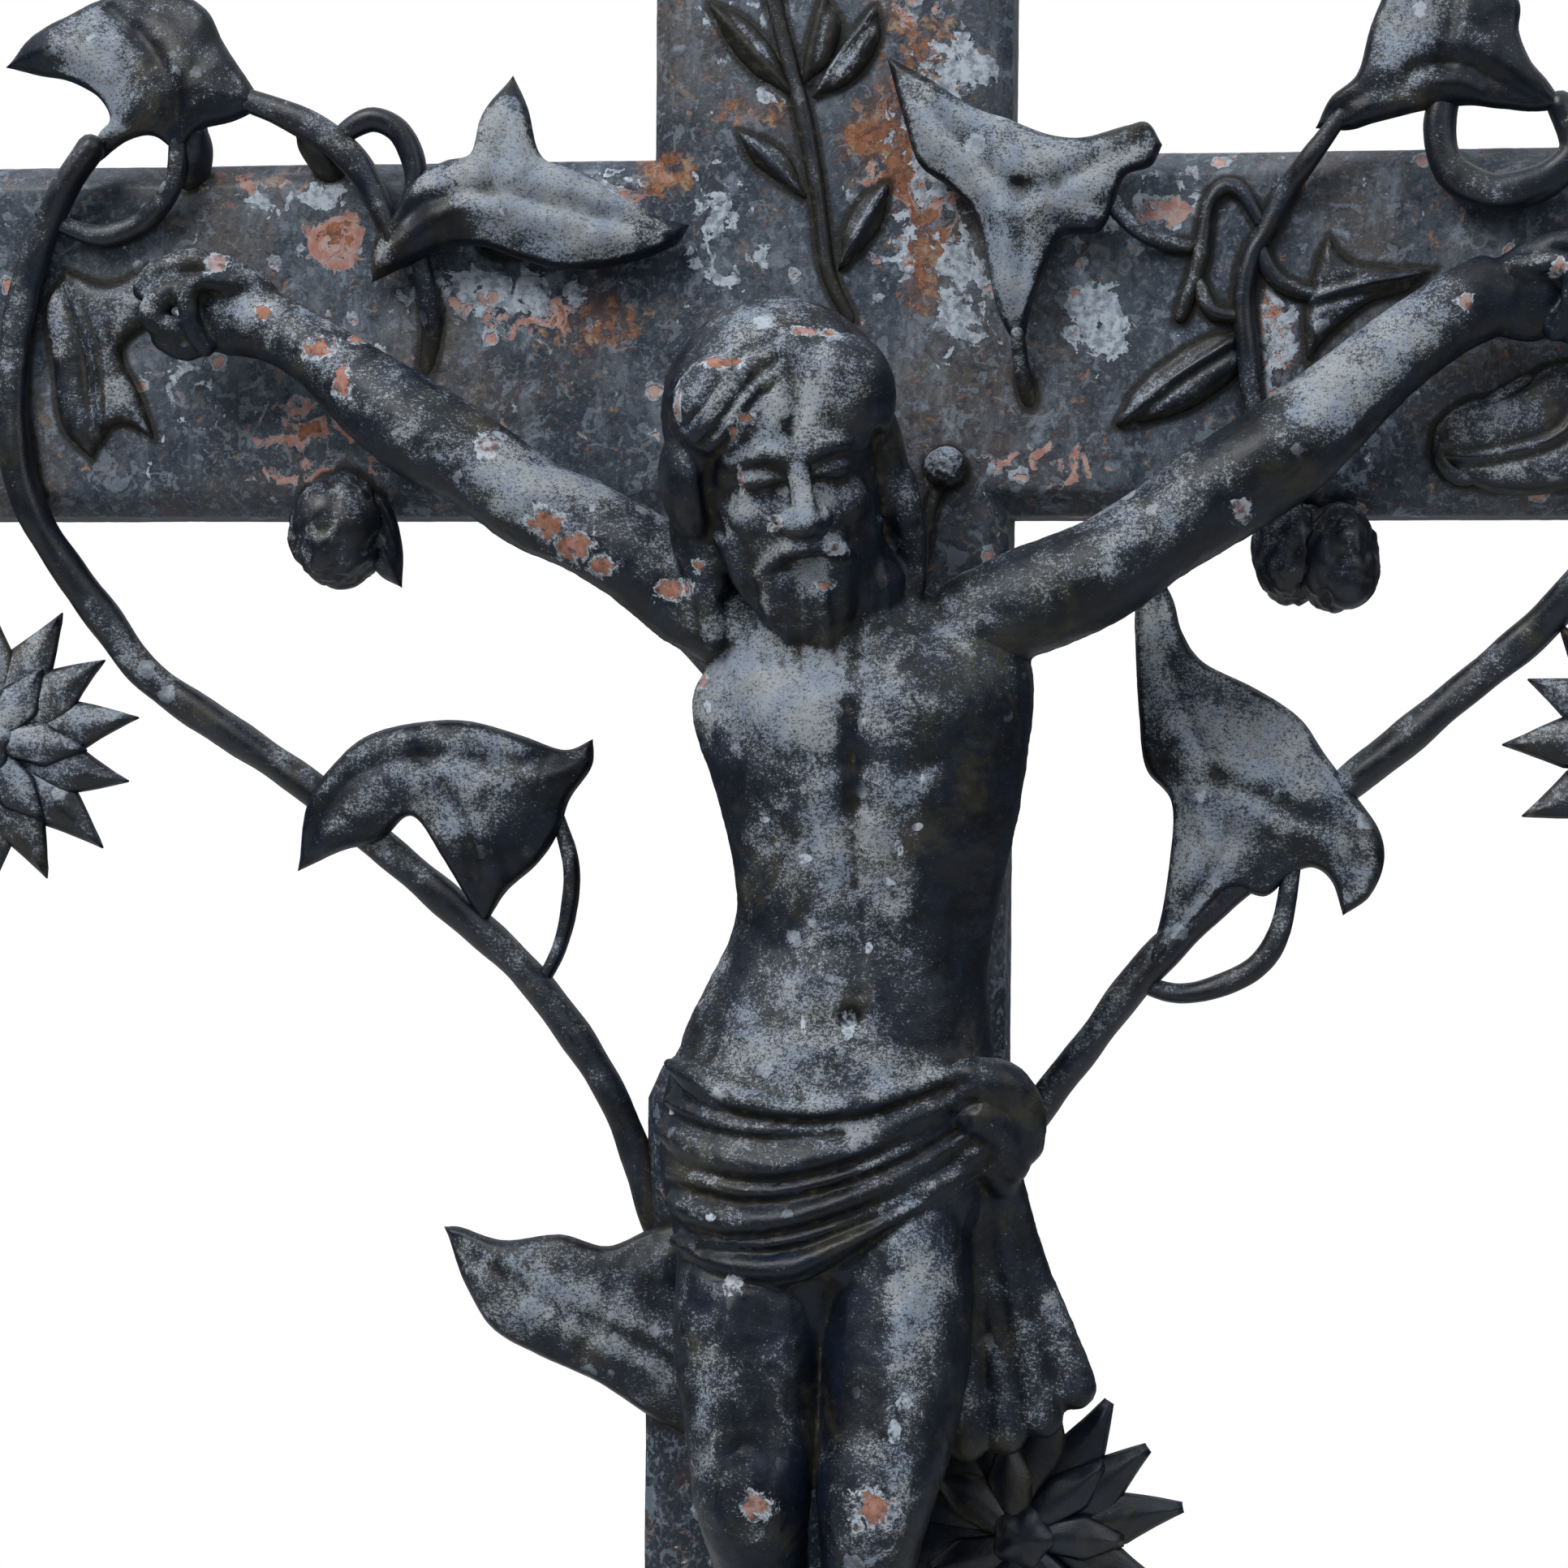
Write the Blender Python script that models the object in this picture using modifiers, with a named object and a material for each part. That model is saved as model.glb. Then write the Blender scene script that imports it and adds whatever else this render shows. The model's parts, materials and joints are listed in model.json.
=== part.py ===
"""A cast iron crucifix: a cross of flat planks grown over with bindweed, and the figure bolted to its face.

Metres, +Z up. The front of the cross looks along -Y, and the origin is under the middle of the foot.
Places on the foliage are hundredths of the plank's width from the crossing's centre: across, up, and forward
of the planks' face. Places on the figure are hundredths of the figure's height, from the same point.
"""

import math

import bmesh
import bpy
import numpy as np
from mathutils import Matrix, Vector
from mathutils.geometry import delaunay_2d_cdt

# Planks of the cross
PLANK_WIDTH = 0.107
PLANK_DEPTH = 0.030
PLANK_CHAMFER = 0.007
CROSSBEAM_SPAN = 0.624
TOP_REACH = 0.272
CROSSING_HEIGHT = 0.800

# The low foot that the upright stands in
FOOT_WIDTH = 0.300
FOOT_DEPTH = 0.232
FOOT_HEIGHT = 0.050
BLOCK_MARGIN = 0.044
BLOCK_HEIGHT = 0.052
FOOT_ROUNDING = 0.008

# The figure
FIGURE_HEIGHT = 0.520
SEAT_CLEARANCE = 0.0006
GAP = 0.0003

# Foliage, all in hundredths of the plank's width
LEAF_THICKNESS = 4.0
LEAF_CROWN = 4.5
LEAF_RIM = 1.6
RIB_DEPTH = 1.4
RIB_WIDTH = 2.6
LOW_RELIEF = 3.6
ROOT_DEPTH = 2.5
VINE_RADIUS = 5.0
STEM_RADIUS = 3.2
TENDRIL_RADIUS = 2.4
PETALS = 14
FLOWER_RADIUS = 44.0

# Fineness of the solids
LEAF_SPACING = 9.0
LOW_LEAF_SPACING = 12.0
CLAY_GRAIN = 0.0017
FIGURE_TRIANGLES = 4000
CROSS_KEPT = 0.65

PLANK_FACE = -PLANK_DEPTH / 2
SHARE = PLANK_WIDTH / 100
FIGURE_SHARE = FIGURE_HEIGHT / 100
FOOT_TOP = FOOT_HEIGHT + BLOCK_HEIGHT

# The left edge of the upright draws in behind the figure's chest
WAIST = [(-50, -73), (-46, -83), (-40, -89), (-32, -98), (-27, -109), (-24, -123), (-23, -145), (-23, -166),
         (-26, -178), (-31, -189), (-39, -197), (-46, -203), (-50, -212)]

# Leaves that stand clear of the planks: forward place, sides between sharp tips, ribs, lifts of single spots
FREE_LEAVES = {
    "upper_left": (
        10,
        [[(-235, 77), (-227, 85), (-215, 91), (-201, 97), (-187, 98), (-176, 92), (-171, 83), (-164, 73),
          (-158, 64)],
         [(-158, 64), (-167, 60), (-175, 58), (-179, 55), (-183, 51)],
         [(-183, 51), (-190, 56), (-198, 55), (-209, 49)],
         [(-209, 49), (-207, 57), (-203, 61), (-206, 67), (-215, 72), (-224, 74), (-235, 77)]],
        [[(-183, 51), (-183, 64), (-186, 73), (-192, 82), (-203, 92)]],
        [(-235, 77, -5, 16), (-209, 49, -5, 10), (-188, 98, -6, 18)],
    ),
    "mid_left": (
        11,
        [[(-128, 15), (-127, 25), (-121, 33), (-114, 44), (-106, 48), (-99, 50), (-96, 61), (-88, 72)],
         [(-88, 72), (-83, 62), (-79, 49), (-70, 45), (-57, 38), (-46, 32), (-38, 30)],
         [(-38, 30), (-42, 24), (-55, 19), (-71, 17), (-84, 20), (-96, 24), (-107, 23), (-117, 19), (-128, 15)]],
        [[(-124, 25), (-112, 35), (-93, 39), (-71, 34), (-48, 29)], [(-93, 39), (-88, 58), (-88, 69)]],
        [(-88, 72, -4, 12), (-38, 28, -4, 14), (-128, 15, -5, 10)],
    ),
    "mid_right": (
        11,
        [[(16, 76), (28, 69), (40, 61), (51, 57), (61, 53), (71, 52), (82, 55), (88, 56), (92, 50)],
         [(92, 50), (89, 44), (82, 41), (79, 33), (75, 26), (65, 25), (61, 16), (57, 6), (54, -7)],
         [(54, -7), (48, 4), (45, 17), (42, 30), (35, 38), (26, 45), (22, 56), (16, 76)]],
        [[(18, 72), (30, 59), (41, 48), (54, 37), (70, 42), (87, 51)], [(54, 37), (54, 18), (54, -1)]],
        [(16, 76, -5, 14), (92, 50, -3, 10), (54, -7, -5, 12)],
    ),
    "upper_right": (
        10,
        [[(166, 108), (180, 98), (187, 87), (187, 79), (190, 71), (194, 66), (200, 58)],
         [(200, 58), (191, 57), (182, 58), (174, 59), (163, 58), (150, 55), (142, 53), (133, 54)],
         [(133, 54), (137, 62), (144, 68), (147, 79), (150, 87), (155, 98), (166, 108)]],
        [[(135, 56), (150, 63), (167, 70), (180, 66), (194, 59)], [(167, 70), (169, 87), (167, 104)]],
        [(166, 108, -6, 16), (133, 54, -3, 10)],
    ),
    "lower_right": (
        -5,
        [[(89, -62), (95, -72), (98, -82), (104, -90), (118, -97), (130, -105), (137, -115), (146, -127),
          (152, -136), (153, -145), (149, -154), (142, -159)],
         [(142, -159), (139, -150), (134, -146), (128, -148), (121, -154), (112, -152), (106, -157), (95, -170),
          (86, -180)],
         [(86, -180), (92, -162), (95, -142), (95, -128), (88, -119), (86, -104), (85, -87), (85, -73),
          (89, -62)]],
        [[(90, -69), (97, -98), (108, -122), (109, -142), (95, -166)],
         [(108, -122), (130, -131), (145, -139), (144, -155)]],
        [(142, -159, -3, 14), (89, -62, -2, 14)],
    ),
    "lower_left": (
        -1,
        [[(-151, -150), (-147, -130), (-140, -120), (-131, -112), (-118, -108), (-102, -107), (-86, -111),
          (-74, -115), (-66, -112)],
         [(-66, -112), (-66, -120), (-72, -129), (-75, -138), (-81, -147), (-90, -155), (-97, -165)],
         [(-97, -165), (-101, -158), (-108, -146), (-117, -134), (-126, -141), (-137, -144), (-151, -150)]],
        [[(-147, -144), (-134, -124), (-114, -117), (-90, -119), (-69, -115)],
         [(-114, -117), (-101, -135), (-97, -161)]],
        [(-151, -150, -5, 12), (-97, -165, -4, 14), (-66, -112, -3, 10)],
    ),
    "foot": (
        2,
        [[(-107, -249), (-102, -249), (-89, -252), (-73, -250), (-60, -253), (-48, -248), (-36, -244)],
         [(-36, -244), (-28, -267), (-28, -289), (-32, -309)],
         [(-32, -309), (-48, -300), (-62, -291), (-79, -284), (-92, -277), (-100, -265), (-107, -249)]],
        [[(-103, -253), (-82, -266), (-57, -276), (-36, -287)]],
        [(-107, -249, -4, 14), (-34, -306, -3, 16)],
    ),
}

# Leaves in low relief on the planks: sides between sharp tips, and ribs
LOW_LEAVES = {
    "by_hand": (
        [[(-218, 20), (-205, 16), (-194, 21)], [(-194, 21), (-192, 7), (-201, -3), (-195, -17), (-191, -29)],
         [(-191, -29), (-202, -24), (-210, -34)],
         [(-210, -34), (-219, -24), (-222, -5), (-224, 9), (-218, 20)]],
        [[(-217, 15), (-210, -3), (-207, -28)]],
    ),
    "sprig_1": ([[(-26, 57), (-17, 54), (-10, 48), (-5, 36)], [(-5, 36), (-15, 42), (-22, 48), (-26, 57)]],
                [[(-25, 56), (-7, 38)]]),
    "sprig_2": ([[(-35, 93), (-24, 88), (-15, 78), (-9, 65)], [(-9, 65), (-20, 71), (-29, 81), (-35, 93)]],
                [[(-33, 91), (-11, 67)]]),
    "sprig_3": ([[(17, 43), (16, 32), (10, 23), (2, 16)], [(2, 16), (4, 29), (9, 38), (17, 43)]],
                [[(16, 40), (4, 19)]]),
    "sprig_4": ([[(-2, 95), (3, 86), (0, 75), (-8, 68)], [(-8, 68), (-7, 81), (-2, 95)]], [[(-2, 92), (-7, 70)]]),
    "sprig_5": ([[(13, 92), (14, 81), (7, 70), (-6, 64)], [(-6, 64), (0, 75), (7, 85), (13, 92)]],
                [[(12, 89), (-5, 66)]]),
    "sprig_6": ([[(-44, 134), (-34, 126), (-26, 116), (-19, 104)], [(-19, 104), (-32, 110), (-40, 121), (-44, 134)]],
                [[(-42, 131), (-21, 106)]]),
    "sprig_7": ([[(6, 140), (4, 128), (-6, 116), (-18, 110)], [(-18, 110), (-14, 123), (-5, 134), (6, 140)]],
                [[(4, 137), (-16, 112)]]),
    "sprig_8": ([[(-20, 178), (-12, 164), (-14, 150), (-19, 140)], [(-19, 140), (-27, 152), (-28, 166), (-20, 178)]],
                [[(-20, 174), (-19, 143)]]),
    "ivy": (
        [[(137, 26), (140, 21), (146, 18), (166, 17)], [(166, 17), (158, 10), (148, 7), (138, -1), (131, -10)],
         [(131, -10), (130, 1), (131, 10), (134, 21), (137, 26)]],
        [[(131, 8), (146, 12), (161, 15)]],
    ),
    "right_arm": (
        [[(78, -27), (84, -16), (94, -7), (105, -1), (113, 1)], [(113, 1), (114, -10), (107, -17), (96, -23), (78, -27)]],
        [[(81, -25), (94, -14), (111, -3)]],
    ),
    "curled": (
        [[(164, -34), (166, -25), (174, -19), (184, -17), (195, -10), (208, -8)],
         [(208, -8), (217, -21), (213, -34), (203, -43)], [(203, -43), (190, -45), (177, -43), (164, -34)]],
        [[(168, -35), (183, -34), (200, -28), (207, -12)]],
    ),
    "bract": ([[(-134, -38), (-124, -46), (-120, -58), (-120, -70)], [(-120, -70), (-127, -66), (-133, -56), (-134, -38)]],
              [[(-131, -45), (-122, -65)]]),
}

# Stems and tendrils: radius, and the way from one end to the other as across, up, forward
STEMS = {
    "vine_left": (VINE_RADIUS, [
        (-208, 53, 9), (-216, 42, 8), (-223, 29, 5), (-229, 13, 3), (-232, -10, 3), (-231, -33, 3), (-226, -50, 2),
        (-217, -66, -3), (-207, -80, -7), (-195, -95, -9), (-171, -111, -9), (-150, -125, -9), (-124, -145, -9),
        (-104, -161, -9), (-87, -176, -9), (-73, -193, -9), (-61, -211, -9), (-53, -229, -9), (-48, -246, -9),
        (-41, -266, -9)]),
    "vine_right": (VINE_RADIUS, [
        (212, 38, 8), (219, 24, 5), (223, 7, 3), (224, -15, 3), (221, -37, 3), (215, -53, 1), (205, -67, -4),
        (195, -79, -8), (184, -89, -9), (171, -100, -9), (157, -112, -9), (143, -123, -9), (128, -137, -9),
        (108, -155, -9), (95, -168, -9), (85, -179, -9), (73, -195, -9), (62, -209, -9), (54, -222, -9),
        (46, -240, -9)]),
    "loop_left": (STEM_RADIUS, [
        (-183, 58, 8), (-184, 45, 7), (-189, 37, 5), (-196, 32, 3), (-206, 29, 3), (-215, 31, 4), (-223, 35, 5)]),
    "stem_left": (STEM_RADIUS + 1.1, [
        (-164, 66, 8), (-153, 62, 8), (-141, 56, 8), (-132, 48, 7), (-126, 38, 7), (-121, 26, 8)]),
    "loop_small": (STEM_RADIUS + 0.2, [
        (-139, 52, 7), (-134, 57, 8), (-127, 60, 8), (-120, 57, 8), (-116, 50, 8), (-115, 42, 8), (-118, 32, 8)]),
    "strut_left": (VINE_RADIUS + 0.6, [(-179, 57, 6), (-183, 45, -4)]),
    "strut_mid": (VINE_RADIUS, [(-146, 57, 5), (-141, 46, -5)]),
    "ridge": (STEM_RADIUS, [(-114, 22, 6), (-112, 3, 0), (-114, -13, -3)]),
    "stalk_right": (TENDRIL_RADIUS, [(76, 36, 8), (85, 27, 6), (92, 24, 3), (102, 23, -1)]),
    "tip_right": (TENDRIL_RADIUS, [(53, -1, 8), (54, -11, 2), (56, -20, -2)]),
    "stem_right": (STEM_RADIUS, [
        (140, 57, 8), (131, 45, 6), (125, 37, 2), (120, 27, 1), (116, 20, 1), (114, 9, 1), (115, -5, 1),
        (117, -21, 1), (122, -34, 1), (129, -50, 2)]),
    "shoot_right": (TENDRIL_RADIUS, [(117, 25, 1), (123, 14, 1), (134, 9, 1)]),
    "arch_right": (TENDRIL_RADIUS, [(97, 4, 0), (102, 19, 1), (104, 33, 1), (108, 39, 1), (113, 38, 1), (118, 30, 1)]),
    "arch_foot": (TENDRIL_RADIUS, [(101, 15, 0), (105, 6, 1), (111, 4, 1), (115, 5, 1)]),
    "ring_right": (VINE_RADIUS, [
        (168, 64, 7), (166, 55, 7), (167, 46, 7), (171, 40, 7), (180, 36, 7), (189, 37, 7), (197, 41, 7),
        (202, 48, 7), (198, 59, 8)]),
    "loop_leaf_right": (STEM_RADIUS, [
        (128, -146, -8), (125, -163, -8), (119, -173, -8), (108, -179, -9), (97, -181, -9), (86, -178, -9)]),
    "tie_leaf_right": (STEM_RADIUS, [(92, -80, -7), (90, -62, -8), (91, -44, -9)]),
    "loop_leaf_left": (TENDRIL_RADIUS, [
        (-76, -132, -4), (-72, -147, -6), (-73, -160, -8), (-76, -171, -9), (-81, -181, -9)]),
    "sprig": (TENDRIL_RADIUS, [
        (6, 4, -1), (0, 17, 0), (-3, 38, 0), (-7, 59, 0), (-11, 74, 0), (-15, 89, 0), (-18, 106, 0), (-20, 126, 0),
        (-19, 144, -1)]),
    "berry_stem": (1.8, [(26, -63, 0), (28, -53, 0), (30, -45, 0), (33, -38, 1)]),
    "curl": (TENDRIL_RADIUS, [
        (190, -14, 2), (179, -21, 2), (170, -29, 2), (167, -35, 2), (173, -40, 1), (182, -37, 1), (191, -36, 1),
        (203, -39, 0)]),
}

# Buds and berries: middle as across, up, forward, then half width, half height, half depth
BUDS = {
    "bud_left": ((-138, -54, 1), (14.5, 17, 13)),
    "bud_right_inner": ((128, -60, -1), (12, 15, 11)),
    "bud_right_outer": ((140, -62, 1), (12.5, 15.5, 12)),
    "berry": ((33, -37, 2), (6, 6, 6)),
}

# Flowers: middle as across, up, forward, and the turn of the first petal in degrees
FLOWERS = {
    "flower_left": ((-241, -115, -4), 12),
    "flower_right": ((228, -113, -4), 0),
    "flower_foot": ((57, -329, 2), 8),
}

# The figure's limbs as rings: across, up, forward, half width, half depth
TRUNK = [(2.5, -14.8, 8.3, 3.1, 2.9), (2.4, -16.6, 7.3, 6.7, 3.8), (2.8, -19.9, 6.3, 9.5, 5.2),
         (3.3, -25.5, 6.2, 8.6, 5.2), (3.2, -31.1, 5.8, 7.4, 4.6), (2.8, -34.7, 5.6, 7.2, 4.4),
         (2.2, -38.4, 5.8, 8.2, 4.8), (1.6, -41.9, 6.0, 9.0, 5.2), (1.1, -46.8, 6.0, 9.0, 5.3),
         (0.6, -51.3, 6.0, 8.0, 5.2), (0.7, -54.0, 6.0, 5.4, 4.2)]
NECK = [(2.3, -16.3, 6.9, 3.3, 3.3), (1.7, -13.7, 8.8, 2.9, 3.1), (1.0, -10.0, 10.4, 2.9, 3.1)]
ARM_LEFT = [(-4.3, -16.5, 6.3, 2.8, 2.9), (-6.8, -15.2, 6.2, 2.8, 2.9), (-9.6, -13.1, 6.0, 2.7, 2.9),
            (-12.8, -11.3, 6.0, 2.6, 2.8), (-15.8, -10.0, 6.0, 2.6, 2.8), (-18.9, -7.8, 6.0, 2.6, 2.8),
            (-22.2, -5.9, 5.8, 2.8, 2.8), (-25.3, -3.8, 5.2, 2.5, 2.5), (-28.2, -1.6, 4.6, 2.0, 2.1),
            (-30.6, -0.2, 4.0, 1.9, 1.8), (-33.0, 0.8, 3.4, 2.2, 1.7)]
ARM_RIGHT = [(9.3, -16.5, 6.3, 2.8, 2.9), (12.1, -15.4, 6.2, 3.0, 3.1), (15.7, -13.9, 6.0, 2.9, 3.0),
             (18.9, -11.8, 6.0, 2.7, 2.9), (21.8, -9.8, 5.8, 2.9, 3.0), (25.5, -7.4, 5.4, 2.9, 2.9),
             (28.4, -4.9, 4.9, 2.6, 2.6), (31.1, -2.4, 4.4, 2.3, 2.2), (34.4, 0.1, 3.8, 2.2, 1.9),
             (36.9, 1.5, 3.4, 2.3, 1.8)]
LEG_LEFT = [(-2.5, -48.2, 6.3, 4.7, 4.8), (-2.8, -52.2, 6.9, 4.3, 4.6), (-2.8, -56.1, 7.9, 4.3, 4.2),
            (-2.5, -60.3, 9.0, 3.8, 3.7), (-2.3, -64.6, 10.0, 3.2, 3.4), (-2.0, -68.1, 8.8, 2.6, 2.9),
            (-1.6, -73.2, 6.9, 2.5, 2.9), (-0.8, -79.3, 5.6, 2.0, 2.3), (-0.1, -85.3, 4.8, 1.4, 1.7),
            (0.4, -88.9, 4.6, 1.5, 1.7), (0.5, -92.8, 3.7, 1.9, 1.5), (0.8, -95.9, 3.1, 1.7, 1.1),
            (1.0, -97.6, 2.9, 1.1, 0.8)]
LEG_RIGHT = [(4.8, -48.0, 6.3, 4.5, 4.8), (5.2, -52.0, 6.9, 4.0, 4.6), (5.2, -55.9, 7.9, 4.2, 4.2),
             (5.0, -60.1, 9.2, 3.8, 3.7), (4.4, -64.3, 10.4, 3.2, 3.4), (4.0, -67.8, 9.6, 2.6, 2.9),
             (3.3, -72.7, 8.3, 2.5, 2.9), (2.5, -78.7, 7.3, 2.1, 2.3), (1.7, -84.7, 6.9, 1.4, 1.7),
             (1.2, -88.3, 6.9, 1.6, 1.7), (0.5, -92.0, 6.1, 1.9, 1.5), (0.0, -95.1, 5.4, 1.7, 1.2),
             (-0.3, -97.0, 5.0, 1.2, 0.8)]


# Hand: half sizes of the palm, then each finger's radius and its way out from the palm, up, forward
PALM = (2.7, 2.6, 1.6)
FINGERS = [
    (0.95, [(0.0, 2.0, 0.0), (2.2, 2.7, 0.4), (4.2, 2.2, 0.7), (5.2, 1.3, 0.6)]),
    (0.90, [(1.6, 1.1, 0.6), (3.6, 0.9, 1.5), (4.6, -0.4, 1.4), (3.4, -1.2, 1.2)]),
    (0.85, [(1.0, -1.2, 0.3), (2.8, -2.1, 0.6), (4.1, -1.6, 0.7)]),
    (0.62, [(-0.4, 1.4, 1.2), (2.0, 1.4, 2.0), (2.3, -0.6, 1.9), (1.5, -2.2, 1.2)]),
]
HAND_LEFT = (-33.6, 1.2, 3.3)
HAND_RIGHT = (38.9, 1.5, 3.2)

# Head, in its own frame before it is bowed: across, up, forward of the skull's middle
HEAD_PLACE = (-0.9, -7.3, 10.0)
HEAD_BOW = 24
HEAD_TURN = -12
HEAD_TILT = 9
HEAD_OVALS = [
    ((0, 1.4, -0.4), (5.3, 6.0, 6.0)),
    ((0, -3.0, 1.6), (4.1, 5.2, 4.2)),
    ((-2.3, -2.2, 3.6), (1.6, 1.7, 1.5)),
    ((2.3, -2.2, 3.6), (1.6, 1.7, 1.5)),
    ((-1.9, 0.0, 4.5), (1.15, 0.75, 0.9)),
    ((1.9, 0.0, 4.5), (1.15, 0.75, 0.9)),
    ((0, -4.9, 4.9), (1.2, 0.5, 0.8)),
    ((0.4, -6.7, 3.7), (2.9, 3.9, 2.3)),
    ((-0.2, 1.9, -0.9), (6.4, 6.2, 6.1)),
    ((-5.5, -1.0, 0.6), (1.7, 3.2, 2.7)),
    ((-4.9, -5.4, 0.0), (1.5, 3.6, 2.0)),
    ((5.3, -2.6, -0.4), (1.3, 4.6, 2.3)),
    ((-3.2, 3.7, 2.7), (2.9, 2.9, 2.5)),
    ((3.3, 3.5, 2.7), (2.7, 3.3, 2.5)),
]
# Brow, nose, moustache, beard and hair as strands: radius at each end, and the way
FACE_STRANDS = [
    (0.55, 0.75, [(0, 1.1, 5.4), (0, -0.6, 6.2), (0, -2.0, 7.0)]),
    (0.75, 0.75, [(-0.8, -2.1, 6.2), (0, -2.2, 6.6), (0.8, -2.1, 6.2)]),
    (1.3, 0.8, [(0.3, -6.4, 5.0), (0.6, -8.6, 4.9), (0.9, -10.2, 4.5)]),
]
MIRRORED_STRANDS = [
    (0.7, 0.5, [(0.3, 1.3, 5.2), (1.8, 1.6, 5.1), (3.4, 1.0, 4.0)]),
    (0.75, 0.35, [(0.2, -3.4, 6.1), (1.6, -4.1, 5.6), (2.7, -5.6, 4.4)]),
    (1.2, 0.6, [(1.6, -5.8, 4.5), (1.8, -7.6, 4.5), (1.2, -9.2, 4.3)]),
    (1.2, 0.5, [(3.3, -3.6, 3.0), (3.2, -6.0, 3.2), (2.2, -8.4, 3.5)]),
    (1.0, 0.7, [(3.9, -1.0, 2.0), (3.9, -3.6, 2.2), (3.4, -6.0, 2.4)]),
]
SHOULDER_LOCKS = [
    (1.2, 0.7, [(-6.2, -9.0, 9.4), (-6.4, -12.2, 9.2), (-5.4, -15.0, 9.2), (-5.0, -17.6, 8.9)]),
    (1.1, 0.6, [(-4.6, -10.6, 8.4), (-5.4, -13.6, 8.2), (-6.6, -16.2, 8.3)]),
    (1.1, 0.6, [(5.0, -9.0, 8.4), (5.7, -12.0, 7.9), (5.8, -14.8, 7.9), (5.2, -16.8, 8.3)]),
    (1.0, 0.6, [(4.2, -10.0, 7.4), (4.6, -13.0, 7.4), (4.4, -15.6, 8.2)]),
]

# Loincloth: rings about the hips, folds that lie on them, and the knot with its hanging end
CLOTH = [(1.4, -42.0, 6.1, 9.0, 5.5), (1.1, -44.5, 6.1, 9.3, 5.8), (0.9, -47.5, 6.2, 9.1, 5.8),
         (0.7, -50.0, 6.3, 8.4, 5.3)]
FOLDS = [
    (0.85, [(-7.3, -41.0), (-5.4, -41.8), (-3.0, -42.7), (1.0, -43.1), (5.2, -42.3), (9.0, -40.9)]),
    (0.55, [(-7.6, -43.0), (-5.0, -43.9), (-1.6, -44.3), (2.6, -43.9)]),
    (1.00, [(-7.8, -44.6), (-4.4, -45.9), (-0.2, -46.1), (4.2, -44.7), (7.2, -43.1), (9.6, -41.9)]),
    (0.70, [(-7.4, -46.9), (-2.6, -47.6), (1.6, -46.9), (5.9, -45.3), (9.2, -43.2)]),
    (0.90, [(-7.2, -48.6), (-3.6, -49.4), (0.6, -48.8), (5.0, -47.0), (9.5, -44.2)]),
    (0.60, [(-5.2, -50.4), (-1.0, -50.3), (3.4, -48.9), (6.8, -47.2)]),
    (0.85, [(-6.9, -50.6), (-3.6, -51.7), (-0.2, -51.7), (2.6, -50.4), (5.6, -48.6), (8.4, -46.8), (10.2, -45.2)]),
]
KNOT = [
    (1.4, 1.3, [(9.4, -41.6, 9.2), (11.0, -41.8, 8.6), (12.0, -43.2, 7.9), (12.0, -45.0, 7.3)]),
    (1.2, 1.1, [(9.6, -43.4, 9.4), (10.8, -44.4, 8.6), (11.4, -46.2, 7.6)]),
    (0.9, 0.8, [(8.8, -45.0, 9.2), (10.0, -46.0, 8.3), (11.0, -47.4, 7.1)]),
]
HANGING_END = [
    (0.8, 1.3, [(11.2, -46.8, 6.8), (12.2, -51.6, 4.9), (13.6, -55.6, 4.1), (14.7, -58.8, 3.8)]),
    (0.9, 1.3, [(10.7, -46.8, 6.8), (11.3, -52.0, 5.3), (12.2, -56.6, 4.4), (12.9, -60.4, 4.1)]),
    (0.9, 1.3, [(10.0, -47.4, 6.5), (10.2, -52.4, 5.0), (10.6, -57.0, 4.3), (10.9, -61.4, 4.0)]),
    (0.9, 1.3, [(9.2, -48.0, 6.4), (8.8, -53.0, 5.3), (8.7, -58.0, 4.6), (8.8, -61.8, 4.3)]),
]

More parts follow.
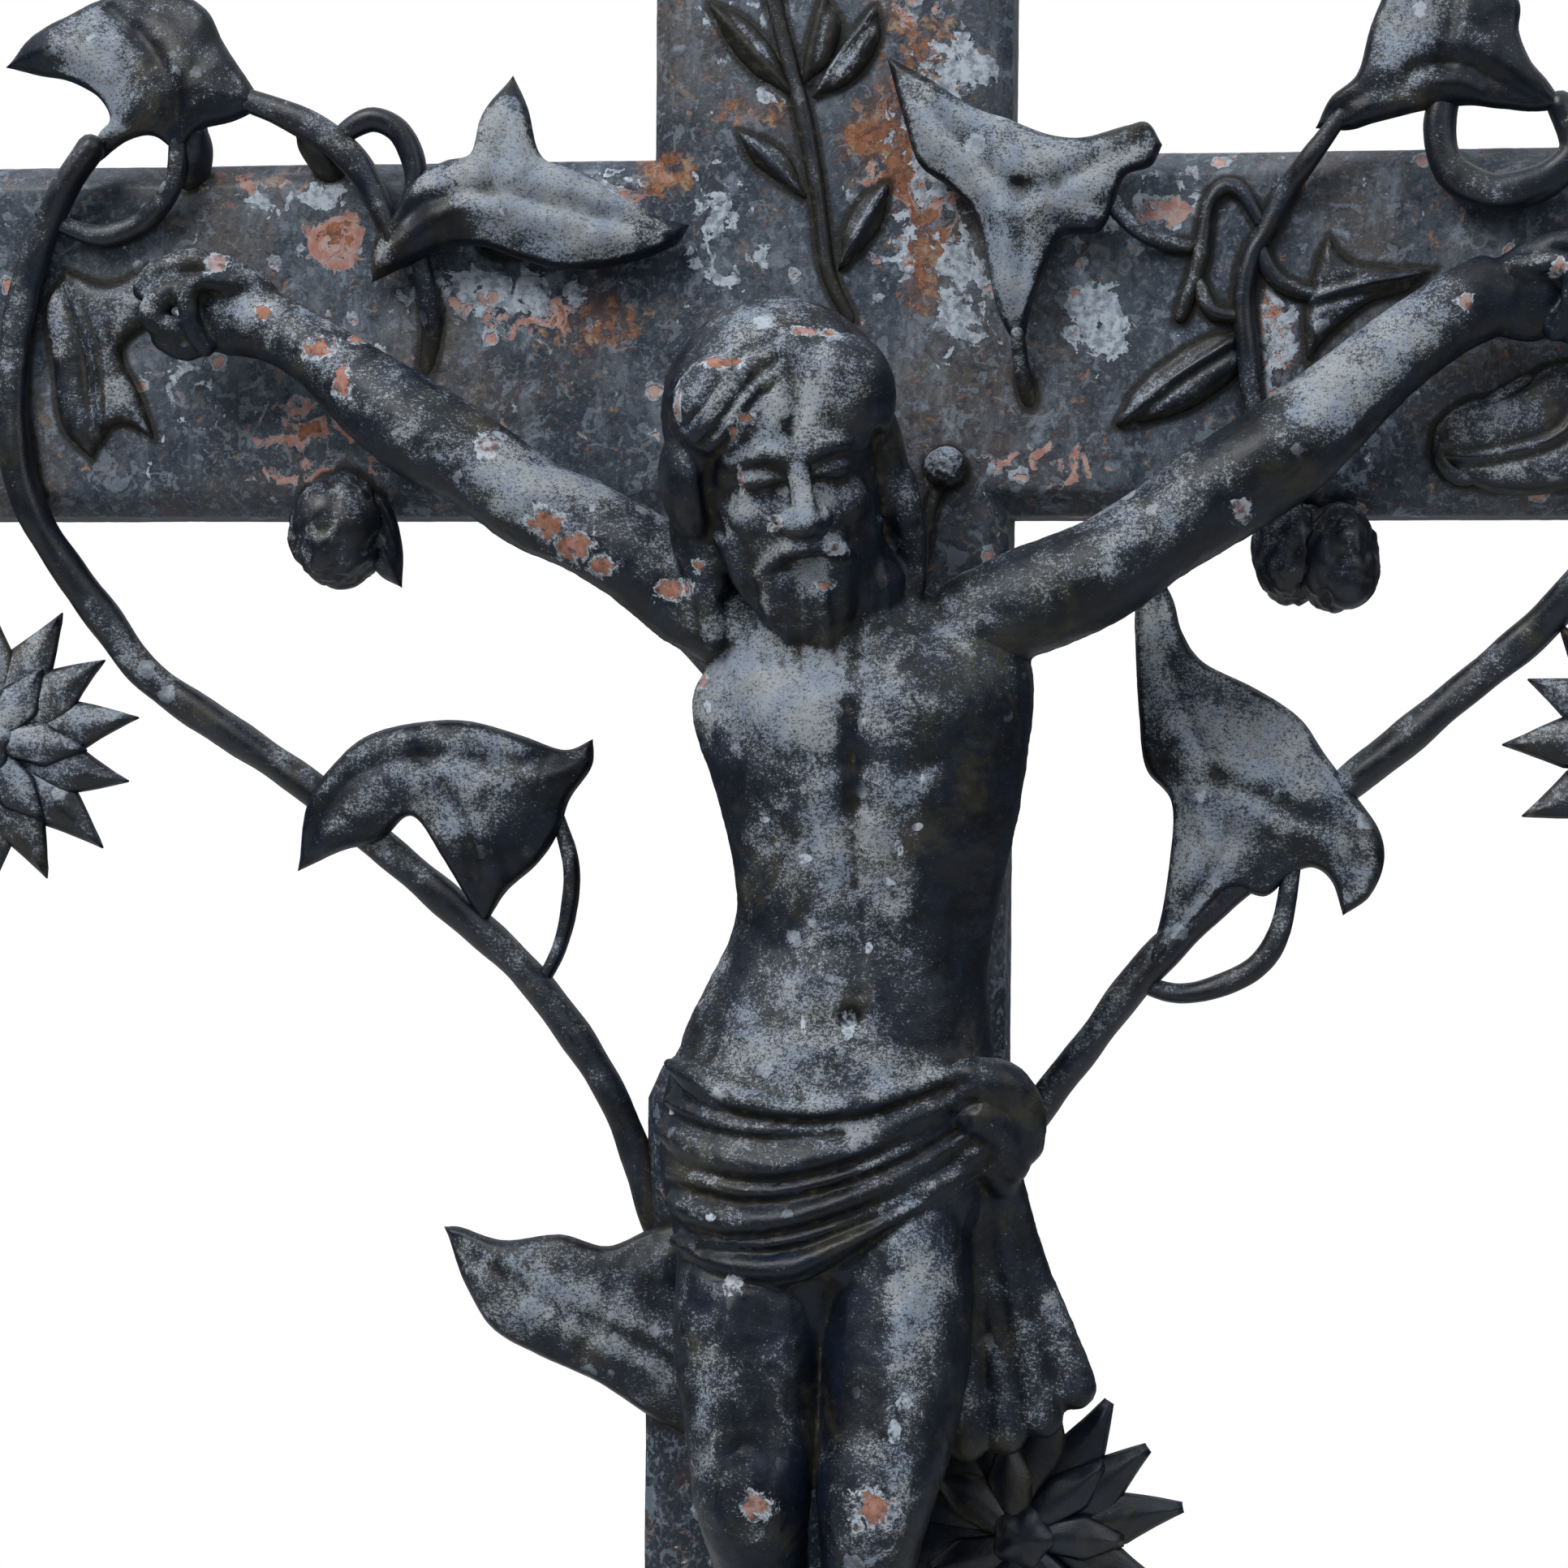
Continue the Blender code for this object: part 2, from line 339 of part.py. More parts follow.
# Carving of the front: soft spots as across, up, reach, rise; strokes as width, rise and a line
SPOTS = [(-0.8, -21.6, 2.9, 0.55), (6.9, -21.4, 2.9, 0.55), (3.1, -36.0, 3.2, 0.5), (3.0, -38.2, 0.65, -1.1),
         (-2.2, -64.2, 1.7, 0.6), (4.4, -63.9, 1.8, 0.6), (-2.2, -61.9, 1.2, -0.25), (4.6, -61.6, 1.2, -0.25),
         (-10.0, -13.4, 2.6, 0.35), (-16.6, -10.4, 2.2, 0.3), (-22.4, -6.0, 2.4, 0.4), (16.0, -14.0, 2.6, 0.35),
         (26.0, -7.0, 2.6, 0.4), (-1.8, -73.0, 2.2, 0.3), (3.6, -72.6, 2.2, 0.3)]
STROKES = [
    (0.9, -0.5, [(2.9, -19.2), (3.2, -25.2)]),
    (0.8, -0.45, [(-4.0, -21.6), (-2.6, -23.4), (0.0, -24.4), (2.7, -24.3)]),
    (0.8, -0.45, [(3.7, -24.3), (7.2, -24.2), (9.4, -22.6)]),
    (0.9, -0.45, [(3.2, -26.4), (0.6, -28.4), (-1.8, -31.4)]),
    (0.9, -0.45, [(3.4, -26.4), (6.0, -28.2), (8.0, -31.0)]),
    (0.7, 0.3, [(-4.6, -25.4), (-2.4, -27.0), (-1.0, -27.4)]),
    (0.7, 0.3, [(-4.4, -28.0), (-2.8, -29.4), (-1.8, -29.8)]),
    (0.7, 0.3, [(7.6, -26.8), (9.2, -26.2), (10.6, -25.2)]),
    (0.7, 0.3, [(7.6, -29.6), (9.0, -29.0), (10.0, -28.2)]),
    (0.8, -0.35, [(3.2, -27.0), (3.1, -36.8)]),
    (0.7, -0.2, [(-0.6, -31.2), (6.8, -31.2)]),
    (0.7, -0.2, [(-0.6, -34.4), (6.6, -34.4)]),
    (1.0, -0.35, [(-5.4, -37.0), (-4.4, -39.6), (-2.4, -41.4)]),
    (1.0, -0.35, [(9.2, -37.4), (8.4, -39.6)]),
    (0.7, 0.4, [(-3.6, -17.0), (-1.0, -17.8), (1.2, -18.3)]),
    (0.7, 0.4, [(4.2, -18.3), (6.4, -17.8), (8.8, -17.0)]),
]


def smooth_path(points, steps):
    """Points of a smooth curve through the given ones, with so many steps in each span."""
    points = np.asarray(points, float)
    if len(points) < 3 or steps == 1:
        return points
    ends = np.vstack([2 * points[0] - points[1], points, 2 * points[-1] - points[-2]])
    out = []
    for a, b, c, d in zip(ends, ends[1:], ends[2:], ends[3:]):
        for t in np.arange(steps) / steps:
            out.append(0.5 * (2 * b + (c - a) * t + (2 * a - 5 * b + 4 * c - d) * t**2
                              + (3 * b - a - 3 * c + d) * t**3))
    return np.array(out + [points[-1]])


def even_path(points, spacing):
    """A smooth curve through the points, cut into steps of about the spacing."""
    fine = smooth_path(points, 8)
    lengths = np.append(0, np.cumsum(np.linalg.norm(np.diff(fine, axis=0), axis=1)))
    places = np.linspace(0, lengths[-1], max(int(round(lengths[-1] / spacing)), 1) + 1)
    return np.column_stack([np.interp(places, lengths, fine[:, k]) for k in range(fine.shape[1])])


def distance_to_line(spots, line):
    """How far each spot is from a line of points."""
    best = np.full(len(spots), np.inf)
    for a, b in zip(line, line[1:]):
        along = b - a
        t = np.clip((spots - a) @ along / max(along @ along, 1e-12), 0, 1)
        best = np.minimum(best, np.linalg.norm(spots - a - t[:, None] * along, axis=1))
    return best


def on_cross(spots):
    """Turns across, up, forward in hundredths of the plank's width into metres."""
    spots = np.asarray(spots, float)
    return np.column_stack([spots[:, 0] * SHARE, PLANK_FACE - spots[:, 2] * SHARE,
                            CROSSING_HEIGHT + spots[:, 1] * SHARE])


def on_figure(spots):
    """Turns across, up, forward in hundredths of the figure's height into metres."""
    spots = np.asarray(spots, float)
    return np.column_stack([spots[:, 0] * FIGURE_SHARE, PLANK_FACE - spots[:, 2] * FIGURE_SHARE,
                            CROSSING_HEIGHT + spots[:, 1] * FIGURE_SHARE])


def mesh_object(name, points, faces, collection):
    """A new object with this mesh, its faces turned outward."""
    mesh = bpy.data.meshes.new(name)
    mesh.from_pydata([tuple(p) for p in points], [], [tuple(f) for f in faces])
    work = bmesh.new()
    work.from_mesh(mesh)
    bmesh.ops.recalc_face_normals(work, faces=work.faces)
    work.to_mesh(mesh)
    work.free()
    made = bpy.data.objects.new(name, mesh)
    collection.objects.link(made)
    return made


def helper(made):
    """Marks an object as one that only helps to make another."""
    made.hide_render = True
    made.display_type = "WIRE"
    return made


def collection_named(name):
    made = bpy.data.collections.new(name)
    bpy.context.scene.collection.children.link(made)
    return made


def iron(name, color, roughness):
    """Painted cast iron of one colour."""
    made = bpy.data.materials.new(name)
    made.use_nodes = True
    shader = made.node_tree.nodes["Principled BSDF"]
    shader.inputs["Base Color"].default_value = (*color, 1)
    shader.inputs["Roughness"].default_value = roughness
    shader.inputs["Metallic"].default_value = 0.1
    return made


def loop_area(loop):
    return np.sum(loop[:, 0] * np.roll(loop[:, 1], -1) - np.roll(loop[:, 0], -1) * loop[:, 1]) / 2


def leaf_net(sides, spacing):
    """Spots and triangles that fill a leaf's outline, and how many of the spots lie on its edge."""
    outline = np.vstack([even_path(side, spacing)[:-1] for side in sides])
    if loop_area(outline) < 0:
        outline = outline[::-1]
    count = len(outline)
    low, high = outline.min(0), outline.max(0)
    rows = np.arange(low[1], high[1], spacing * 0.866)
    inner = [(x + (k % 2) * spacing / 2, y) for k, y in enumerate(rows) for x in np.arange(low[0], high[0], spacing)]
    inner = np.array(inner)
    rim = np.vstack([outline, outline[:1]])
    inner = inner[distance_to_line(inner, rim) > spacing * 0.55]
    spots = [Vector(p) for p in np.vstack([outline, inner])]
    edges = [(k, (k + 1) % count) for k in range(count)]
    flat, _, faces, origins, _, _ = delaunay_2d_cdt(spots, edges, [list(range(count))], 1, 1e-5)
    flat = np.array([tuple(p) for p in flat])
    used = np.unique(np.array(faces))
    place = np.full(len(flat), -1)
    place[used] = np.arange(len(used))
    return flat[used], place[np.array(faces)], rim


def leaf_block(name, sides, ribs, spacing, top, back, collection):
    """A closed leaf: the net laid on its top, a second net on its back, and a wall around the edge."""
    flat, faces, rim = leaf_net(sides, spacing)
    inset = distance_to_line(flat, rim)
    veins = np.full(len(flat), np.inf)
    for rib in ribs:
        veins = np.minimum(veins, distance_to_line(flat, smooth_path(rib, 4)))
    upper = top(flat, inset, veins)
    lower = back(flat, inset, upper)
    count = len(flat)
    points = np.vstack([np.column_stack([flat, upper]), np.column_stack([flat, lower])])
    sides_of = {}
    for a, b, c in faces:
        for edge in ((a, b), (b, c), (c, a)):
            sides_of[edge] = True
    wall = [(b, a, a + count, b + count) for a, b in sides_of if (b, a) not in sides_of]
    skin = [tuple(f) for f in faces] + [tuple(f[::-1] + count) for f in faces] + wall
    return helper(mesh_object(name, on_cross(points), skin, collection))


def free_leaf(name, front, sides, ribs, lifts, collection):
    """A leaf that stands clear: domed, with a sunk midrib, its tips bent back."""
    def top(flat, inset, veins):
        height = front + LEAF_CROWN * (1 - np.exp(-inset / 7)) - LEAF_RIM * np.exp(-inset / 1.5)
        height -= RIB_DEPTH * np.exp(-((veins / RIB_WIDTH) ** 2)) * (1 - np.exp(-inset / 4))
        return height + bend(flat)

    def bend(flat):
        total = np.zeros(len(flat))
        for u, v, lift, reach in lifts:
            total += lift * np.exp(-((np.hypot(flat[:, 0] - u, flat[:, 1] - v) / reach) ** 2))
        return total

    def back(flat, inset, upper):
        return upper - LEAF_THICKNESS + LEAF_RIM * np.exp(-inset / 1.5)

    leaf_block(name, sides, ribs, LEAF_SPACING, top, back, collection)


def low_leaf(name, sides, ribs, height, collection):
    """A leaf in low relief, rooted in the planks."""
    def top(flat, inset, veins):
        return height - 1.8 * np.exp(-inset / 1.5) - 0.8 * np.exp(-((veins / 1.6) ** 2))

    def back(flat, inset, upper):
        return np.full(len(flat), -ROOT_DEPTH)

    leaf_block(name, sides, ribs, LOW_LEAF_SPACING, top, back, collection)


def post_under(name, spot, reach, front, collection):
    """The short thick neck that carries a raised leaf."""
    bpy.ops.mesh.primitive_cone_add(vertices=10, radius1=reach * SHARE, radius2=reach * 0.7 * SHARE,
                                    depth=(front + ROOT_DEPTH) * SHARE)
    made = bpy.context.object
    made.name = name
    made.rotation_euler = (math.pi / 2, 0, 0)
    made.location = on_cross([(*spot, (front - ROOT_DEPTH) / 2)])[0]
    move_to(made, collection)
    return helper(made)


def move_to(made, collection):
    for home in list(made.users_collection):
        home.objects.unlink(made)
    collection.objects.link(made)


def stem(name, radius, way, sides, steps, collection):
    """A stem or tendril: a bevelled curve along its way, made a mesh with its ends closed."""
    curve = bpy.data.curves.new(name, "CURVE")
    curve.dimensions = "3D"
    curve.bevel_depth = radius * SHARE
    curve.bevel_resolution = (sides - 4) // 2
    curve.use_fill_caps = True
    points = on_cross(smooth_path(way, steps))
    spline = curve.splines.new("POLY")
    spline.points.add(len(points) - 1)
    for k, (point, place) in enumerate(zip(spline.points, points)):
        point.co = (*place, 1)
        point.radius = 1 - 0.25 * abs(2 * k / (len(points) - 1) - 1) ** 3
    guide = bpy.data.objects.new(name, curve)
    collection.objects.link(guide)
    bpy.context.view_layer.update()
    mesh = bpy.data.meshes.new_from_object(guide.evaluated_get(bpy.context.evaluated_depsgraph_get()))
    bpy.data.objects.remove(guide)
    work = bmesh.new()
    work.from_mesh(mesh)
    bmesh.ops.remove_doubles(work, verts=work.verts, dist=1e-6)
    bmesh.ops.recalc_face_normals(work, faces=work.faces)
    work.to_mesh(mesh)
    work.free()
    made = bpy.data.objects.new(name, mesh)
    collection.objects.link(made)
    return helper(made)


def bud(name, middle, halves, collection):
    """A round bud."""
    work = bmesh.new()
    bmesh.ops.create_uvsphere(work, u_segments=10, v_segments=6, radius=1)
    mesh = bpy.data.meshes.new(name)
    work.to_mesh(mesh)
    work.free()
    made = bpy.data.objects.new(name, mesh)
    made.location = on_cross([middle])[0]
    made.scale = (halves[0] * SHARE, halves[2] * SHARE, halves[1] * SHARE)
    collection.objects.link(made)
    return helper(made)


def petal_ring(name, middle, reach, height, turn, collection):
    """One ring of pointed petals as a closed star, with a keel on each petal."""
    rings = [(0.30, 2.6, 2.6), (0.66, 3.4, 1.4), (1.0, -0.6, -0.6)]
    count = PETALS * 2
    points = [(middle[0], middle[1], middle[2] + height + 2.0)]
    for share, keel, valley in rings:
        for k in range(count):
            angle = math.radians(turn) + math.pi * k / PETALS
            on_keel = k % 2 == 0
            out = reach * share * (1.0 if on_keel or share < 0.5 else 0.9 if share < 1 else 0.74)
            rise = height + (keel if on_keel else valley)
            points.append((middle[0] + out * math.cos(angle), middle[1] + out * math.sin(angle), middle[2] + rise))
    edge = len(points)
    for x, y, z in points[edge - count:edge]:
        points.append((x, y, middle[2] + height - 3.2))
    points.append((middle[0], middle[1], middle[2] + height - 4.5))
    faces = [(0, 1 + k, 1 + (k + 1) % count) for k in range(count)]
    for ring in range(3):
        start = 1 + ring * count
        for k in range(count):
            a, b = start + k, start + (k + 1) % count
            faces.append((a, a + count, b + count, b))
    start = 1 + 3 * count
    faces += [(start + k, len(points) - 1, start + (k + 1) % count) for k in range(count)]
    return helper(mesh_object(name, on_cross(points), faces, collection))


def flower(name, middle, turn, collection):
    """Two rings of petals about a round eye."""
    petal_ring(name + "_outer", middle, FLOWER_RADIUS, 0, turn, collection)
    petal_ring(name + "_inner", middle, FLOWER_RADIUS * 0.66, 3.5, turn + 180 / PETALS, collection)
    bud(name + "_eye", (middle[0], middle[1], middle[2] + 5.5), (9, 9, 4.5), collection)


def plank_outline():
    """The cross seen from the front, from its top left corner round to the left, in metres."""
    half = PLANK_WIDTH / 2
    reach = CROSSBEAM_SPAN / 2
    top = CROSSING_HEIGHT + TOP_REACH
    bottom = FOOT_TOP + GAP
    above, below = CROSSING_HEIGHT + half, CROSSING_HEIGHT - half
    waist = [(u * SHARE, CROSSING_HEIGHT + v * SHARE) for u, v in WAIST]
    return ([(-half, top), (-half, above), (-reach, above), (-reach, below), (-half, below)] + waist
            + [(-half, bottom), (half, bottom), (half, below), (reach, below), (reach, above), (half, above),
               (half, top)])


def planks(collection):
    """Upright and crossbeam in one, with a chamfer all round the front and a small one behind."""
    outline = plank_outline()
    work = bmesh.new()
    front = [work.verts.new((x, PLANK_FACE, z)) for x, z in outline]
    back = [work.verts.new((x, -PLANK_FACE, z)) for x, z in outline]
    work.faces.new(front)
    work.faces.new(back[::-1])
    for k in range(len(outline)):
        j = (k + 1) % len(outline)
        work.faces.new((front[k], back[k], back[j], front[j]))
    bmesh.ops.recalc_face_normals(work, faces=work.faces)
    rims = [edge for edge in work.edges if all(v.co.y == front[0].co.y for v in edge.verts)]
    bmesh.ops.bevel(work, geom=rims, offset=PLANK_CHAMFER, offset_type="OFFSET", segments=1, affect="EDGES")
    mesh = bpy.data.meshes.new("cross")
    work.to_mesh(mesh)
    work.free()
    made = bpy.data.objects.new("cross", mesh)
    collection.objects.link(made)
    return made


def cross(collection, growth, paint):
    """The planks with all their foliage, joined into one casting."""
    made = planks(collection)
    for name, (front, sides, ribs, lifts) in FREE_LEAVES.items():
        free_leaf("leaf_" + name, front, sides, ribs, lifts, growth)
    for name, spot, reach, front in (("post_mid_left", (-88, 33), 14, 12), ("post_mid_right", (52, 36), 13, 12),
                                     ("post_foot", (-42, -275), 8, 1)):
        post_under(name, spot, reach, front, growth)
    for name, (sides, ribs) in LOW_LEAVES.items():
        low_leaf("low_" + name, sides, ribs, LOW_RELIEF + (1.4 if name == "curled" else 0), growth)
    for name, (radius, way) in STEMS.items():
        stem(name, radius, way, 8 if radius >= VINE_RADIUS else 6, 1 if len(way) > 7 else 2, growth)
    for name, (middle, halves) in BUDS.items():
        bud(name, middle, halves, growth)
    for name, (middle, turn) in FLOWERS.items():
        flower(name, middle, turn, growth)
    join = made.modifiers.new("foliage", "BOOLEAN")
    join.operation = "UNION"
    join.operand_type = "COLLECTION"
    join.collection = growth
    join.solver = "EXACT"
    join.use_self = True
    thin = made.modifiers.new("thin", "DECIMATE")
    thin.ratio = CROSS_KEPT
    made.data.materials.append(paint)
    return made


def ring_points(middle, along, across, deep, sides):
    """Spots of one oval ring square to the way of the limb."""
    ahead = np.array([0.0, 0.0, 1.0])
    side = np.cross(along, ahead)
    side /= np.linalg.norm(side)
    rise = np.cross(side, along)
    angles = np.arange(sides) * 2 * math.pi / sides
    return middle + across * np.outer(np.cos(angles), side) + deep * np.outer(np.sin(angles), rise)


def limb(rings, sides=20, steps=3):
    """A limb lofted through oval rings, with round ends: its spots and faces."""
    rings = smooth_path(rings, steps)
    middles, sizes = rings[:, :3], rings[:, 3:]
    ways = np.gradient(middles, axis=0)
    ways /= np.linalg.norm(ways, axis=1)[:, None]
    loops = []
    for angle in (75, 50, 25):
        out = sizes[0].min() * math.sin(math.radians(angle))
        loops.append((middles[0] - ways[0] * out, ways[0], sizes[0] * math.cos(math.radians(angle))))
    loops += list(zip(middles, ways, sizes))
    for angle in (25, 50, 75):
        out = sizes[-1].min() * math.sin(math.radians(angle))
        loops.append((middles[-1] + ways[-1] * out, ways[-1], sizes[-1] * math.cos(math.radians(angle))))
    points = np.vstack([ring_points(m, w, s[0], s[1], sides) for m, w, s in loops])
    faces = [tuple(range(sides))[::-1], tuple(range(len(points) - sides, len(points)))]
    for k in range(len(loops) - 1):
        for j in range(sides):
            a, b = k * sides + j, k * sides + (j + 1) % sides
            faces.append((a, b, b + sides, a + sides))
    return points, faces


def oval(middle, halves, sides=14):
    """An egg shape: its spots and faces."""
    work = bmesh.new()
    bmesh.ops.create_uvsphere(work, u_segments=sides, v_segments=sides // 2 + 1, radius=1)
    points = np.array([v.co[:] for v in work.verts])[:, [0, 2, 1]] * np.array(halves) + np.array(middle)
    faces = [tuple(v.index for v in face.verts) for face in work.faces]
    work.free()
    return points, faces


def strand(first, last, way, sides=10):
    """A round strand that changes evenly from one radius to another."""
    radii = np.linspace(first, last, len(way))
    return limb([(*spot, r, r) for spot, r in zip(way, radii)], sides)


def over_hips(u, v):
    """How far forward the loincloth's front lies at a place across it."""
    middle, half = 1.0, 9.4
    return 6.2 + 5.5 * math.sqrt(max(1 - ((u - middle) / half) ** 2, 0.02))


def hand(palm, side):
    """A half closed hand, its palm to the front. Side is -1 for the left of the picture."""
    made = [oval(palm, PALM)]
    for radius, way in FINGERS:
        places = [(palm[0] + side * a, palm[1] + b, palm[2] + c) for a, b, c in way]
        made.append(strand(radius, radius * 0.9, places))
    return made


def bowed(points):
    """Spots of the upright head turned into the head's pose."""
    bow, turn, tilt = (math.radians(a) for a in (HEAD_BOW, HEAD_TURN, HEAD_TILT))
    pose = Matrix.Rotation(tilt, 3, "Z") @ Matrix.Rotation(-turn, 3, "Y") @ Matrix.Rotation(bow, 3, "X")
    return np.asarray(points) @ np.array(pose).T + np.array(HEAD_PLACE)


def head():
    """The bowed head with its hair and beard."""
    made = [oval(middle, halves) for middle, halves in HEAD_OVALS]
    made += [strand(a, b, way) for a, b, way in FACE_STRANDS]
    for a, b, way in MIRRORED_STRANDS:
        made += [strand(a, b, [(side * x, y, z) for x, y, z in way]) for side in (-1, 1)]
    return [(bowed(points), faces) for points, faces in made]


def figure_forms():
    """Every form of the figure as closed skins, in hundredths of its height."""
    forms = [limb(rings, 24) for rings in (TRUNK, NECK, ARM_LEFT, ARM_RIGHT, LEG_LEFT, LEG_RIGHT, CLOTH)]
    forms += hand(HAND_LEFT, -1) + hand(HAND_RIGHT, 1) + head()
    for radius, line in FOLDS:
        line = smooth_path(line, 3)
        forms.append(limb([(u, v, over_hips(u, v) - 0.2, radius, radius) for u, v in line], 10, 1))
    forms += [strand(a, b, way) for a, b, way in SHOULDER_LOCKS + KNOT + HANGING_END]
    return forms


def carve(places, facing):
    """Moves spots of the figure's front forward or back to carve muscles, ribs and navel."""
    rise = np.zeros(len(places))
    flat = places[:, :2]
    below_head = places[:, 2] < 9.5 + 3.5 * (places[:, 1] < -17)
    for u, v, reach, amount in SPOTS:
        rise += amount * np.exp(-((np.hypot(flat[:, 0] - u, flat[:, 1] - v) / reach) ** 2))
    for width, amount, line in STROKES:
        rise += amount * np.exp(-((distance_to_line(flat, smooth_path(line, 4)) / width) ** 2))
    places[:, 2] += rise * np.clip(facing, 0, 1) * below_head
    return places


def relax(points, edges, rounds):
    """Draws each spot halfway to the middle of its neighbours."""
    count = np.bincount(edges.ravel(), minlength=len(points))[:, None]
    for _ in range(rounds):
        total = np.zeros_like(points)
        np.add.at(total, edges[:, 0], points[edges[:, 1]])
        np.add.at(total, edges[:, 1], points[edges[:, 0]])
        points = (points + total / count) / 2
    return points


def keep_largest(mesh):
    """Leaves only the mesh's largest connected piece, so no bubble inside the figure stays."""
    work = bmesh.new()
    work.from_mesh(mesh)
    left, pieces = set(work.verts), []
    while left:
        edge_of = [left.pop()]
        piece = set(edge_of)
        while edge_of:
            spot = edge_of.pop()
            fresh = {edge.other_vert(spot) for edge in spot.link_edges} - piece
            piece |= fresh
            edge_of += fresh
        left -= piece
        pieces.append(piece)
    largest = max(pieces, key=len)
    bmesh.ops.delete(work, geom=[v for v in work.verts if v not in largest], context="VERTS")
    work.to_mesh(mesh)
    work.free()


def corpus(collection, paint):
    """The figure: its forms run together, softened, carved and thinned to a light mesh."""
    points, faces = [], []
    for spots, skin in figure_forms():
        faces += [tuple(k + len(points) for k in face) for face in skin]
        points += list(on_figure(spots))
    clay = mesh_object("corpus", points, faces, collection)
    grain = clay.modifiers.new("run together", "REMESH")
    grain.mode = "VOXEL"
    grain.voxel_size = CLAY_GRAIN
    bpy.context.view_layer.update()
    mesh = bpy.data.meshes.new_from_object(clay.evaluated_get(bpy.context.evaluated_depsgraph_get()))
    keep_largest(mesh)
    clay.modifiers.clear()
    clay.data = mesh
    count = len(mesh.vertices)
    spots = np.empty(count * 3)
    mesh.vertices.foreach_get("co", spots)
    edges = np.empty(len(mesh.edges) * 2, int)
    mesh.edges.foreach_get("vertices", edges)
    spots = relax(spots.reshape(-1, 3), edges.reshape(-1, 2), 2)
    mesh.vertices.foreach_set("co", spots.ravel())
    mesh.update()
    normals = np.array([v.normal.y for v in mesh.vertices])
    places = np.column_stack([spots[:, 0] / FIGURE_SHARE, (spots[:, 2] - CROSSING_HEIGHT) / FIGURE_SHARE,
                              (PLANK_FACE - spots[:, 1]) / FIGURE_SHARE])
    places = carve(places, -normals)
    places[:, 2] = np.maximum(places[:, 2], SEAT_CLEARANCE / FIGURE_SHARE)
    mesh.vertices.foreach_set("co", on_figure(places).ravel())
    mesh.update()
    mesh.calc_loop_triangles()
    thin = clay.modifiers.new("thin", "DECIMATE")
    thin.ratio = FIGURE_TRIANGLES / len(mesh.loop_triangles)
    clay.data.materials.append(paint)
    return clay


def rounded_box(name, width, depth, low, high, rounding, collection):
    """A box with its edges rounded, from one height to another."""
    bpy.ops.mesh.primitive_cube_add(size=1)
    made = bpy.context.object
    made.name = name
    made.data.transform(Matrix.Diagonal((width, depth, high - low, 1)))
    made.location = (0, 0, (low + high) / 2)
    soften = made.modifiers.new("edges", "BEVEL")
    soften.width = rounding
    soften.segments = 2
    move_to(made, collection)
    return made


def base(collection, growth, paint):
    """The plain low foot: a slab with a smaller block on it, cast as one."""
    slab = rounded_box("base", FOOT_WIDTH, FOOT_DEPTH, 0, FOOT_HEIGHT, FOOT_ROUNDING, collection)
    block = rounded_box("base_block", PLANK_WIDTH + 2 * BLOCK_MARGIN, PLANK_DEPTH + 2 * BLOCK_MARGIN,
                        FOOT_HEIGHT / 2, FOOT_TOP, FOOT_ROUNDING, growth)
    helper(block)
    join = slab.modifiers.new("block", "BOOLEAN")
    join.operation = "UNION"
    join.object = block
    join.solver = "EXACT"
    slab.data.materials.append(paint)
    return slab


def main():
    for old in list(bpy.data.objects):
        bpy.data.objects.remove(old)
    crucifix = collection_named("crucifix")
    growth = collection_named("foliage")
    footing = collection_named("footing")
    black_paint = iron("black paint", (0.045, 0.05, 0.06), 0.55)
    gray_paint = iron("weathered gray paint", (0.12, 0.13, 0.15), 0.6)
    plain_paint = iron("plain black paint", (0.05, 0.055, 0.06), 0.6)
    cross(crucifix, growth, gray_paint)
    corpus(crucifix, black_paint)
    base(crucifix, footing, plain_paint)


main()
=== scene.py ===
"""Looks of a cast iron crucifix: flat planks grown over with bindweed, and the draped figure on their front.

Places on the foliage are hundredths of the plank's width from the crossing's centre: across, up, and forward
of the planks' face. Places on the figure are hundredths of the figure's height, from the same point.
"""

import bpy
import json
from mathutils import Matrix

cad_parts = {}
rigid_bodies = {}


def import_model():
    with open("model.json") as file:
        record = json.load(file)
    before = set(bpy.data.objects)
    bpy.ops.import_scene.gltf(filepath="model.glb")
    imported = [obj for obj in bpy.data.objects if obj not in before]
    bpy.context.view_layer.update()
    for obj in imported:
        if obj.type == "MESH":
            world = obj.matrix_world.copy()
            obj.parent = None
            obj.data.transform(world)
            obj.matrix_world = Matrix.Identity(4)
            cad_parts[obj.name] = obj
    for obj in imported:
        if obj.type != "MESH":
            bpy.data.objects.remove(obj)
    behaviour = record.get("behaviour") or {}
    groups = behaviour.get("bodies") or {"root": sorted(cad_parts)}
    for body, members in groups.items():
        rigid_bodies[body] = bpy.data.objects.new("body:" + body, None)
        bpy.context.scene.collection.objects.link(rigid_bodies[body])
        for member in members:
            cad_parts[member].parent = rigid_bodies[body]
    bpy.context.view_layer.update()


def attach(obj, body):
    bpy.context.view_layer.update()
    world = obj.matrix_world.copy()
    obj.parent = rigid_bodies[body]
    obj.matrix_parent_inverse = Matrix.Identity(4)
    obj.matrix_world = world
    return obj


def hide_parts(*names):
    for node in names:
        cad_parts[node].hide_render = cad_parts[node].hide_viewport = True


bl_info = {
    "name": "Cast Iron Crucifix",
    "version": (1, 0, 0),
    "blender": (4, 5, 0),
    "location": "View3D > Sidebar > Crucifix",
    "description": "Builds the planks, foliage, figure and foot of a weathered cast iron crucifix",
    "category": "Add Mesh",
}

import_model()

import json
import math

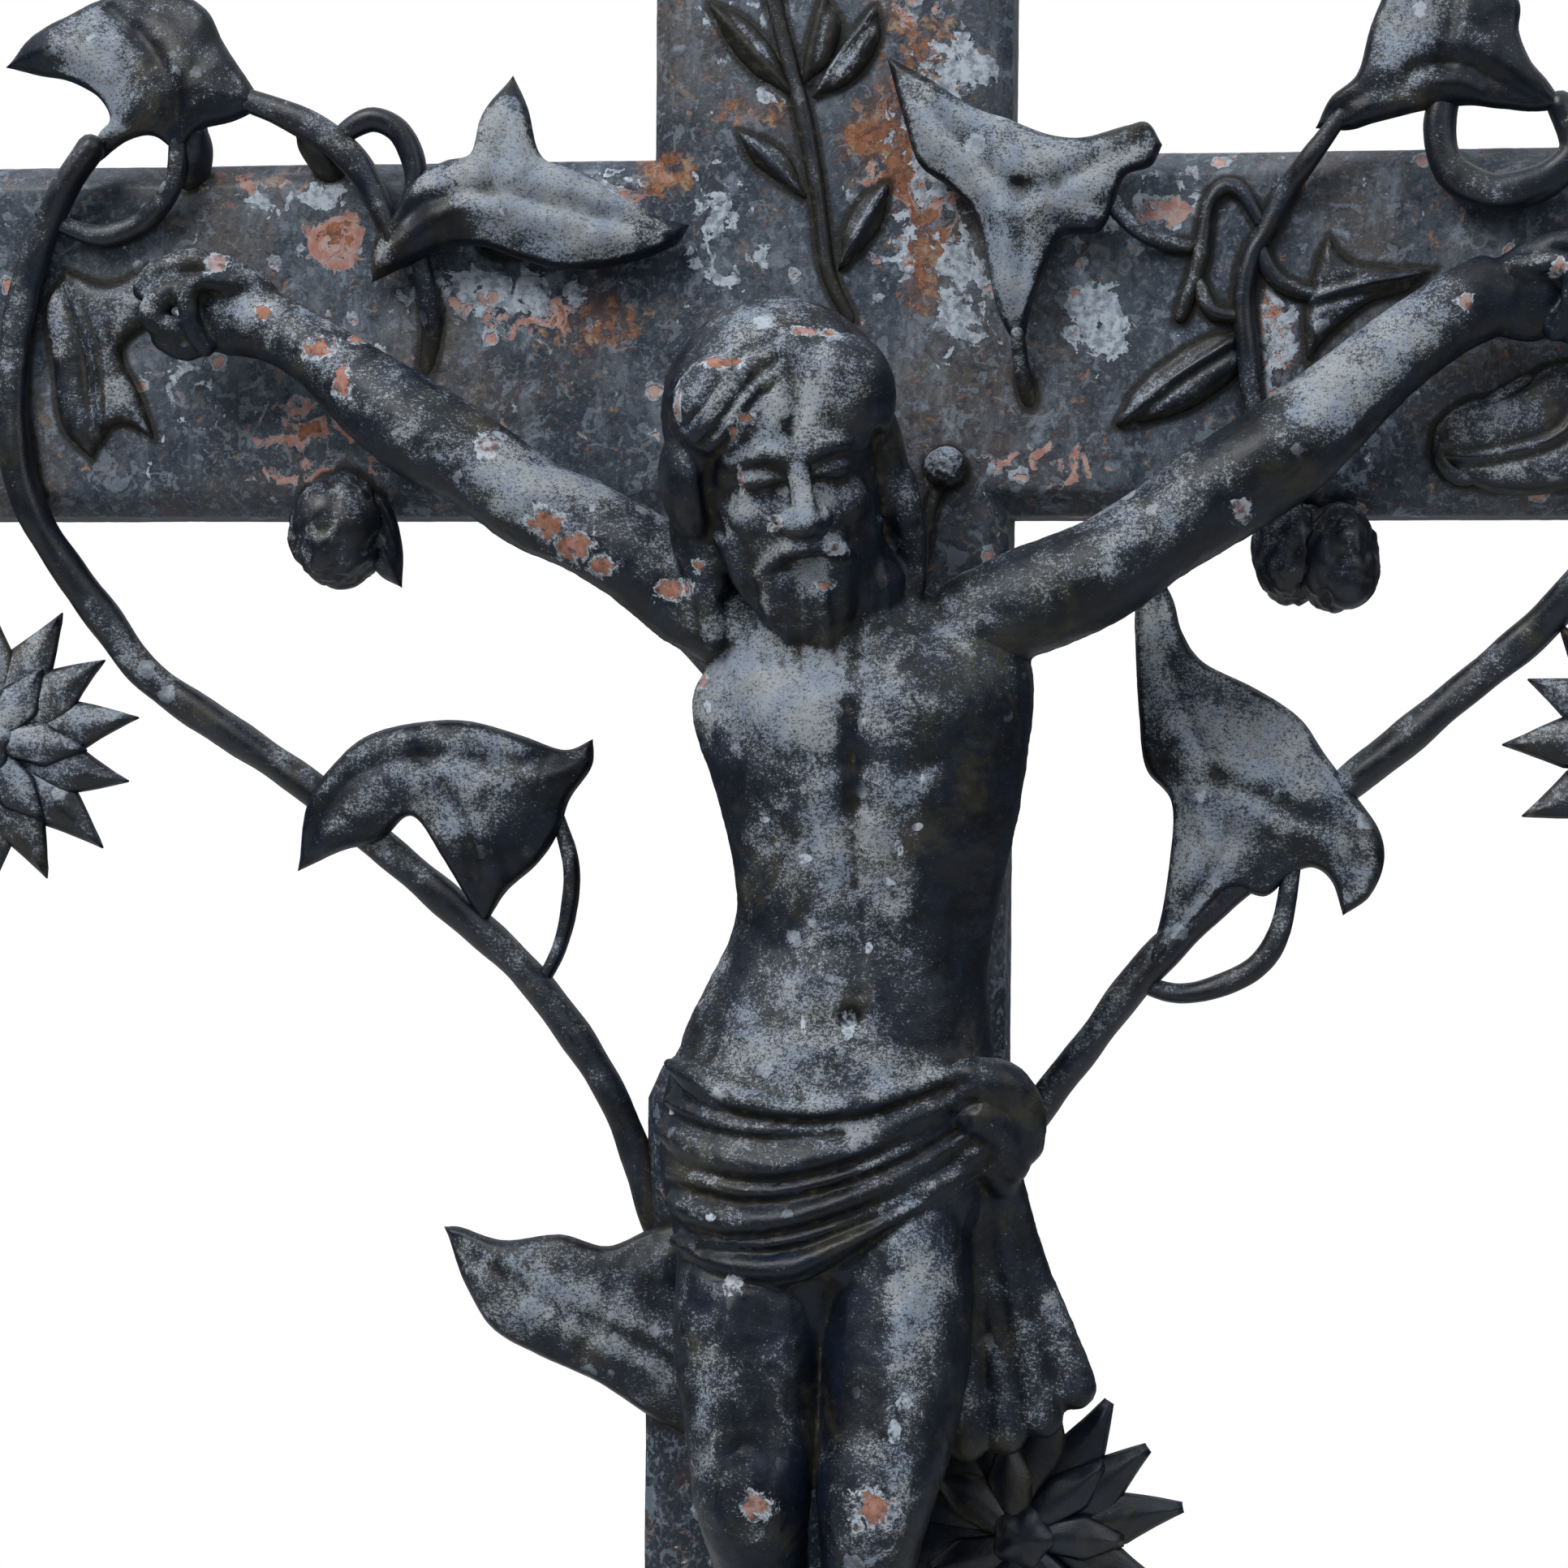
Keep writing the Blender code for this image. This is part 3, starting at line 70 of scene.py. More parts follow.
import bmesh
import bpy
import numpy as np
from bpy.props import FloatProperty, FloatVectorProperty, PointerProperty
from mathutils import Matrix, Vector, noise
from mathutils.bvhtree import BVHTree
from mathutils.geometry import delaunay_2d_cdt

# Foliage, all in hundredths of the plank's width
LEAF_THICKNESS = 4.0
LEAF_CROWN = 4.5
RIB_DEPTH = 1.4
RIB_WIDTH = 2.6
VINE_RADIUS = 5.0
STEM_RADIUS = 3.2
TENDRIL_RADIUS = 2.4
PETALS = 14
FLOWER_RADIUS = 44.0

FOOT_TOP = 0.102
SLAB_CORNER = 0.012
BLOCK_CORNER = 0.009
JOINT_GROOVE = 0.0012
SEAT_CLEARANCE = 0.0006
GAP = 0.0003

# Fineness of the pieces: planks and clay in metres, leaves in hundredths of the plank's width
PLANK_SPACING = 0.0019
LEAF_SPACING = 1.05
LOW_LEAF_SPACING = 1.0
LEAF_EDGE = 1.7
CLAY_GRAIN = 0.00095
FIGURE_TRIANGLES = 190000

# Wear of each skin: depth and scale of the slow wear, then of the fine cast grain
WEAR = {
    "planks": (0.00030, 28, 0.00012, 330),
    "leaf": (0.00012, 90, 0.00010, 420),
    "relief": (0.00010, 110, 0.00008, 420),
    "vine": (0.00012, 100, 0.00008, 420),
    "flower": (0.00012, 120, 0.00008, 420),
    "foot": (0.00030, 24, 0.00010, 330),
}
# How far from a seam painted shade and dirt settle on a piece
SEAM_REACH = {"planks": 0.0026, "corpus_figure": 0.004, "foot": 0.006, "growth": 0.0035}
# How much pale bloom lies on the small growth
GROWTH_BLOOM = {"relief_paint": 0.02, "vine_paint": -0.10, "bud_paint": 0.18, "flower_paint": 0.0,
                "dark_flower_paint": -0.60}
DARK_FLOWER = "flower_foot"
PETAL_TIP = 0.3
DARK_PETAL_TIP = 1.6

# The way towards the key light, upper left and towards the viewer: the pale bloom lies thickest on faces turned to it,
# a painted lit side
LIGHT_WAY = (-0.17, -0.70, 0.69)

# Modelling of the free leaves: strokes as width, rise and a line
LEAF_MODELLING = {
    "upper_left": [(3.5, 1.2, [(-225, 80), (-212, 80), (-200, 72)]), (3.0, -1.2, [(-172, 84), (-180, 70), (-184, 56)]),
                   (2.5, 0.9, [(-196, 92), (-200, 78), (-206, 62)])],
    "mid_left": [(3.2, -1.5, [(-112, 44), (-114, 34), (-116, 22)]), (3.4, 1.5, [(-103, 46), (-104, 36), (-106, 27)]),
                 (2.2, 1.3, [(-88, 66), (-86, 54), (-83, 46)]), (2.6, -0.9, [(-60, 33), (-70, 27), (-84, 24)]),
                 (2.8, 0.9, [(-50, 30), (-64, 37), (-78, 42)])],
    "mid_right": [(3.2, 1.4, [(30, 64), (44, 54), (58, 46)]), (2.6, -1.2, [(60, 46), (66, 36), (76, 33)]),
                  (3.2, 1.6, [(49, 30), (50, 16), (52, 4)]), (3.0, 1.2, [(60, 30), (59, 18), (56, 6)]),
                  (2.4, -1.0, [(34, 48), (40, 38), (46, 26)])],
    "upper_right": [(3.2, 1.2, [(145, 58), (156, 66), (172, 62)]), (2.8, -1.2, [(184, 84), (176, 74), (180, 60)]),
                    (2.6, 1.0, [(160, 96), (160, 84), (156, 72)])],
    "lower_right": [(3.0, -1.8, [(128, -110), (134, -109), (141, -113), (146, -121)]),
                    (3.6, 1.6, [(112, -104), (118, -114), (122, -126)]),
                    (3.2, 1.4, [(100, -120), (102, -136), (98, -152)]),
                    (2.6, -1.2, [(120, -150), (114, -140), (112, -128)])],
    "lower_left": [(3.4, 1.6, [(-140, -142), (-126, -132), (-112, -124)]),
                   (3.0, -1.3, [(-112, -108), (-108, -118), (-106, -132)]),
                   (3.2, 1.5, [(-92, -150), (-98, -138), (-104, -126)]),
                   (3.0, 1.2, [(-84, -114), (-92, -124), (-100, -130)])],
    "foot": [(3.0, 1.2, [(-96, -262), (-74, -270), (-52, -276)]), (2.6, -1.2, [(-48, -250), (-58, -264), (-66, -282)]),
             (3.0, 1.2, [(-44, -256), (-40, -272), (-36, -292)])],
}

# Necks that carry raised leaves: the leaf, then the spot, reach and front of its neck
LEAF_NECKS = {"mid_left": ((-88, 33), 12, 2), "mid_right": ((52, 36), 11, 2), "foot": ((-42, -275), 8, -4)}

# Lines of the closed eyes, brow and mouth on the head's front: width, rise and a line
FACE_LINES = [
    (0.16, -0.20, [(-3.0, -0.35), (-2.0, -0.62), (-0.9, -0.30)]),
    (0.16, -0.20, [(3.0, -0.35), (2.0, -0.62), (0.9, -0.30)]),
    (0.30, 0.14, [(-3.0, 0.10), (-2.0, 0.32), (-0.9, 0.05)]),
    (0.30, 0.14, [(3.0, 0.10), (2.0, 0.32), (0.9, 0.05)]),
    (0.22, -0.32, [(-1.25, -4.25), (0.0, -4.35), (1.25, -4.25)]),
]

# How strongly the figure's anatomy is carved, and further soft modelling of the figure
CARVING = 0.55
FIGURE_MODELLING = [(0.45, -0.30, [(2.6, -21.4), (2.9, -26.0), (3.0, -31.0)]),
                    (0.55, -0.30, [(1.9, -52.6), (1.9, -58.0), (1.8, -66.0)]),
                    (0.50, -0.22, [(-2.4, -76.0), (-1.2, -82.0)]), (0.50, 0.25, [(-3.4, -54.0), (-3.2, -61.0)]),
                    (0.50, 0.25, [(6.0, -54.0), (5.4, -61.0)])]

# Grooves of the hair on the head's front, in the head's own frame: width, rise and a line
HAIR_GROOVES = [
    (0.22, -0.26, [(-0.2, 6.2), (-2.6, 4.9), (-4.9, 2.2)]), (0.20, -0.24, [(0.0, 7.2), (-3.2, 6.0), (-5.8, 3.2)]),
    (0.20, -0.20, [(-0.4, 5.2), (-2.2, 4.0), (-4.2, 1.4)]), (0.55, -0.55, [(0.4, 5.6), (0.5, 3.9), (-0.2, 2.6)]),
    (0.35, -0.40, [(-4.4, 1.0), (-4.8, -0.6), (-4.6, -3.2)]), (0.35, -0.40, [(4.5, 1.4), (4.8, -0.8), (4.5, -3.6)]),
]

# Chipped spots on the figure: across, up, forward, reach across, up and forward, and how much of it is bare
CHIPS = [
    (-31.5, 0.9, 4.5, 0.45, 0.40, 4, 1), (-28.0, -1.3, 5.5, 0.95, 0.50, 4, 1), (-26.4, -3.4, 6.5, 0.45, 0.85, 4, 1),
    (-26.0, -0.6, 6.0, 0.35, 0.30, 4, 1), (-34.6, 3.8, 4.5, 0.55, 0.45, 4, 0.6), (-17.9, -7.0, 8, 0.50, 0.55, 4, 0.3),
    (-14.4, -11.3, 8, 0.9, 0.75, 5, 1), (-12.9, -12.5, 8, 0.9, 0.7, 5, 1), (-11.3, -13.6, 8, 0.7, 0.5, 5, 1),
    (-7.2, -15.0, 9, 0.9, 0.45, 4, 1), (-5.6, -13.7, 9, 0.35, 0.3, 3, 1), (-5.9, -19.9, 10, 0.4, 0.4, 4, 0.8),
    (-5.4, -21.4, 10, 0.24, 0.3, 4, 0), (23.6, -10.6, 8, 0.45, 0.50, 4, 0.35), (11.4, -7.6, 8, 0.3, 0.25, 4, 0),
    (35.6, 0.9, 5, 0.4, 0.4, 4, 0.7), (40.6, 2.8, 5, 0.45, 0.4, 4, 0.7), (-3.5, -3.3, 15, 0.95, 0.30, 4, 1),
    (-2.2, -6.2, 17, 0.40, 0.22, 3, 1), (-2.9, -7.0, 17, 0.22, 0.40, 3, 1), (-2.7, -9.6, 17, 0.16, 0.70, 3, 1),
    (-0.9, -11.6, 17, 0.45, 0.40, 3, 1), (-5.9, -5.3, 13, 0.22, 0.85, 4, 0.7), (0.6, -1.4, 14, 0.6, 0.2, 4, 0.9),
    (1.8, -1.5, 14, 0.4, 0.2, 4, 0.8), (1.7, -14.9, 15, 0.45, 0.25, 3, 0.8), (2.4, -13.0, 15, 0.5, 0.3, 3, 0.3),
    (0.3, -29.6, 9, 0.26, 0.16, 4, 0), (5.5, -29.0, 9, 0.20, 0.30, 4, 0), (6.4, -27.8, 9, 0.28, 0.14, 4, 0),
    (6.8, -25.4, 9, 0.12, 0.34, 4, 0), (-1.9, -27.5, 9, 0.24, 0.13, 4, 0), (4.9, -30.8, 9, 0.26, 0.18, 4, 0),
    (3.8, -34.4, 9, 0.16, 0.22, 4, 0), (2.8, -38.5, 9, 0.30, 0.62, 4, 0), (0.4, -38.6, 9, 0.12, 0.42, 4, 0),
    (-3.3, -52.7, 12, 0.45, 0.45, 4, 0.15), (-4.6, -49.1, 12, 0.22, 0.16, 4, 0), (6.2, -58.5, 12, 0.3, 0.35, 4, 0),
    (5.8, -60.1, 12, 0.3, 0.4, 4, 0), (-1.7, -64.2, 12, 0.70, 0.60, 4, 0.8), (4.7, -64.3, 12, 1.0, 0.9, 4, 1),
    (-7.2, -43.6, 12, 0.2, 0.16, 4, 0), (0.4, -81, 8, 0.35, 0.7, 4, 1), (3.4, -70.6, 11, 0.4, 0.6, 4, 0.8),
    (-2.6, -88.2, 7, 0.45, 0.4, 4, 0.8),
]

# Where the figure carries more bloom or less, with painted highlights down the thighs and painted shade on the right
# flank: across, up, reach across and up, and how much
FIGURE_BLOOM_AND_LIGHT = [(31, -3, 8, 5, 0.45), (15, -13, 6, 4, 0.0), (-1, -20, 7, 5, 0.50), (5, -20, 6, 4, 0.40),
                (2.6, -28, 6, 7, 0.40), (-20, -8, 9, 5, 0.25), (-29, -1.5, 5, 3.5, -0.15),
                (-1, -10, 4.5, 7, 0.45), (1.6, -5.5, 2.8, 3.4, 0.3), (1.6, -12, 2.2, 4, 0.5),
                (2, -37, 8, 5, 0.10), (8.6, -30, 2.6, 9, -0.45), (-3, -56, 5, 9, -0.15), (6.4, -56, 1.6, 8, 0.40),
                (1.8, -58, 2.2, 10, -0.4), (-4.6, -58, 1.4, 8, 0.40), (1, -47, 9, 5, 0.05), (11, -52, 3, 9, -0.25),
                (-5.2, -44, 2.4, 5, 0.25), (2.9, -22, 0.7, 7, -0.5)]

# Where the free leaves carry more bloom or less, with painted light on lit lobes and painted shade on bent-back ones,
# in hundredths of the plank's width, and over each leaf
LEAF_BLOOM_AND_LIGHT = {
    "upper_left": (-0.30, [(-207, 68, 15, 24, 0.90), (-232, 78, 14, 10, -0.3)]),
    "mid_left": (0.45, [(-80, 40, 34, 14, 0.50), (-89, 74, 12, 14, -0.7),
                        (-110, 28, 12, 13, -0.9), (-44, 30, 10, 8, -0.4)]),
    "mid_right": (0.20, [(54, 38, 24, 12, 0.35), (51, 10, 10, 18, 0.60),
                         (28, 66, 14, 10, -0.1), (86, 54, 12, 8, -0.2)]),
    "upper_right": (-0.35, [(156, 80, 16, 22, 0.60), (172, 66, 12, 14, 0.1)]),
    "lower_right": (0.32, [(108, -125, 18, 24, 0.45), (140, -118, 16, 10, 0.2), (95, -85, 10, 24, -0.1)]),
    "lower_left": (-0.08, [(-104, -128, 26, 14, 0.35)]),
    "foot": (0.05, [(-66, -272, 22, 12, 0.50), (-96, -260, 14, 12, -0.2)]),
}

# Where the planks' paint is gone: middle across and up, reach across and up, how much
PALE_WEAR = [(-94, 12, 36, 9, 0.50), (-60, 42, 14, 6, 0.4), (74, 3, 12, 14, 0.55), (92, 33, 12, 8, 0.4),
             (-2, 72, 8, 6, 0.5), (33, 74, 16, 12, 0.5), (36, 11, 10, 22, 0.5), (-150, 40, 24, 8, 0.35),
             (122, -5, 9, 22, 0.5), (-190, -20, 20, 30, 0.2), (20, 120, 16, 30, 0.35), (30, -230, 20, 60, 0.15),
             (28, 40, 22, 34, 0.34), (-30, 20, 14, 30, 0.28), (-20, 90, 18, 40, 0.26), (84, 36, 30, 12, 0.30)]
PINK_WEAR = [(-140, 28, 13, 11, 0.55), (-160, 45, 28, 6, 0.35), (-57, 38, 8, 6, 0.55), (92, 33, 11, 6, 0.5),
             (26, 30, 12, 28, 0.35), (120, 2, 10, 14, 0.35), (-96, 8, 26, 6, 0.25), (22, 100, 20, 30, 0.3),
             (60, -36, 26, 8, 0.3), (-150, -40, 20, 8, 0.25), (30, -260, 14, 40, 0.3), (-30, 150, 12, 40, 0.3),
             (-110, -30, 30, 14, 0.34), (-146, -24, 22, 10, 0.40), (24, 50, 22, 40, 0.30), (-78, 4, 14, 12, 0.34)]
RUST_WEAR = [(-140, 28, 9, 8, 0.52), (-46, 45, 13, 9, 0.60), (14, 54, 16, 9, 0.58), (20, 46, 8, 12, 0.58),
             (27, 26, 9, 15, 0.55), (26, 12, 8, 10, 0.55), (-160, 46, 26, 4, 0.36), (16, 100, 12, 30, 0.42),
             (122, 2, 8, 20, 0.42), (-20, 62, 18, 8, 0.4), (36, -215, 10, 30, 0.30), (8, 150, 16, 22, 0.40),
             (-147, -26, 7, 5, 0.50), (-70, 2, 22, 12, 0.34), (24, 60, 20, 50, 0.40)]

# The left edge of the upright draws in behind the figure's chest
WAIST = [(-50, -73), (-46, -83), (-40, -89), (-32, -98), (-27, -109), (-24, -123), (-23, -145), (-23, -166),
         (-26, -178), (-31, -189), (-39, -197), (-46, -203), (-50, -212)]

# Leaves that stand clear of the planks: forward place, sides between sharp tips, ribs, lifts of single spots
FREE_LEAVES = {
    "upper_left": (
        10,
        [[(-235, 77), (-227, 85), (-215, 91), (-201, 97), (-187, 98), (-176, 92), (-171, 83), (-164, 73),
          (-158, 64)],
         [(-158, 64), (-167, 60), (-175, 58), (-179, 55), (-183, 51)],
         [(-183, 51), (-190, 56), (-198, 55), (-209, 49)],
         [(-209, 49), (-207, 57), (-203, 61), (-206, 67), (-215, 72), (-224, 74), (-235, 77)]],
        [[(-183, 51), (-183, 64), (-186, 73), (-192, 82), (-203, 92)]],
        [(-235, 77, -5, 16), (-209, 49, -5, 10), (-188, 98, -6, 18)],
    ),
    "mid_left": (
        11,
        [[(-128, 15), (-127, 25), (-121, 33), (-114, 44), (-106, 48), (-99, 50), (-96, 61), (-88, 72)],
         [(-88, 72), (-83, 62), (-79, 49), (-70, 45), (-57, 38), (-46, 32), (-38, 30)],
         [(-38, 30), (-42, 24), (-55, 19), (-71, 17), (-84, 20), (-96, 24), (-107, 23), (-117, 19), (-128, 15)]],
        [[(-124, 25), (-112, 35), (-93, 39), (-71, 34), (-48, 29)], [(-93, 39), (-88, 58), (-88, 69)]],
        [(-88, 72, -4, 12), (-38, 28, -4, 14), (-128, 15, -5, 10)],
    ),
    "mid_right": (
        11,
        [[(16, 76), (28, 69), (40, 61), (51, 57), (61, 53), (71, 52), (82, 55), (88, 56), (92, 50)],
         [(92, 50), (89, 44), (82, 41), (79, 33), (75, 26), (65, 25), (61, 16), (57, 6), (54, -7)],
         [(54, -7), (48, 4), (45, 17), (42, 30), (35, 38), (26, 45), (22, 56), (16, 76)]],
        [[(18, 72), (30, 59), (41, 48), (54, 37), (70, 42), (87, 51)], [(54, 37), (54, 18), (54, -1)]],
        [(16, 76, -5, 14), (92, 50, -3, 10), (54, -7, -5, 12)],
    ),
    "upper_right": (
        10,
        [[(166, 108), (180, 98), (187, 87), (187, 79), (190, 71), (194, 66), (200, 58)],
         [(200, 58), (191, 57), (182, 58), (174, 59), (163, 58), (150, 55), (142, 53), (133, 54)],
         [(133, 54), (137, 62), (144, 68), (147, 79), (150, 87), (155, 98), (166, 108)]],
        [[(135, 56), (150, 63), (167, 70), (180, 66), (194, 59)], [(167, 70), (169, 87), (167, 104)]],
        [(166, 108, -6, 16), (133, 54, -3, 10)],
    ),
    "lower_right": (
        -5,
        [[(89, -62), (95, -72), (98, -82), (104, -90), (118, -97), (130, -105), (137, -115), (146, -127),
          (152, -136), (153, -145), (149, -154), (142, -159)],
         [(142, -159), (139, -150), (134, -146), (128, -148), (121, -154), (112, -152), (106, -157), (95, -170),
          (86, -180)],
         [(86, -180), (92, -162), (95, -142), (95, -128), (88, -119), (86, -104), (85, -87), (85, -73),
          (89, -62)]],
        [[(90, -69), (97, -98), (108, -122), (109, -142), (95, -166)],
         [(108, -122), (130, -131), (145, -139), (144, -155)]],
        [(142, -159, -3, 14), (89, -62, -2, 14)],
    ),
    "lower_left": (
        -1,
        [[(-151, -150), (-147, -130), (-140, -120), (-131, -112), (-118, -108), (-102, -107), (-86, -111),
          (-74, -115), (-66, -112)],
         [(-66, -112), (-66, -120), (-72, -129), (-75, -138), (-81, -147), (-90, -155), (-97, -165)],
         [(-97, -165), (-101, -158), (-108, -146), (-117, -134), (-126, -141), (-137, -144), (-151, -150)]],
        [[(-147, -144), (-134, -124), (-114, -117), (-90, -119), (-69, -115)],
         [(-114, -117), (-101, -135), (-97, -161)]],
        [(-151, -150, -5, 12), (-97, -165, -4, 14), (-66, -112, -3, 10)],
    ),
    "foot": (
        2,
        [[(-107, -249), (-102, -249), (-89, -252), (-73, -250), (-60, -253), (-48, -248), (-36, -244)],
         [(-36, -244), (-28, -267), (-28, -289), (-32, -309)],
         [(-32, -309), (-48, -300), (-62, -291), (-79, -284), (-92, -277), (-100, -265), (-107, -249)]],
        [[(-103, -253), (-82, -266), (-57, -276), (-36, -287)]],
        [(-107, -249, -4, 14), (-34, -306, -3, 16)],
    ),
}

# Leaves in low relief on the planks: sides between sharp tips, and ribs
LOW_LEAVES = {
    "by_hand": (
        [[(-218, 20), (-205, 16), (-194, 21)], [(-194, 21), (-192, 7), (-201, -3), (-195, -17), (-191, -29)],
         [(-191, -29), (-202, -24), (-210, -34)],
         [(-210, -34), (-219, -24), (-222, -5), (-224, 9), (-218, 20)]],
        [[(-217, 15), (-210, -3), (-207, -28)]],
    ),
    "sprig_1": ([[(-26, 57), (-17, 54), (-10, 48), (-5, 36)], [(-5, 36), (-15, 42), (-22, 48), (-26, 57)]],
                [[(-25, 56), (-7, 38)]]),
    "sprig_2": ([[(-35, 93), (-24, 88), (-15, 78), (-9, 65)], [(-9, 65), (-20, 71), (-29, 81), (-35, 93)]],
                [[(-33, 91), (-11, 67)]]),
    "sprig_3": ([[(17, 43), (16, 32), (10, 23), (2, 16)], [(2, 16), (4, 29), (9, 38), (17, 43)]],
                [[(16, 40), (4, 19)]]),
    "sprig_4": ([[(-2, 95), (3, 86), (0, 75), (-8, 68)], [(-8, 68), (-7, 81), (-2, 95)]], [[(-2, 92), (-7, 70)]]),
    "sprig_5": ([[(13, 92), (14, 81), (7, 70), (-6, 64)], [(-6, 64), (0, 75), (7, 85), (13, 92)]],
                [[(12, 89), (-5, 66)]]),
    "sprig_6": ([[(-44, 134), (-34, 126), (-26, 116), (-19, 104)], [(-19, 104), (-32, 110), (-40, 121), (-44, 134)]],
                [[(-42, 131), (-21, 106)]]),
    "sprig_7": ([[(6, 140), (4, 128), (-6, 116), (-18, 110)], [(-18, 110), (-14, 123), (-5, 134), (6, 140)]],
                [[(4, 137), (-16, 112)]]),
    "sprig_8": ([[(-20, 178), (-12, 164), (-14, 150), (-19, 140)], [(-19, 140), (-27, 152), (-28, 166), (-20, 178)]],
                [[(-20, 174), (-19, 143)]]),
    "ivy": (
        [[(137, 26), (140, 21), (146, 18), (166, 17)], [(166, 17), (158, 10), (148, 7), (138, -1), (131, -10)],
         [(131, -10), (130, 1), (131, 10), (134, 21), (137, 26)]],
        [[(131, 8), (146, 12), (161, 15)]],
    ),
    "right_arm": (
        [[(78, -27), (84, -16), (94, -7), (105, -1), (113, 1)],
         [(113, 1), (114, -10), (107, -17), (96, -23), (78, -27)]],
        [[(81, -25), (94, -14), (111, -3)]],
    ),
    "curled": (
        [[(164, -34), (166, -25), (174, -19), (184, -17), (195, -10), (208, -8)],
         [(208, -8), (217, -21), (213, -34), (203, -43)], [(203, -43), (190, -45), (177, -43), (164, -34)]],
        [[(168, -35), (183, -34), (200, -28), (207, -12)]],
    ),
    "bract": ([[(-134, -38), (-124, -46), (-120, -58), (-120, -70)],
               [(-120, -70), (-127, -66), (-133, -56), (-134, -38)]],
              [[(-131, -45), (-122, -65)]]),
}

# Stems and tendrils: radius, and the way from one end to the other as across, up, forward
STEMS = {
    "vine_left": (VINE_RADIUS, [
        (-208, 53, 9), (-216, 42, 8), (-223, 29, 5), (-229, 13, 3), (-232, -10, 3), (-231, -33, 3), (-226, -50, 2),
        (-217, -66, -3), (-207, -80, -7), (-195, -95, -9), (-171, -111, -9), (-150, -125, -9), (-124, -145, -9),
        (-104, -161, -9), (-87, -176, -9), (-73, -193, -9), (-61, -211, -9), (-53, -229, -9), (-48, -246, -9),
        (-41, -266, -9)]),
    "vine_right": (VINE_RADIUS, [
        (212, 38, 8), (219, 24, 5), (223, 7, 3), (224, -15, 3), (221, -37, 3), (215, -53, 1), (205, -67, -4),
        (195, -79, -8), (184, -89, -9), (171, -100, -9), (157, -112, -9), (143, -123, -9), (128, -137, -9),
        (108, -155, -9), (95, -168, -9), (85, -179, -9), (73, -195, -9), (62, -209, -9), (54, -222, -9),
        (46, -240, -9)]),
    "loop_left": (STEM_RADIUS, [
        (-183, 58, 8), (-184, 45, 7), (-189, 37, 5), (-196, 32, 3), (-206, 29, 3), (-215, 31, 4), (-223, 35, 5)]),
    "stem_left": (STEM_RADIUS + 1.1, [
        (-164, 66, 8), (-153, 62, 8), (-141, 56, 8), (-132, 48, 7), (-126, 38, 7), (-121, 26, 8)]),
    "loop_small": (STEM_RADIUS + 0.2, [
        (-139, 52, 7), (-134, 57, 8), (-127, 60, 8), (-120, 57, 8), (-116, 50, 8), (-115, 42, 8), (-118, 32, 8)]),
    "strut_left": (VINE_RADIUS + 0.6, [(-179, 57, 6), (-183, 45, -4)]),
    "strut_mid": (VINE_RADIUS, [(-146, 57, 5), (-141, 46, -5)]),
    "ridge": (STEM_RADIUS, [(-114, 22, 6), (-112, 3, 0), (-114, -13, -3)]),
    "stalk_right": (TENDRIL_RADIUS, [(76, 36, 8), (85, 27, 6), (92, 24, 3), (102, 23, -1)]),
    "tip_right": (TENDRIL_RADIUS, [(53, -1, 8), (54, -11, 2), (56, -20, -2)]),
    "stem_right": (STEM_RADIUS, [
        (140, 57, 8), (131, 45, 6), (125, 37, 2), (120, 27, 1), (116, 20, 1), (114, 9, 1), (115, -5, 1),
        (117, -21, 1), (122, -34, 1), (129, -50, 2)]),
    "shoot_right": (TENDRIL_RADIUS, [(117, 25, 1), (123, 14, 1), (134, 9, 1)]),
    "arch_right": (TENDRIL_RADIUS, [(97, 4, 0), (102, 19, 1), (104, 33, 1), (108, 39, 1), (113, 38, 1), (118, 30, 1)]),
    "arch_foot": (TENDRIL_RADIUS, [(101, 15, 0), (105, 6, 1), (111, 4, 1), (115, 5, 1)]),
    "ring_right": (VINE_RADIUS, [
        (168, 64, 7), (166, 55, 7), (167, 46, 7), (171, 40, 7), (180, 36, 7), (189, 37, 7), (197, 41, 7),
        (202, 48, 7), (198, 59, 8)]),
    "loop_leaf_right": (STEM_RADIUS, [
        (128, -146, -8), (125, -163, -8), (119, -173, -8), (108, -179, -9), (97, -181, -9), (86, -178, -9)]),
    "tie_leaf_right": (STEM_RADIUS, [(92, -80, -7), (90, -62, -8), (91, -44, -9)]),
    "loop_leaf_left": (TENDRIL_RADIUS, [
        (-76, -132, -4), (-72, -147, -6), (-73, -160, -8), (-76, -171, -9), (-81, -181, -9)]),
    "sprig": (TENDRIL_RADIUS, [
        (6, 4, -1), (0, 17, 0), (-3, 38, 0), (-7, 59, 0), (-11, 74, 0), (-15, 89, 0), (-18, 106, 0), (-20, 126, 0),
        (-19, 144, -1)]),
    "berry_stem": (1.8, [(26, -63, 0), (28, -53, 0), (30, -45, 0), (33, -38, 1)]),
    "curl": (TENDRIL_RADIUS, [
        (190, -14, 2), (179, -21, 2), (170, -29, 2), (167, -35, 2), (173, -40, 1), (182, -37, 1), (191, -36, 1),
        (203, -39, 0)]),
}

# Buds and berries: middle as across, up, forward, then half width, half height, half depth
BUDS = {
    "bud_left": ((-138, -54, 1), (14.5, 17, 13)),
    "bud_right_inner": ((128, -60, -1), (12, 15, 11)),
    "bud_right_outer": ((140, -62, 1), (12.5, 15.5, 12)),
    "berry": ((33, -37, 2), (6, 6, 6)),
}

# Flowers: middle as across, up, forward, and the turn of the first petal in degrees
FLOWERS = {
    "flower_left": ((-241, -115, -4), 12),
    "flower_right": ((228, -113, -4), 0),
    "flower_foot": ((57, -329, 2), 8),
}

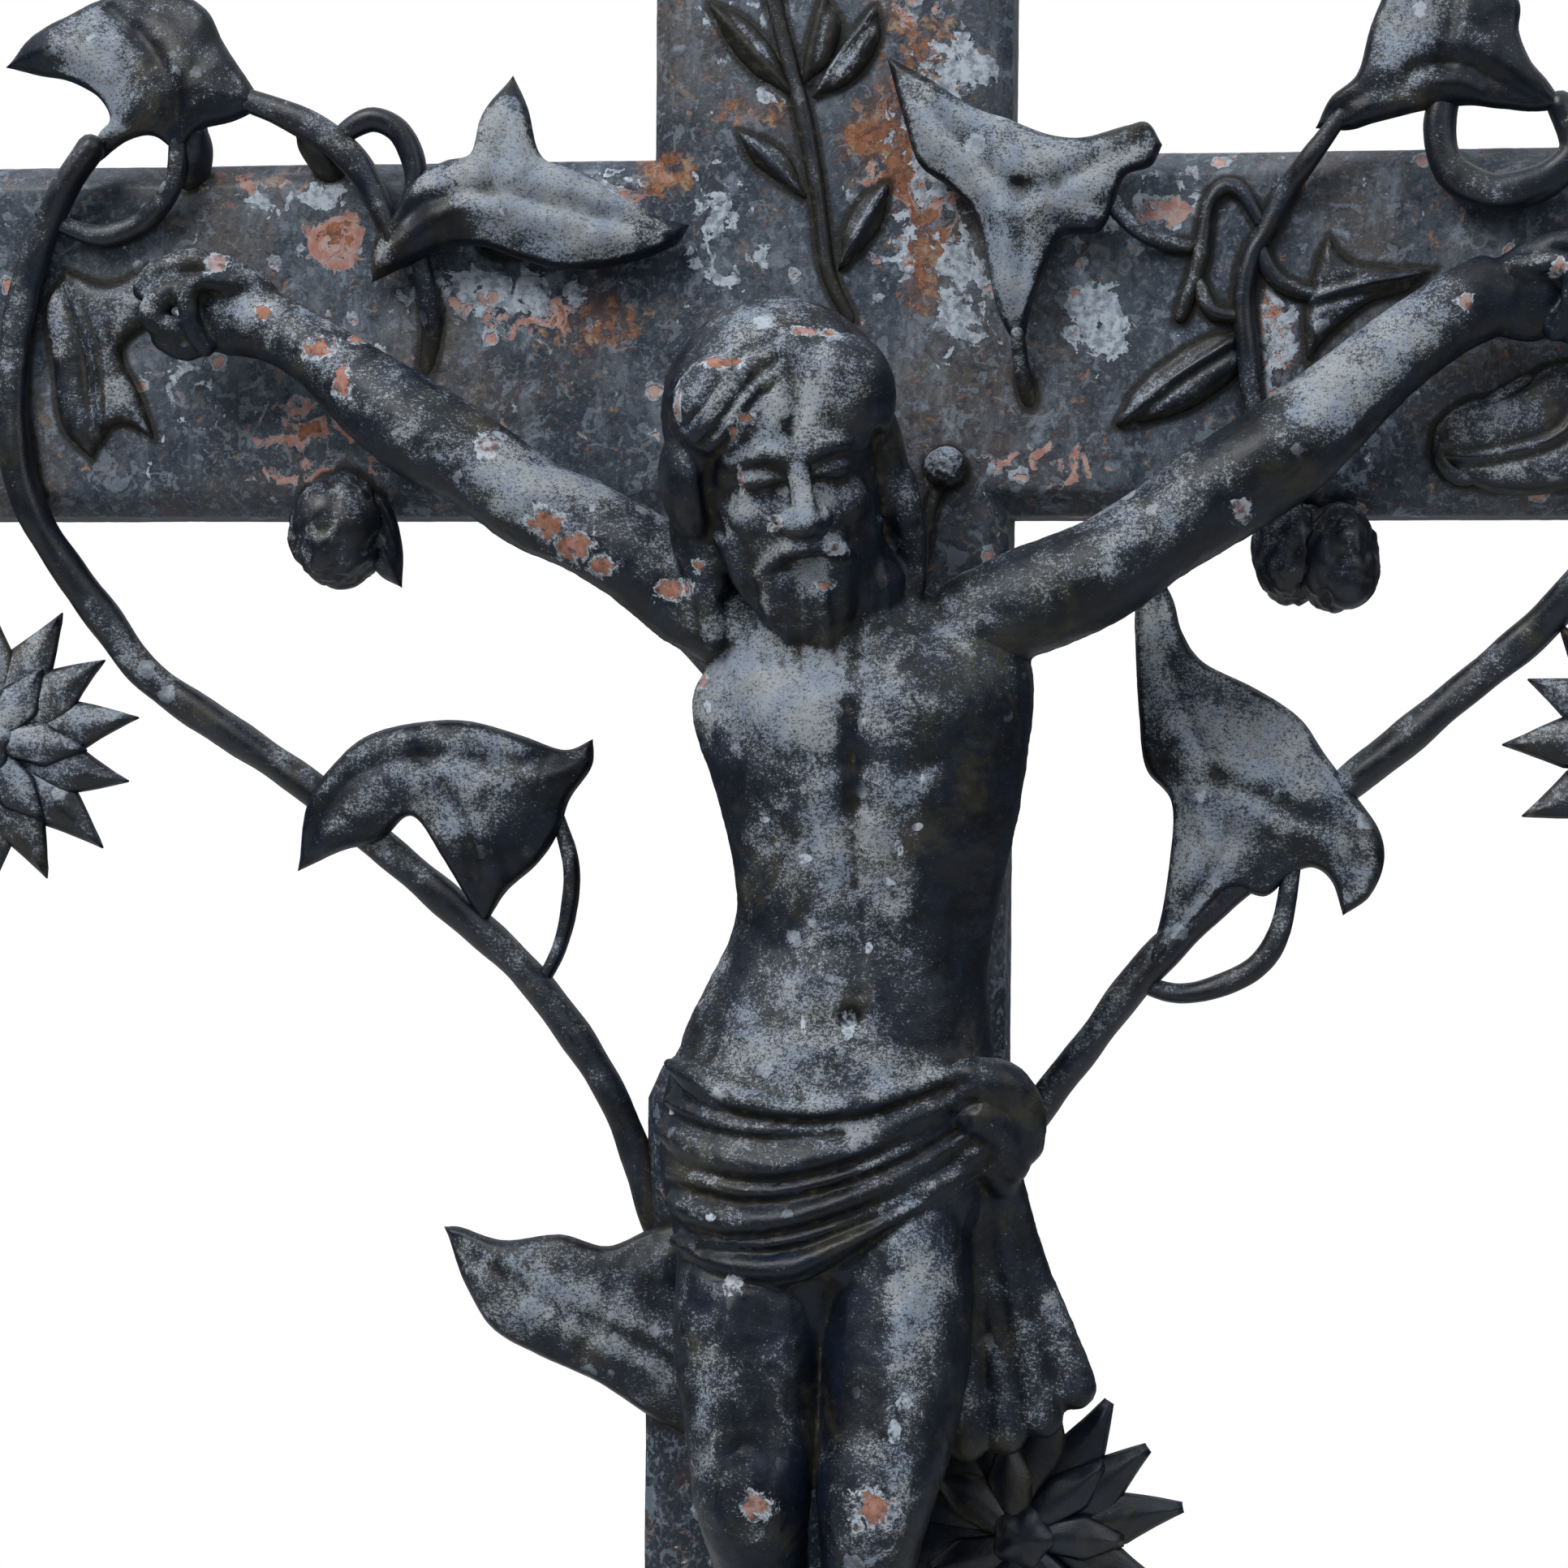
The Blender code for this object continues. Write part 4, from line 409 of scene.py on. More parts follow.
# The figure's limbs as rings: across, up, forward, half width, half depth
TRUNK = [(2.5, -14.8, 8.3, 3.1, 2.9), (2.4, -16.6, 7.3, 6.7, 3.8), (2.8, -19.9, 6.3, 9.5, 5.2),
         (3.3, -25.5, 6.2, 8.6, 5.2), (3.2, -31.1, 5.8, 7.4, 4.6), (2.8, -34.7, 5.6, 7.2, 4.4),
         (2.2, -38.4, 5.8, 8.2, 4.8), (1.6, -41.9, 6.0, 9.0, 5.2), (1.1, -46.8, 6.0, 9.0, 5.3),
         (0.6, -51.3, 6.0, 8.0, 5.2), (0.7, -54.0, 6.0, 5.4, 4.2)]
NECK = [(2.3, -16.3, 6.9, 3.3, 3.3), (1.7, -13.7, 8.8, 2.9, 3.1), (1.0, -10.0, 10.4, 2.9, 3.1)]
ARM_LEFT = [(-4.3, -16.5, 6.3, 2.8, 2.9), (-6.8, -15.2, 6.2, 2.8, 2.9), (-9.6, -13.1, 6.0, 2.7, 2.9),
            (-12.8, -11.3, 6.0, 2.6, 2.8), (-15.8, -10.0, 6.0, 2.6, 2.8), (-18.9, -7.8, 6.0, 2.6, 2.8),
            (-22.2, -5.9, 5.8, 2.8, 2.8), (-25.3, -3.8, 5.2, 2.5, 2.5), (-28.2, -1.6, 4.6, 2.0, 2.1),
            (-30.6, -0.2, 4.0, 1.9, 1.8), (-33.0, 0.8, 3.4, 2.2, 1.7)]
ARM_RIGHT = [(9.3, -16.5, 6.3, 2.8, 2.9), (12.1, -15.4, 6.2, 3.0, 3.1), (15.7, -13.9, 6.0, 2.9, 3.0),
             (18.9, -11.8, 6.0, 2.7, 2.9), (21.8, -9.8, 5.8, 2.9, 3.0), (25.5, -7.4, 5.4, 2.9, 2.9),
             (28.4, -4.9, 4.9, 2.6, 2.6), (31.1, -2.4, 4.4, 2.3, 2.2), (34.4, 0.1, 3.8, 2.2, 1.9),
             (36.9, 1.5, 3.4, 2.3, 1.8)]
LEG_LEFT = [(-2.5, -48.2, 6.3, 4.7, 4.8), (-2.8, -52.2, 6.9, 4.3, 4.6), (-2.8, -56.1, 7.9, 4.3, 4.2),
            (-2.5, -60.3, 9.0, 3.8, 3.7), (-2.3, -64.6, 10.0, 3.2, 3.4), (-2.0, -68.1, 8.8, 2.6, 2.9),
            (-1.6, -73.2, 6.9, 2.5, 2.9), (-0.8, -79.3, 5.6, 2.0, 2.3), (-0.1, -85.3, 4.8, 1.4, 1.7),
            (0.4, -88.9, 4.6, 1.5, 1.7), (0.5, -92.8, 3.7, 1.9, 1.5), (0.8, -95.9, 3.1, 1.7, 1.1),
            (1.0, -97.6, 2.9, 1.1, 0.8)]
LEG_RIGHT = [(4.8, -48.0, 6.3, 4.5, 4.8), (5.2, -52.0, 6.9, 4.0, 4.6), (5.2, -55.9, 7.9, 4.2, 4.2),
             (5.0, -60.1, 9.2, 3.8, 3.7), (4.4, -64.3, 10.4, 3.2, 3.4), (4.0, -67.8, 9.6, 2.6, 2.9),
             (3.3, -72.7, 8.3, 2.5, 2.9), (2.5, -78.7, 7.3, 2.1, 2.3), (1.7, -84.7, 6.9, 1.4, 1.7),
             (1.2, -88.3, 6.9, 1.6, 1.7), (0.5, -92.0, 6.1, 1.9, 1.5), (0.0, -95.1, 5.4, 1.7, 1.2),
             (-0.3, -97.0, 5.0, 1.2, 0.8)]


# Hand: half sizes of the palm, then each finger's radius and its way out from the palm, up, forward
PALM = (2.7, 2.6, 1.6)
FINGERS = [
    (0.95, [(0.0, 2.0, 0.0), (2.2, 2.7, 0.4), (4.2, 2.2, 0.7), (5.2, 1.3, 0.6)]),
    (0.90, [(1.6, 1.1, 0.6), (3.6, 0.9, 1.5), (4.6, -0.4, 1.4), (3.4, -1.2, 1.2)]),
    (0.85, [(1.0, -1.2, 0.3), (2.8, -2.1, 0.6), (4.1, -1.6, 0.7)]),
    (0.62, [(-0.4, 1.4, 1.2), (2.0, 1.4, 2.0), (2.3, -0.6, 1.9), (1.5, -2.2, 1.2)]),
]
HAND_LEFT = (-33.6, 1.2, 3.3)
HAND_RIGHT = (38.9, 1.5, 3.2)

# Head, in its own frame before it is bowed: across, up, forward of the skull's middle
HEAD_PLACE = (-0.9, -7.3, 10.0)
HEAD_BOW = 24
HEAD_TURN = -12
HEAD_TILT = 9
HEAD_OVALS = [
    ((0, 1.4, -0.4), (5.3, 6.0, 6.0)),
    ((0, -3.0, 1.6), (4.1, 5.2, 4.2)),
    ((-2.3, -2.2, 3.6), (1.6, 1.7, 1.5)),
    ((2.3, -2.2, 3.6), (1.6, 1.7, 1.5)),
    ((-1.9, 0.0, 4.5), (1.15, 0.75, 0.9)),
    ((1.9, 0.0, 4.5), (1.15, 0.75, 0.9)),
    ((0, -4.9, 4.9), (1.2, 0.5, 0.8)),
    ((0.4, -6.7, 3.7), (2.9, 3.9, 2.3)),
    ((-0.2, 1.9, -0.9), (6.4, 6.2, 6.1)),
    ((-5.5, -1.0, 0.6), (1.7, 3.2, 2.7)),
    ((-4.9, -5.4, 0.0), (1.5, 3.6, 2.0)),
    ((5.3, -2.6, -0.4), (1.3, 4.6, 2.3)),
    ((-3.2, 3.7, 2.7), (2.9, 2.9, 2.5)),
    ((3.3, 3.5, 2.7), (2.7, 3.3, 2.5)),
]
# Brow, nose, moustache, beard and hair as strands: radius at each end, and the way
FACE_STRANDS = [
    (0.55, 0.75, [(0, 1.1, 5.4), (0, -0.6, 6.2), (0, -2.0, 7.0)]),
    (0.75, 0.75, [(-0.8, -2.1, 6.2), (0, -2.2, 6.6), (0.8, -2.1, 6.2)]),
    (1.3, 0.8, [(0.3, -6.4, 5.0), (0.6, -8.6, 4.9), (0.9, -10.2, 4.5)]),
]
MIRRORED_STRANDS = [
    (0.7, 0.5, [(0.3, 1.3, 5.2), (1.8, 1.6, 5.1), (3.4, 1.0, 4.0)]),
    (0.75, 0.35, [(0.2, -3.4, 6.1), (1.6, -4.1, 5.6), (2.7, -5.6, 4.4)]),
    (1.2, 0.6, [(1.6, -5.8, 4.5), (1.8, -7.6, 4.5), (1.2, -9.2, 4.3)]),
    (1.2, 0.5, [(3.3, -3.6, 3.0), (3.2, -6.0, 3.2), (2.2, -8.4, 3.5)]),
    (1.0, 0.7, [(3.9, -1.0, 2.0), (3.9, -3.6, 2.2), (3.4, -6.0, 2.4)]),
]
SHOULDER_LOCKS = [
    (1.2, 0.7, [(-6.2, -9.0, 9.4), (-6.4, -12.2, 9.2), (-5.4, -15.0, 9.2), (-5.0, -17.6, 8.9)]),
    (1.1, 0.6, [(-4.6, -10.6, 8.4), (-5.4, -13.6, 8.2), (-6.6, -16.2, 8.3)]),
    (1.1, 0.6, [(5.0, -9.0, 8.4), (5.7, -12.0, 7.9), (5.8, -14.8, 7.9), (5.2, -16.8, 8.3)]),
    (1.0, 0.6, [(4.2, -10.0, 7.4), (4.6, -13.0, 7.4), (4.4, -15.6, 8.2)]),
]

# Loincloth: rings about the hips, folds that lie on them, and the knot with its hanging end
CLOTH = [(1.4, -42.0, 6.1, 9.0, 5.5), (1.1, -44.5, 6.1, 9.3, 5.8), (0.9, -47.5, 6.2, 9.1, 5.8),
         (0.7, -50.0, 6.3, 8.4, 5.3)]
FOLDS = [
    (0.85, [(-7.3, -41.0), (-5.4, -41.8), (-3.0, -42.7), (1.0, -43.1), (5.2, -42.3), (9.0, -40.9)]),
    (0.55, [(-7.6, -43.0), (-5.0, -43.9), (-1.6, -44.3), (2.6, -43.9)]),
    (1.00, [(-7.8, -44.6), (-4.4, -45.9), (-0.2, -46.1), (4.2, -44.7), (7.2, -43.1), (9.6, -41.9)]),
    (0.70, [(-7.4, -46.9), (-2.6, -47.6), (1.6, -46.9), (5.9, -45.3), (9.2, -43.2)]),
    (0.90, [(-7.2, -48.6), (-3.6, -49.4), (0.6, -48.8), (5.0, -47.0), (9.5, -44.2)]),
    (0.60, [(-5.2, -50.4), (-1.0, -50.3), (3.4, -48.9), (6.8, -47.2)]),
    (0.85, [(-6.9, -50.6), (-3.6, -51.7), (-0.2, -51.7), (2.6, -50.4), (5.6, -48.6), (8.4, -46.8), (10.2, -45.2)]),
]
KNOT = [
    (1.4, 1.3, [(9.4, -41.6, 9.2), (11.0, -41.8, 8.6), (12.0, -43.2, 7.9), (12.0, -45.0, 7.3)]),
    (1.2, 1.1, [(9.6, -43.4, 9.4), (10.8, -44.4, 8.6), (11.4, -46.2, 7.6)]),
    (0.9, 0.8, [(8.8, -45.0, 9.2), (10.0, -46.0, 8.3), (11.0, -47.4, 7.1)]),
]
HANGING_END = [
    (0.8, 1.3, [(11.2, -46.8, 6.8), (12.2, -51.6, 4.9), (13.6, -55.6, 4.1), (14.7, -58.8, 3.8)]),
    (0.9, 1.3, [(10.7, -46.8, 6.8), (11.3, -52.0, 5.3), (12.2, -56.6, 4.4), (12.9, -60.4, 4.1)]),
    (0.9, 1.3, [(10.0, -47.4, 6.5), (10.2, -52.4, 5.0), (10.6, -57.0, 4.3), (10.9, -61.4, 4.0)]),
    (0.9, 1.3, [(9.2, -48.0, 6.4), (8.8, -53.0, 5.3), (8.7, -58.0, 4.6), (8.8, -61.8, 4.3)]),
]

# Carving of the front: soft spots as across, up, reach, rise; strokes as width, rise and a line
SPOTS = [(-0.8, -21.6, 2.9, 0.55), (6.9, -21.4, 2.9, 0.55), (3.1, -36.0, 3.2, 0.5), (3.0, -38.2, 0.65, -1.1),
         (-2.2, -64.2, 1.7, 0.6), (4.4, -63.9, 1.8, 0.6), (-2.2, -61.9, 1.2, -0.25), (4.6, -61.6, 1.2, -0.25),
         (-10.0, -13.4, 2.6, 0.35), (-16.6, -10.4, 2.2, 0.3), (-22.4, -6.0, 2.4, 0.4), (16.0, -14.0, 2.6, 0.35),
         (26.0, -7.0, 2.6, 0.4), (-1.8, -73.0, 2.2, 0.3), (3.6, -72.6, 2.2, 0.3)]
STROKES = [
    (0.9, -0.5, [(2.9, -19.2), (3.2, -25.2)]),
    (0.8, -0.45, [(-4.0, -21.6), (-2.6, -23.4), (0.0, -24.4), (2.7, -24.3)]),
    (0.8, -0.45, [(3.7, -24.3), (7.2, -24.2), (9.4, -22.6)]),
    (0.9, -0.45, [(3.2, -26.4), (0.6, -28.4), (-1.8, -31.4)]),
    (0.9, -0.45, [(3.4, -26.4), (6.0, -28.2), (8.0, -31.0)]),
    (0.7, 0.3, [(-4.6, -25.4), (-2.4, -27.0), (-1.0, -27.4)]),
    (0.7, 0.3, [(-4.4, -28.0), (-2.8, -29.4), (-1.8, -29.8)]),
    (0.7, 0.3, [(7.6, -26.8), (9.2, -26.2), (10.6, -25.2)]),
    (0.7, 0.3, [(7.6, -29.6), (9.0, -29.0), (10.0, -28.2)]),
    (0.8, -0.35, [(3.2, -27.0), (3.1, -36.8)]),
    (0.7, -0.2, [(-0.6, -31.2), (6.8, -31.2)]),
    (0.7, -0.2, [(-0.6, -34.4), (6.6, -34.4)]),
    (1.0, -0.35, [(-5.4, -37.0), (-4.4, -39.6), (-2.4, -41.4)]),
    (1.0, -0.35, [(9.2, -37.4), (8.4, -39.6)]),
    (0.7, 0.4, [(-3.6, -17.0), (-1.0, -17.8), (1.2, -18.3)]),
    (0.7, 0.4, [(4.2, -18.3), (6.4, -17.8), (8.8, -17.0)]),
]


def sizes():
    return bpy.context.scene.crucifix_sizes


def colours():
    return bpy.context.scene.crucifix_colours


# ---- geometry


def smooth_path(points, steps):
    """Points of a smooth curve through the given ones, with so many steps in each span."""
    points = np.asarray(points, float)
    if len(points) < 3 or steps == 1:
        return points
    ends = np.vstack([2 * points[0] - points[1], points, 2 * points[-1] - points[-2]])
    out = []
    for a, b, c, d in zip(ends, ends[1:], ends[2:], ends[3:]):
        for t in np.arange(steps) / steps:
            out.append(0.5 * (2 * b + (c - a) * t + (2 * a - 5 * b + 4 * c - d) * t**2
                              + (3 * b - a - 3 * c + d) * t**3))
    return np.array(out + [points[-1]])


def even_path(points, spacing):
    """A smooth curve through the points, cut into steps of about the spacing."""
    fine = smooth_path(points, 8)
    lengths = np.append(0, np.cumsum(np.linalg.norm(np.diff(fine, axis=0), axis=1)))
    places = np.linspace(0, lengths[-1], max(int(round(lengths[-1] / spacing)), 1) + 1)
    return np.column_stack([np.interp(places, lengths, fine[:, k]) for k in range(fine.shape[1])])


def distance_to_line(spots, line):
    """How far each spot is from a line of points."""
    best = np.full(len(spots), np.inf)
    for a, b in zip(line, line[1:]):
        along = b - a
        t = np.clip((spots - a) @ along / max(along @ along, 1e-12), 0, 1)
        best = np.minimum(best, np.linalg.norm(spots - a - t[:, None] * along, axis=1))
    return best


def in_metres(spots, measure):
    """Turns across, up, forward in hundredths of the measure into metres."""
    across, up, forward = np.asarray(spots, float).T * (measure / 100)
    return np.column_stack([across, -sizes().plank_depth / 2 - forward, sizes().crossing_height + up])


def on_cross(spots):
    return in_metres(spots, sizes().plank_width)


def on_figure(spots):
    return in_metres(spots, sizes().figure_height)


def from_figure(spots):
    """The way back: metres into across, up, forward in hundredths of the figure's height."""
    share = sizes().figure_height / 100
    return np.column_stack([spots[:, 0] / share, (spots[:, 2] - sizes().crossing_height) / share,
                            (-sizes().plank_depth / 2 - spots[:, 1]) / share])


def grain(spots, scale, octaves=4, seed=0.0):
    """Smooth noise from about -1 to 1 at each spot, with features of about 1 / scale metres."""
    shift = Vector((seed, seed * 1.7, seed * 0.6))
    return np.array([noise.fractal(Vector(spot) * scale + shift, 0.6, 2.1, octaves) for spot in spots])


def mesh_arrays(mesh):
    """The mesh's spots, edges and normals as arrays."""
    spots = np.empty(len(mesh.vertices) * 3)
    mesh.vertices.foreach_get("co", spots)
    edges = np.empty(len(mesh.edges) * 2, np.int32)
    mesh.edges.foreach_get("vertices", edges)
    normals = np.empty(len(mesh.vertices) * 3)
    mesh.vertex_normals.foreach_get("vector", normals)
    return spots.reshape(-1, 3), edges.reshape(-1, 2), normals.reshape(-1, 3)


def relax(points, edges, rounds):
    """Draws each spot halfway to the middle of its neighbours, so many times."""
    size = len(points)
    count = np.bincount(edges.ravel(), minlength=size)
    for _ in range(rounds):
        total = np.column_stack([np.bincount(edges[:, 0], points[edges[:, 1], k], size)
                                 + np.bincount(edges[:, 1], points[edges[:, 0], k], size) for k in range(3)])
        points = (points + total / count[:, None]) / 2
    return points


def mark_hollows(mesh, reach, depth):
    """Stores on each vertex how deep it lies in a hollow, from -1 on a sharp ridge to 1 in a crease."""
    spots, edges, normals = mesh_arrays(mesh)
    step = np.median(np.linalg.norm(spots[edges[:, 0]] - spots[edges[:, 1]], axis=1))
    total = np.zeros(len(spots))
    for share, weight in ((1.0, 0.6), (2.5, 0.4)):
        rounds = int(min(max((reach * share / step) ** 2, 2), 60))
        soft = relax(spots, edges, rounds)
        total += weight * np.clip(((soft - spots) * normals).sum(1) / (depth * share), -1, 1)
    layer = mesh.attributes.new("hollow", "FLOAT", "POINT")
    layer.data.foreach_set("value", total)


def settle_seam_shade(piece, others, reach):
    """Deepens the hollow mark where another piece lies close, so that painted shade and dirt gather along the seam."""
    points, faces = [], []
    for other in others:
        spots, _, _ = mesh_arrays(other.data)
        faces += [tuple(k + len(points) for k in face.vertices) for face in other.data.polygons]
        points += [tuple(spot) for spot in spots]
    tree = BVHTree.FromPolygons(points, faces)
    layer = piece.data.attributes["hollow"]
    marks = np.empty(len(layer.data))
    layer.data.foreach_get("value", marks)
    spots, _, _ = mesh_arrays(piece.data)
    # Painted shade: spots close to another piece are marked as deep hollows, so the paint darkens there as in a shadow
    for k, spot in enumerate(spots):
        found = tree.find_nearest(spot, reach)
        if found[0] is not None:
            marks[k] = max(marks[k], 1.0 - 0.9 * found[3] / reach)
    layer.data.foreach_set("value", marks)


def collection_named(name):
    found = bpy.data.collections.get(name)
    if found is None:
        found = bpy.data.collections.new(name)
        bpy.context.scene.collection.children.link(found)
    return found


def plain_mesh(name, points, faces):
    """A mesh of these faces, all turned outward."""
    mesh = bpy.data.meshes.new(name)
    mesh.from_pydata([tuple(p) for p in points], [], [tuple(f) for f in faces])
    work = bmesh.new()
    work.from_mesh(mesh)
    bmesh.ops.remove_doubles(work, verts=work.verts, dist=1e-6)
    bmesh.ops.recalc_face_normals(work, faces=work.faces)
    work.to_mesh(mesh)
    work.free()
    return mesh


def finish_piece(name, mesh, material, node, reach=0.0022, depth=0.0005):
    """Shades the mesh smooth, marks its hollows, paints it and hangs it on the frame."""
    old = bpy.data.objects.get(name)
    if old is not None:
        bpy.data.objects.remove(old)
    mesh.name = name
    mesh.polygons.foreach_set("use_smooth", [True] * len(mesh.polygons))
    mark_hollows(mesh, reach, depth)
    mesh.materials.clear()
    mesh.materials.append(material)
    piece = bpy.data.objects.new(name, mesh)
    collection_named("crucifix").objects.link(piece)
    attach(piece, "root")
    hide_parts(node)
    return piece


def finish_growth(name, mesh, material):
    """Finishes a piece that is cast in one with the cross."""
    return finish_piece(name, mesh, material, "cross")


def joined(parts):
    """Several skins of points and faces as one."""
    points, faces = [], []
    for spots, skin in parts:
        faces += [tuple(int(k) + len(points) for k in face) for face in skin]
        points += [tuple(spot) for spot in spots]
    return points, faces


# ---- leaves


def loop_area(loop):
    return np.sum(loop[:, 0] * np.roll(loop[:, 1], -1) - np.roll(loop[:, 0], -1) * loop[:, 1]) / 2


def net_in(outline, spacing, keep_off=0.55):
    """Spots and triangles that fill an outline evenly."""
    count = len(outline)
    low, high = outline.min(0), outline.max(0)
    rows = np.arange(low[1], high[1], spacing * 0.866)
    inner = np.array([(x + (k % 2) * spacing / 2, y) for k, y in enumerate(rows)
                      for x in np.arange(low[0], high[0], spacing)])
    rim = np.vstack([outline, outline[:1]])
    inner = inner[distance_to_line(inner, rim) > spacing * keep_off]
    spots = [Vector(p) for p in np.vstack([outline, inner])]
    edges = [(k, (k + 1) % count) for k in range(count)]
    flat, _, faces, _, _, _ = delaunay_2d_cdt(spots, edges, [list(range(count))], 1, 1e-7)
    flat = np.array([tuple(p) for p in flat])
    faces = np.array(faces)
    used = np.unique(faces)
    place = np.full(len(flat), -1)
    place[used] = np.arange(len(used))
    return flat[used], place[faces], rim


def leaf_skin(sides, spacing, top, back):
    """A closed leaf: the net laid on its top, a second net on its back, and a wall around the edge."""
    outline = np.vstack([even_path(side, spacing)[:-1] for side in sides])
    if loop_area(outline) < 0:
        outline = outline[::-1]
    flat, faces, rim = net_in(outline, spacing)
    inset = distance_to_line(flat, rim)
    upper = top(flat, inset)
    lower = back(flat, inset, upper)
    count = len(flat)
    points = np.vstack([np.column_stack([flat, upper]), np.column_stack([flat, lower])])
    edges_of = {}
    for a, b, c in faces:
        for edge in ((a, b), (b, c), (c, a)):
            edges_of[edge] = True
    wall = [(b, a, a + count, b + count) for a, b in edges_of if (b, a) not in edges_of]
    return on_cross(points), [tuple(f) for f in faces] + [tuple(f[::-1] + count) for f in faces] + wall


def rounded_rim(inset, radius):
    """How far a rounded edge has dropped at this distance from the outline."""
    inside = np.clip(1 - inset / radius, 0, 1)
    return radius * (1 - np.sqrt(1 - inside**2))


def strokes_on(flat, strokes):
    """The rise of the brush strokes at each spot: width, rise and line for each stroke."""
    total = np.zeros(len(flat))
    for width, rise, line in strokes:
        total += rise * np.exp(-((distance_to_line(flat, smooth_path(line, 4)) / width) ** 2))
    return total


def wobble(flat, size, seed):
    """Uneven hand-modelled surface: a little slow noise over the leaf."""
    return size * grain(np.column_stack([flat, np.full(len(flat), seed * 7.0)]), 0.07, 3, seed)


def free_leaf(front, sides, ribs, lifts, modelling, seed):
    """A leaf that stands clear: domed and folded, its midrib sunk, its edges round and its tips bent back."""
    def top(flat, inset):
        height = front + LEAF_CROWN * (1 - np.exp(-inset / 7))
        for rib in ribs:
            away = distance_to_line(flat, smooth_path(rib, 4))
            height -= RIB_DEPTH * np.exp(-((away / RIB_WIDTH) ** 2)) * (1 - np.exp(-inset / 4))
            height += 0.5 * RIB_DEPTH * np.exp(-(((away - 2.2 * RIB_WIDTH) / (1.5 * RIB_WIDTH)) ** 2))
        height += 0.6 * strokes_on(flat, modelling) + wobble(flat, 0.5, seed)
        for u, v, lift, reach in lifts:
            height += lift * np.exp(-((np.hypot(flat[:, 0] - u, flat[:, 1] - v) / reach) ** 2))
        return height - rounded_rim(inset, LEAF_EDGE)

    def back(flat, inset, upper):
        return upper - LEAF_THICKNESS + 2 * rounded_rim(inset, LEAF_EDGE)

    return leaf_skin(sides, LEAF_SPACING, top, back)


def low_leaf(sides, ribs, height, seed):
    """A leaf in low relief, sunk into the planks at its root."""
    def top(flat, inset):
        rise = height * (1 - np.exp(-inset / 2.2)) + 0.6
        for rib in ribs:
            away = distance_to_line(flat, smooth_path(rib, 4))
            rise += 0.7 * np.exp(-((away / 1.0) ** 2)) - 0.9 * np.exp(-(((away - 2.4) / 1.2) ** 2))
        return rise + wobble(flat, 0.35, seed) - rounded_rim(inset, 1.4)

    def back(flat, inset, upper):
        return np.full(len(flat), -1.6)

    return leaf_skin(sides, LOW_LEAF_SPACING, top, back)


# ---- stems, buds and flowers


def skin_of(rings, sides):
    """The faces of a closed skin over so many rings of so many spots, with flat ends."""
    faces = [tuple(range(sides))[::-1], tuple(range((rings - 1) * sides, rings * sides))]
    for k in range(rings - 1):
        for j in range(sides):
            a, b = k * sides + j, k * sides + (j + 1) % sides
            faces.append((a, b, b + sides, a + sides))
    return faces


def tube(way, radius, sides=18, spacing=1.3, flutes=0.10, swell=0.06, seed=1.0):
    """A twisted, slightly uneven stem along its way, with rounded ends."""
    way = even_path(way, spacing)
    count = len(way)
    ahead = np.gradient(way, axis=0)
    ahead /= np.linalg.norm(ahead, axis=1)[:, None]
    forward = [0.0, 0.0, 1.0] if abs(ahead[0, 2]) < 0.95 else [0.0, 1.0, 0.0]
    side = np.cross(ahead, forward)
    side /= np.linalg.norm(side, axis=1)[:, None]
    rise = np.cross(side, ahead)
    along = np.arange(count) * spacing
    angles = np.arange(sides) * 2 * math.pi / sides
    taper = 1 - 0.22 * np.abs(2 * np.arange(count) / max(count - 1, 1) - 1) ** 3
    uneven = 1 + swell * np.sin(along / 7.3 + seed) + 0.5 * swell * np.sin(along / 2.9 + 2 * seed)
    loops = []
    for k in range(count):
        folds = 1 + flutes * np.cos(3 * angles + along[k] / 16 + seed)
        out = radius * taper[k] * uneven[k] * folds
        loops.append(way[k] + (out * np.cos(angles))[:, None] * side[k] + (out * np.sin(angles))[:, None] * rise[k])
    for k, sign in ((0, -1), (-1, 1)):
        caps = []
        for angle in (30, 58, 80):
            shrink = math.cos(math.radians(angle))
            middle = way[k] + sign * ahead[k] * radius * taper[k] * math.sin(math.radians(angle))
            caps.append(middle + (loops[k if k == 0 else len(loops) - 1] - way[k]) * shrink)
        loops = caps[::-1] + loops if k == 0 else loops + caps
    points = np.vstack(loops)
    return on_cross(points), skin_of(len(loops), sides)


def ball(sides, rows):
    """The spots and faces of a round ball, its poles up and down."""
    work = bmesh.new()
    bmesh.ops.create_uvsphere(work, u_segments=sides, v_segments=rows, radius=1)
    spots = np.array([v.co[:] for v in work.verts])[:, [0, 2, 1]]
    faces = [tuple(v.index for v in face.verts) for face in work.faces]
    work.free()
    return spots, faces


def bud(middle, halves, turn):
    """A round bud with folded petals that wind round it."""
    spots, faces = ball(72, 44)
    around = np.arctan2(spots[:, 1], spots[:, 0])
    out = np.hypot(spots[:, 0], spots[:, 1])
    fold = np.abs(np.sin(1.5 * around + 1.4 * spots[:, 2] + turn)) ** 0.6
    uneven = np.array([noise.fractal(Vector(spot) * 1.6 + Vector((turn, 2, 5)), 0.6, 2.1, 3) for spot in spots])
    shape = 0.98 + 0.10 * np.clip(uneven, -0.8, 0.2) - 0.11 * (1 - fold) * np.clip(out * 1.5, 0, 1)
    shape -= 0.16 * np.exp(-((out / 0.22) ** 2)) * (spots[:, 2] > 0)
    return on_cross(spots * shape[:, None] * np.array(halves) + np.array(middle)), faces


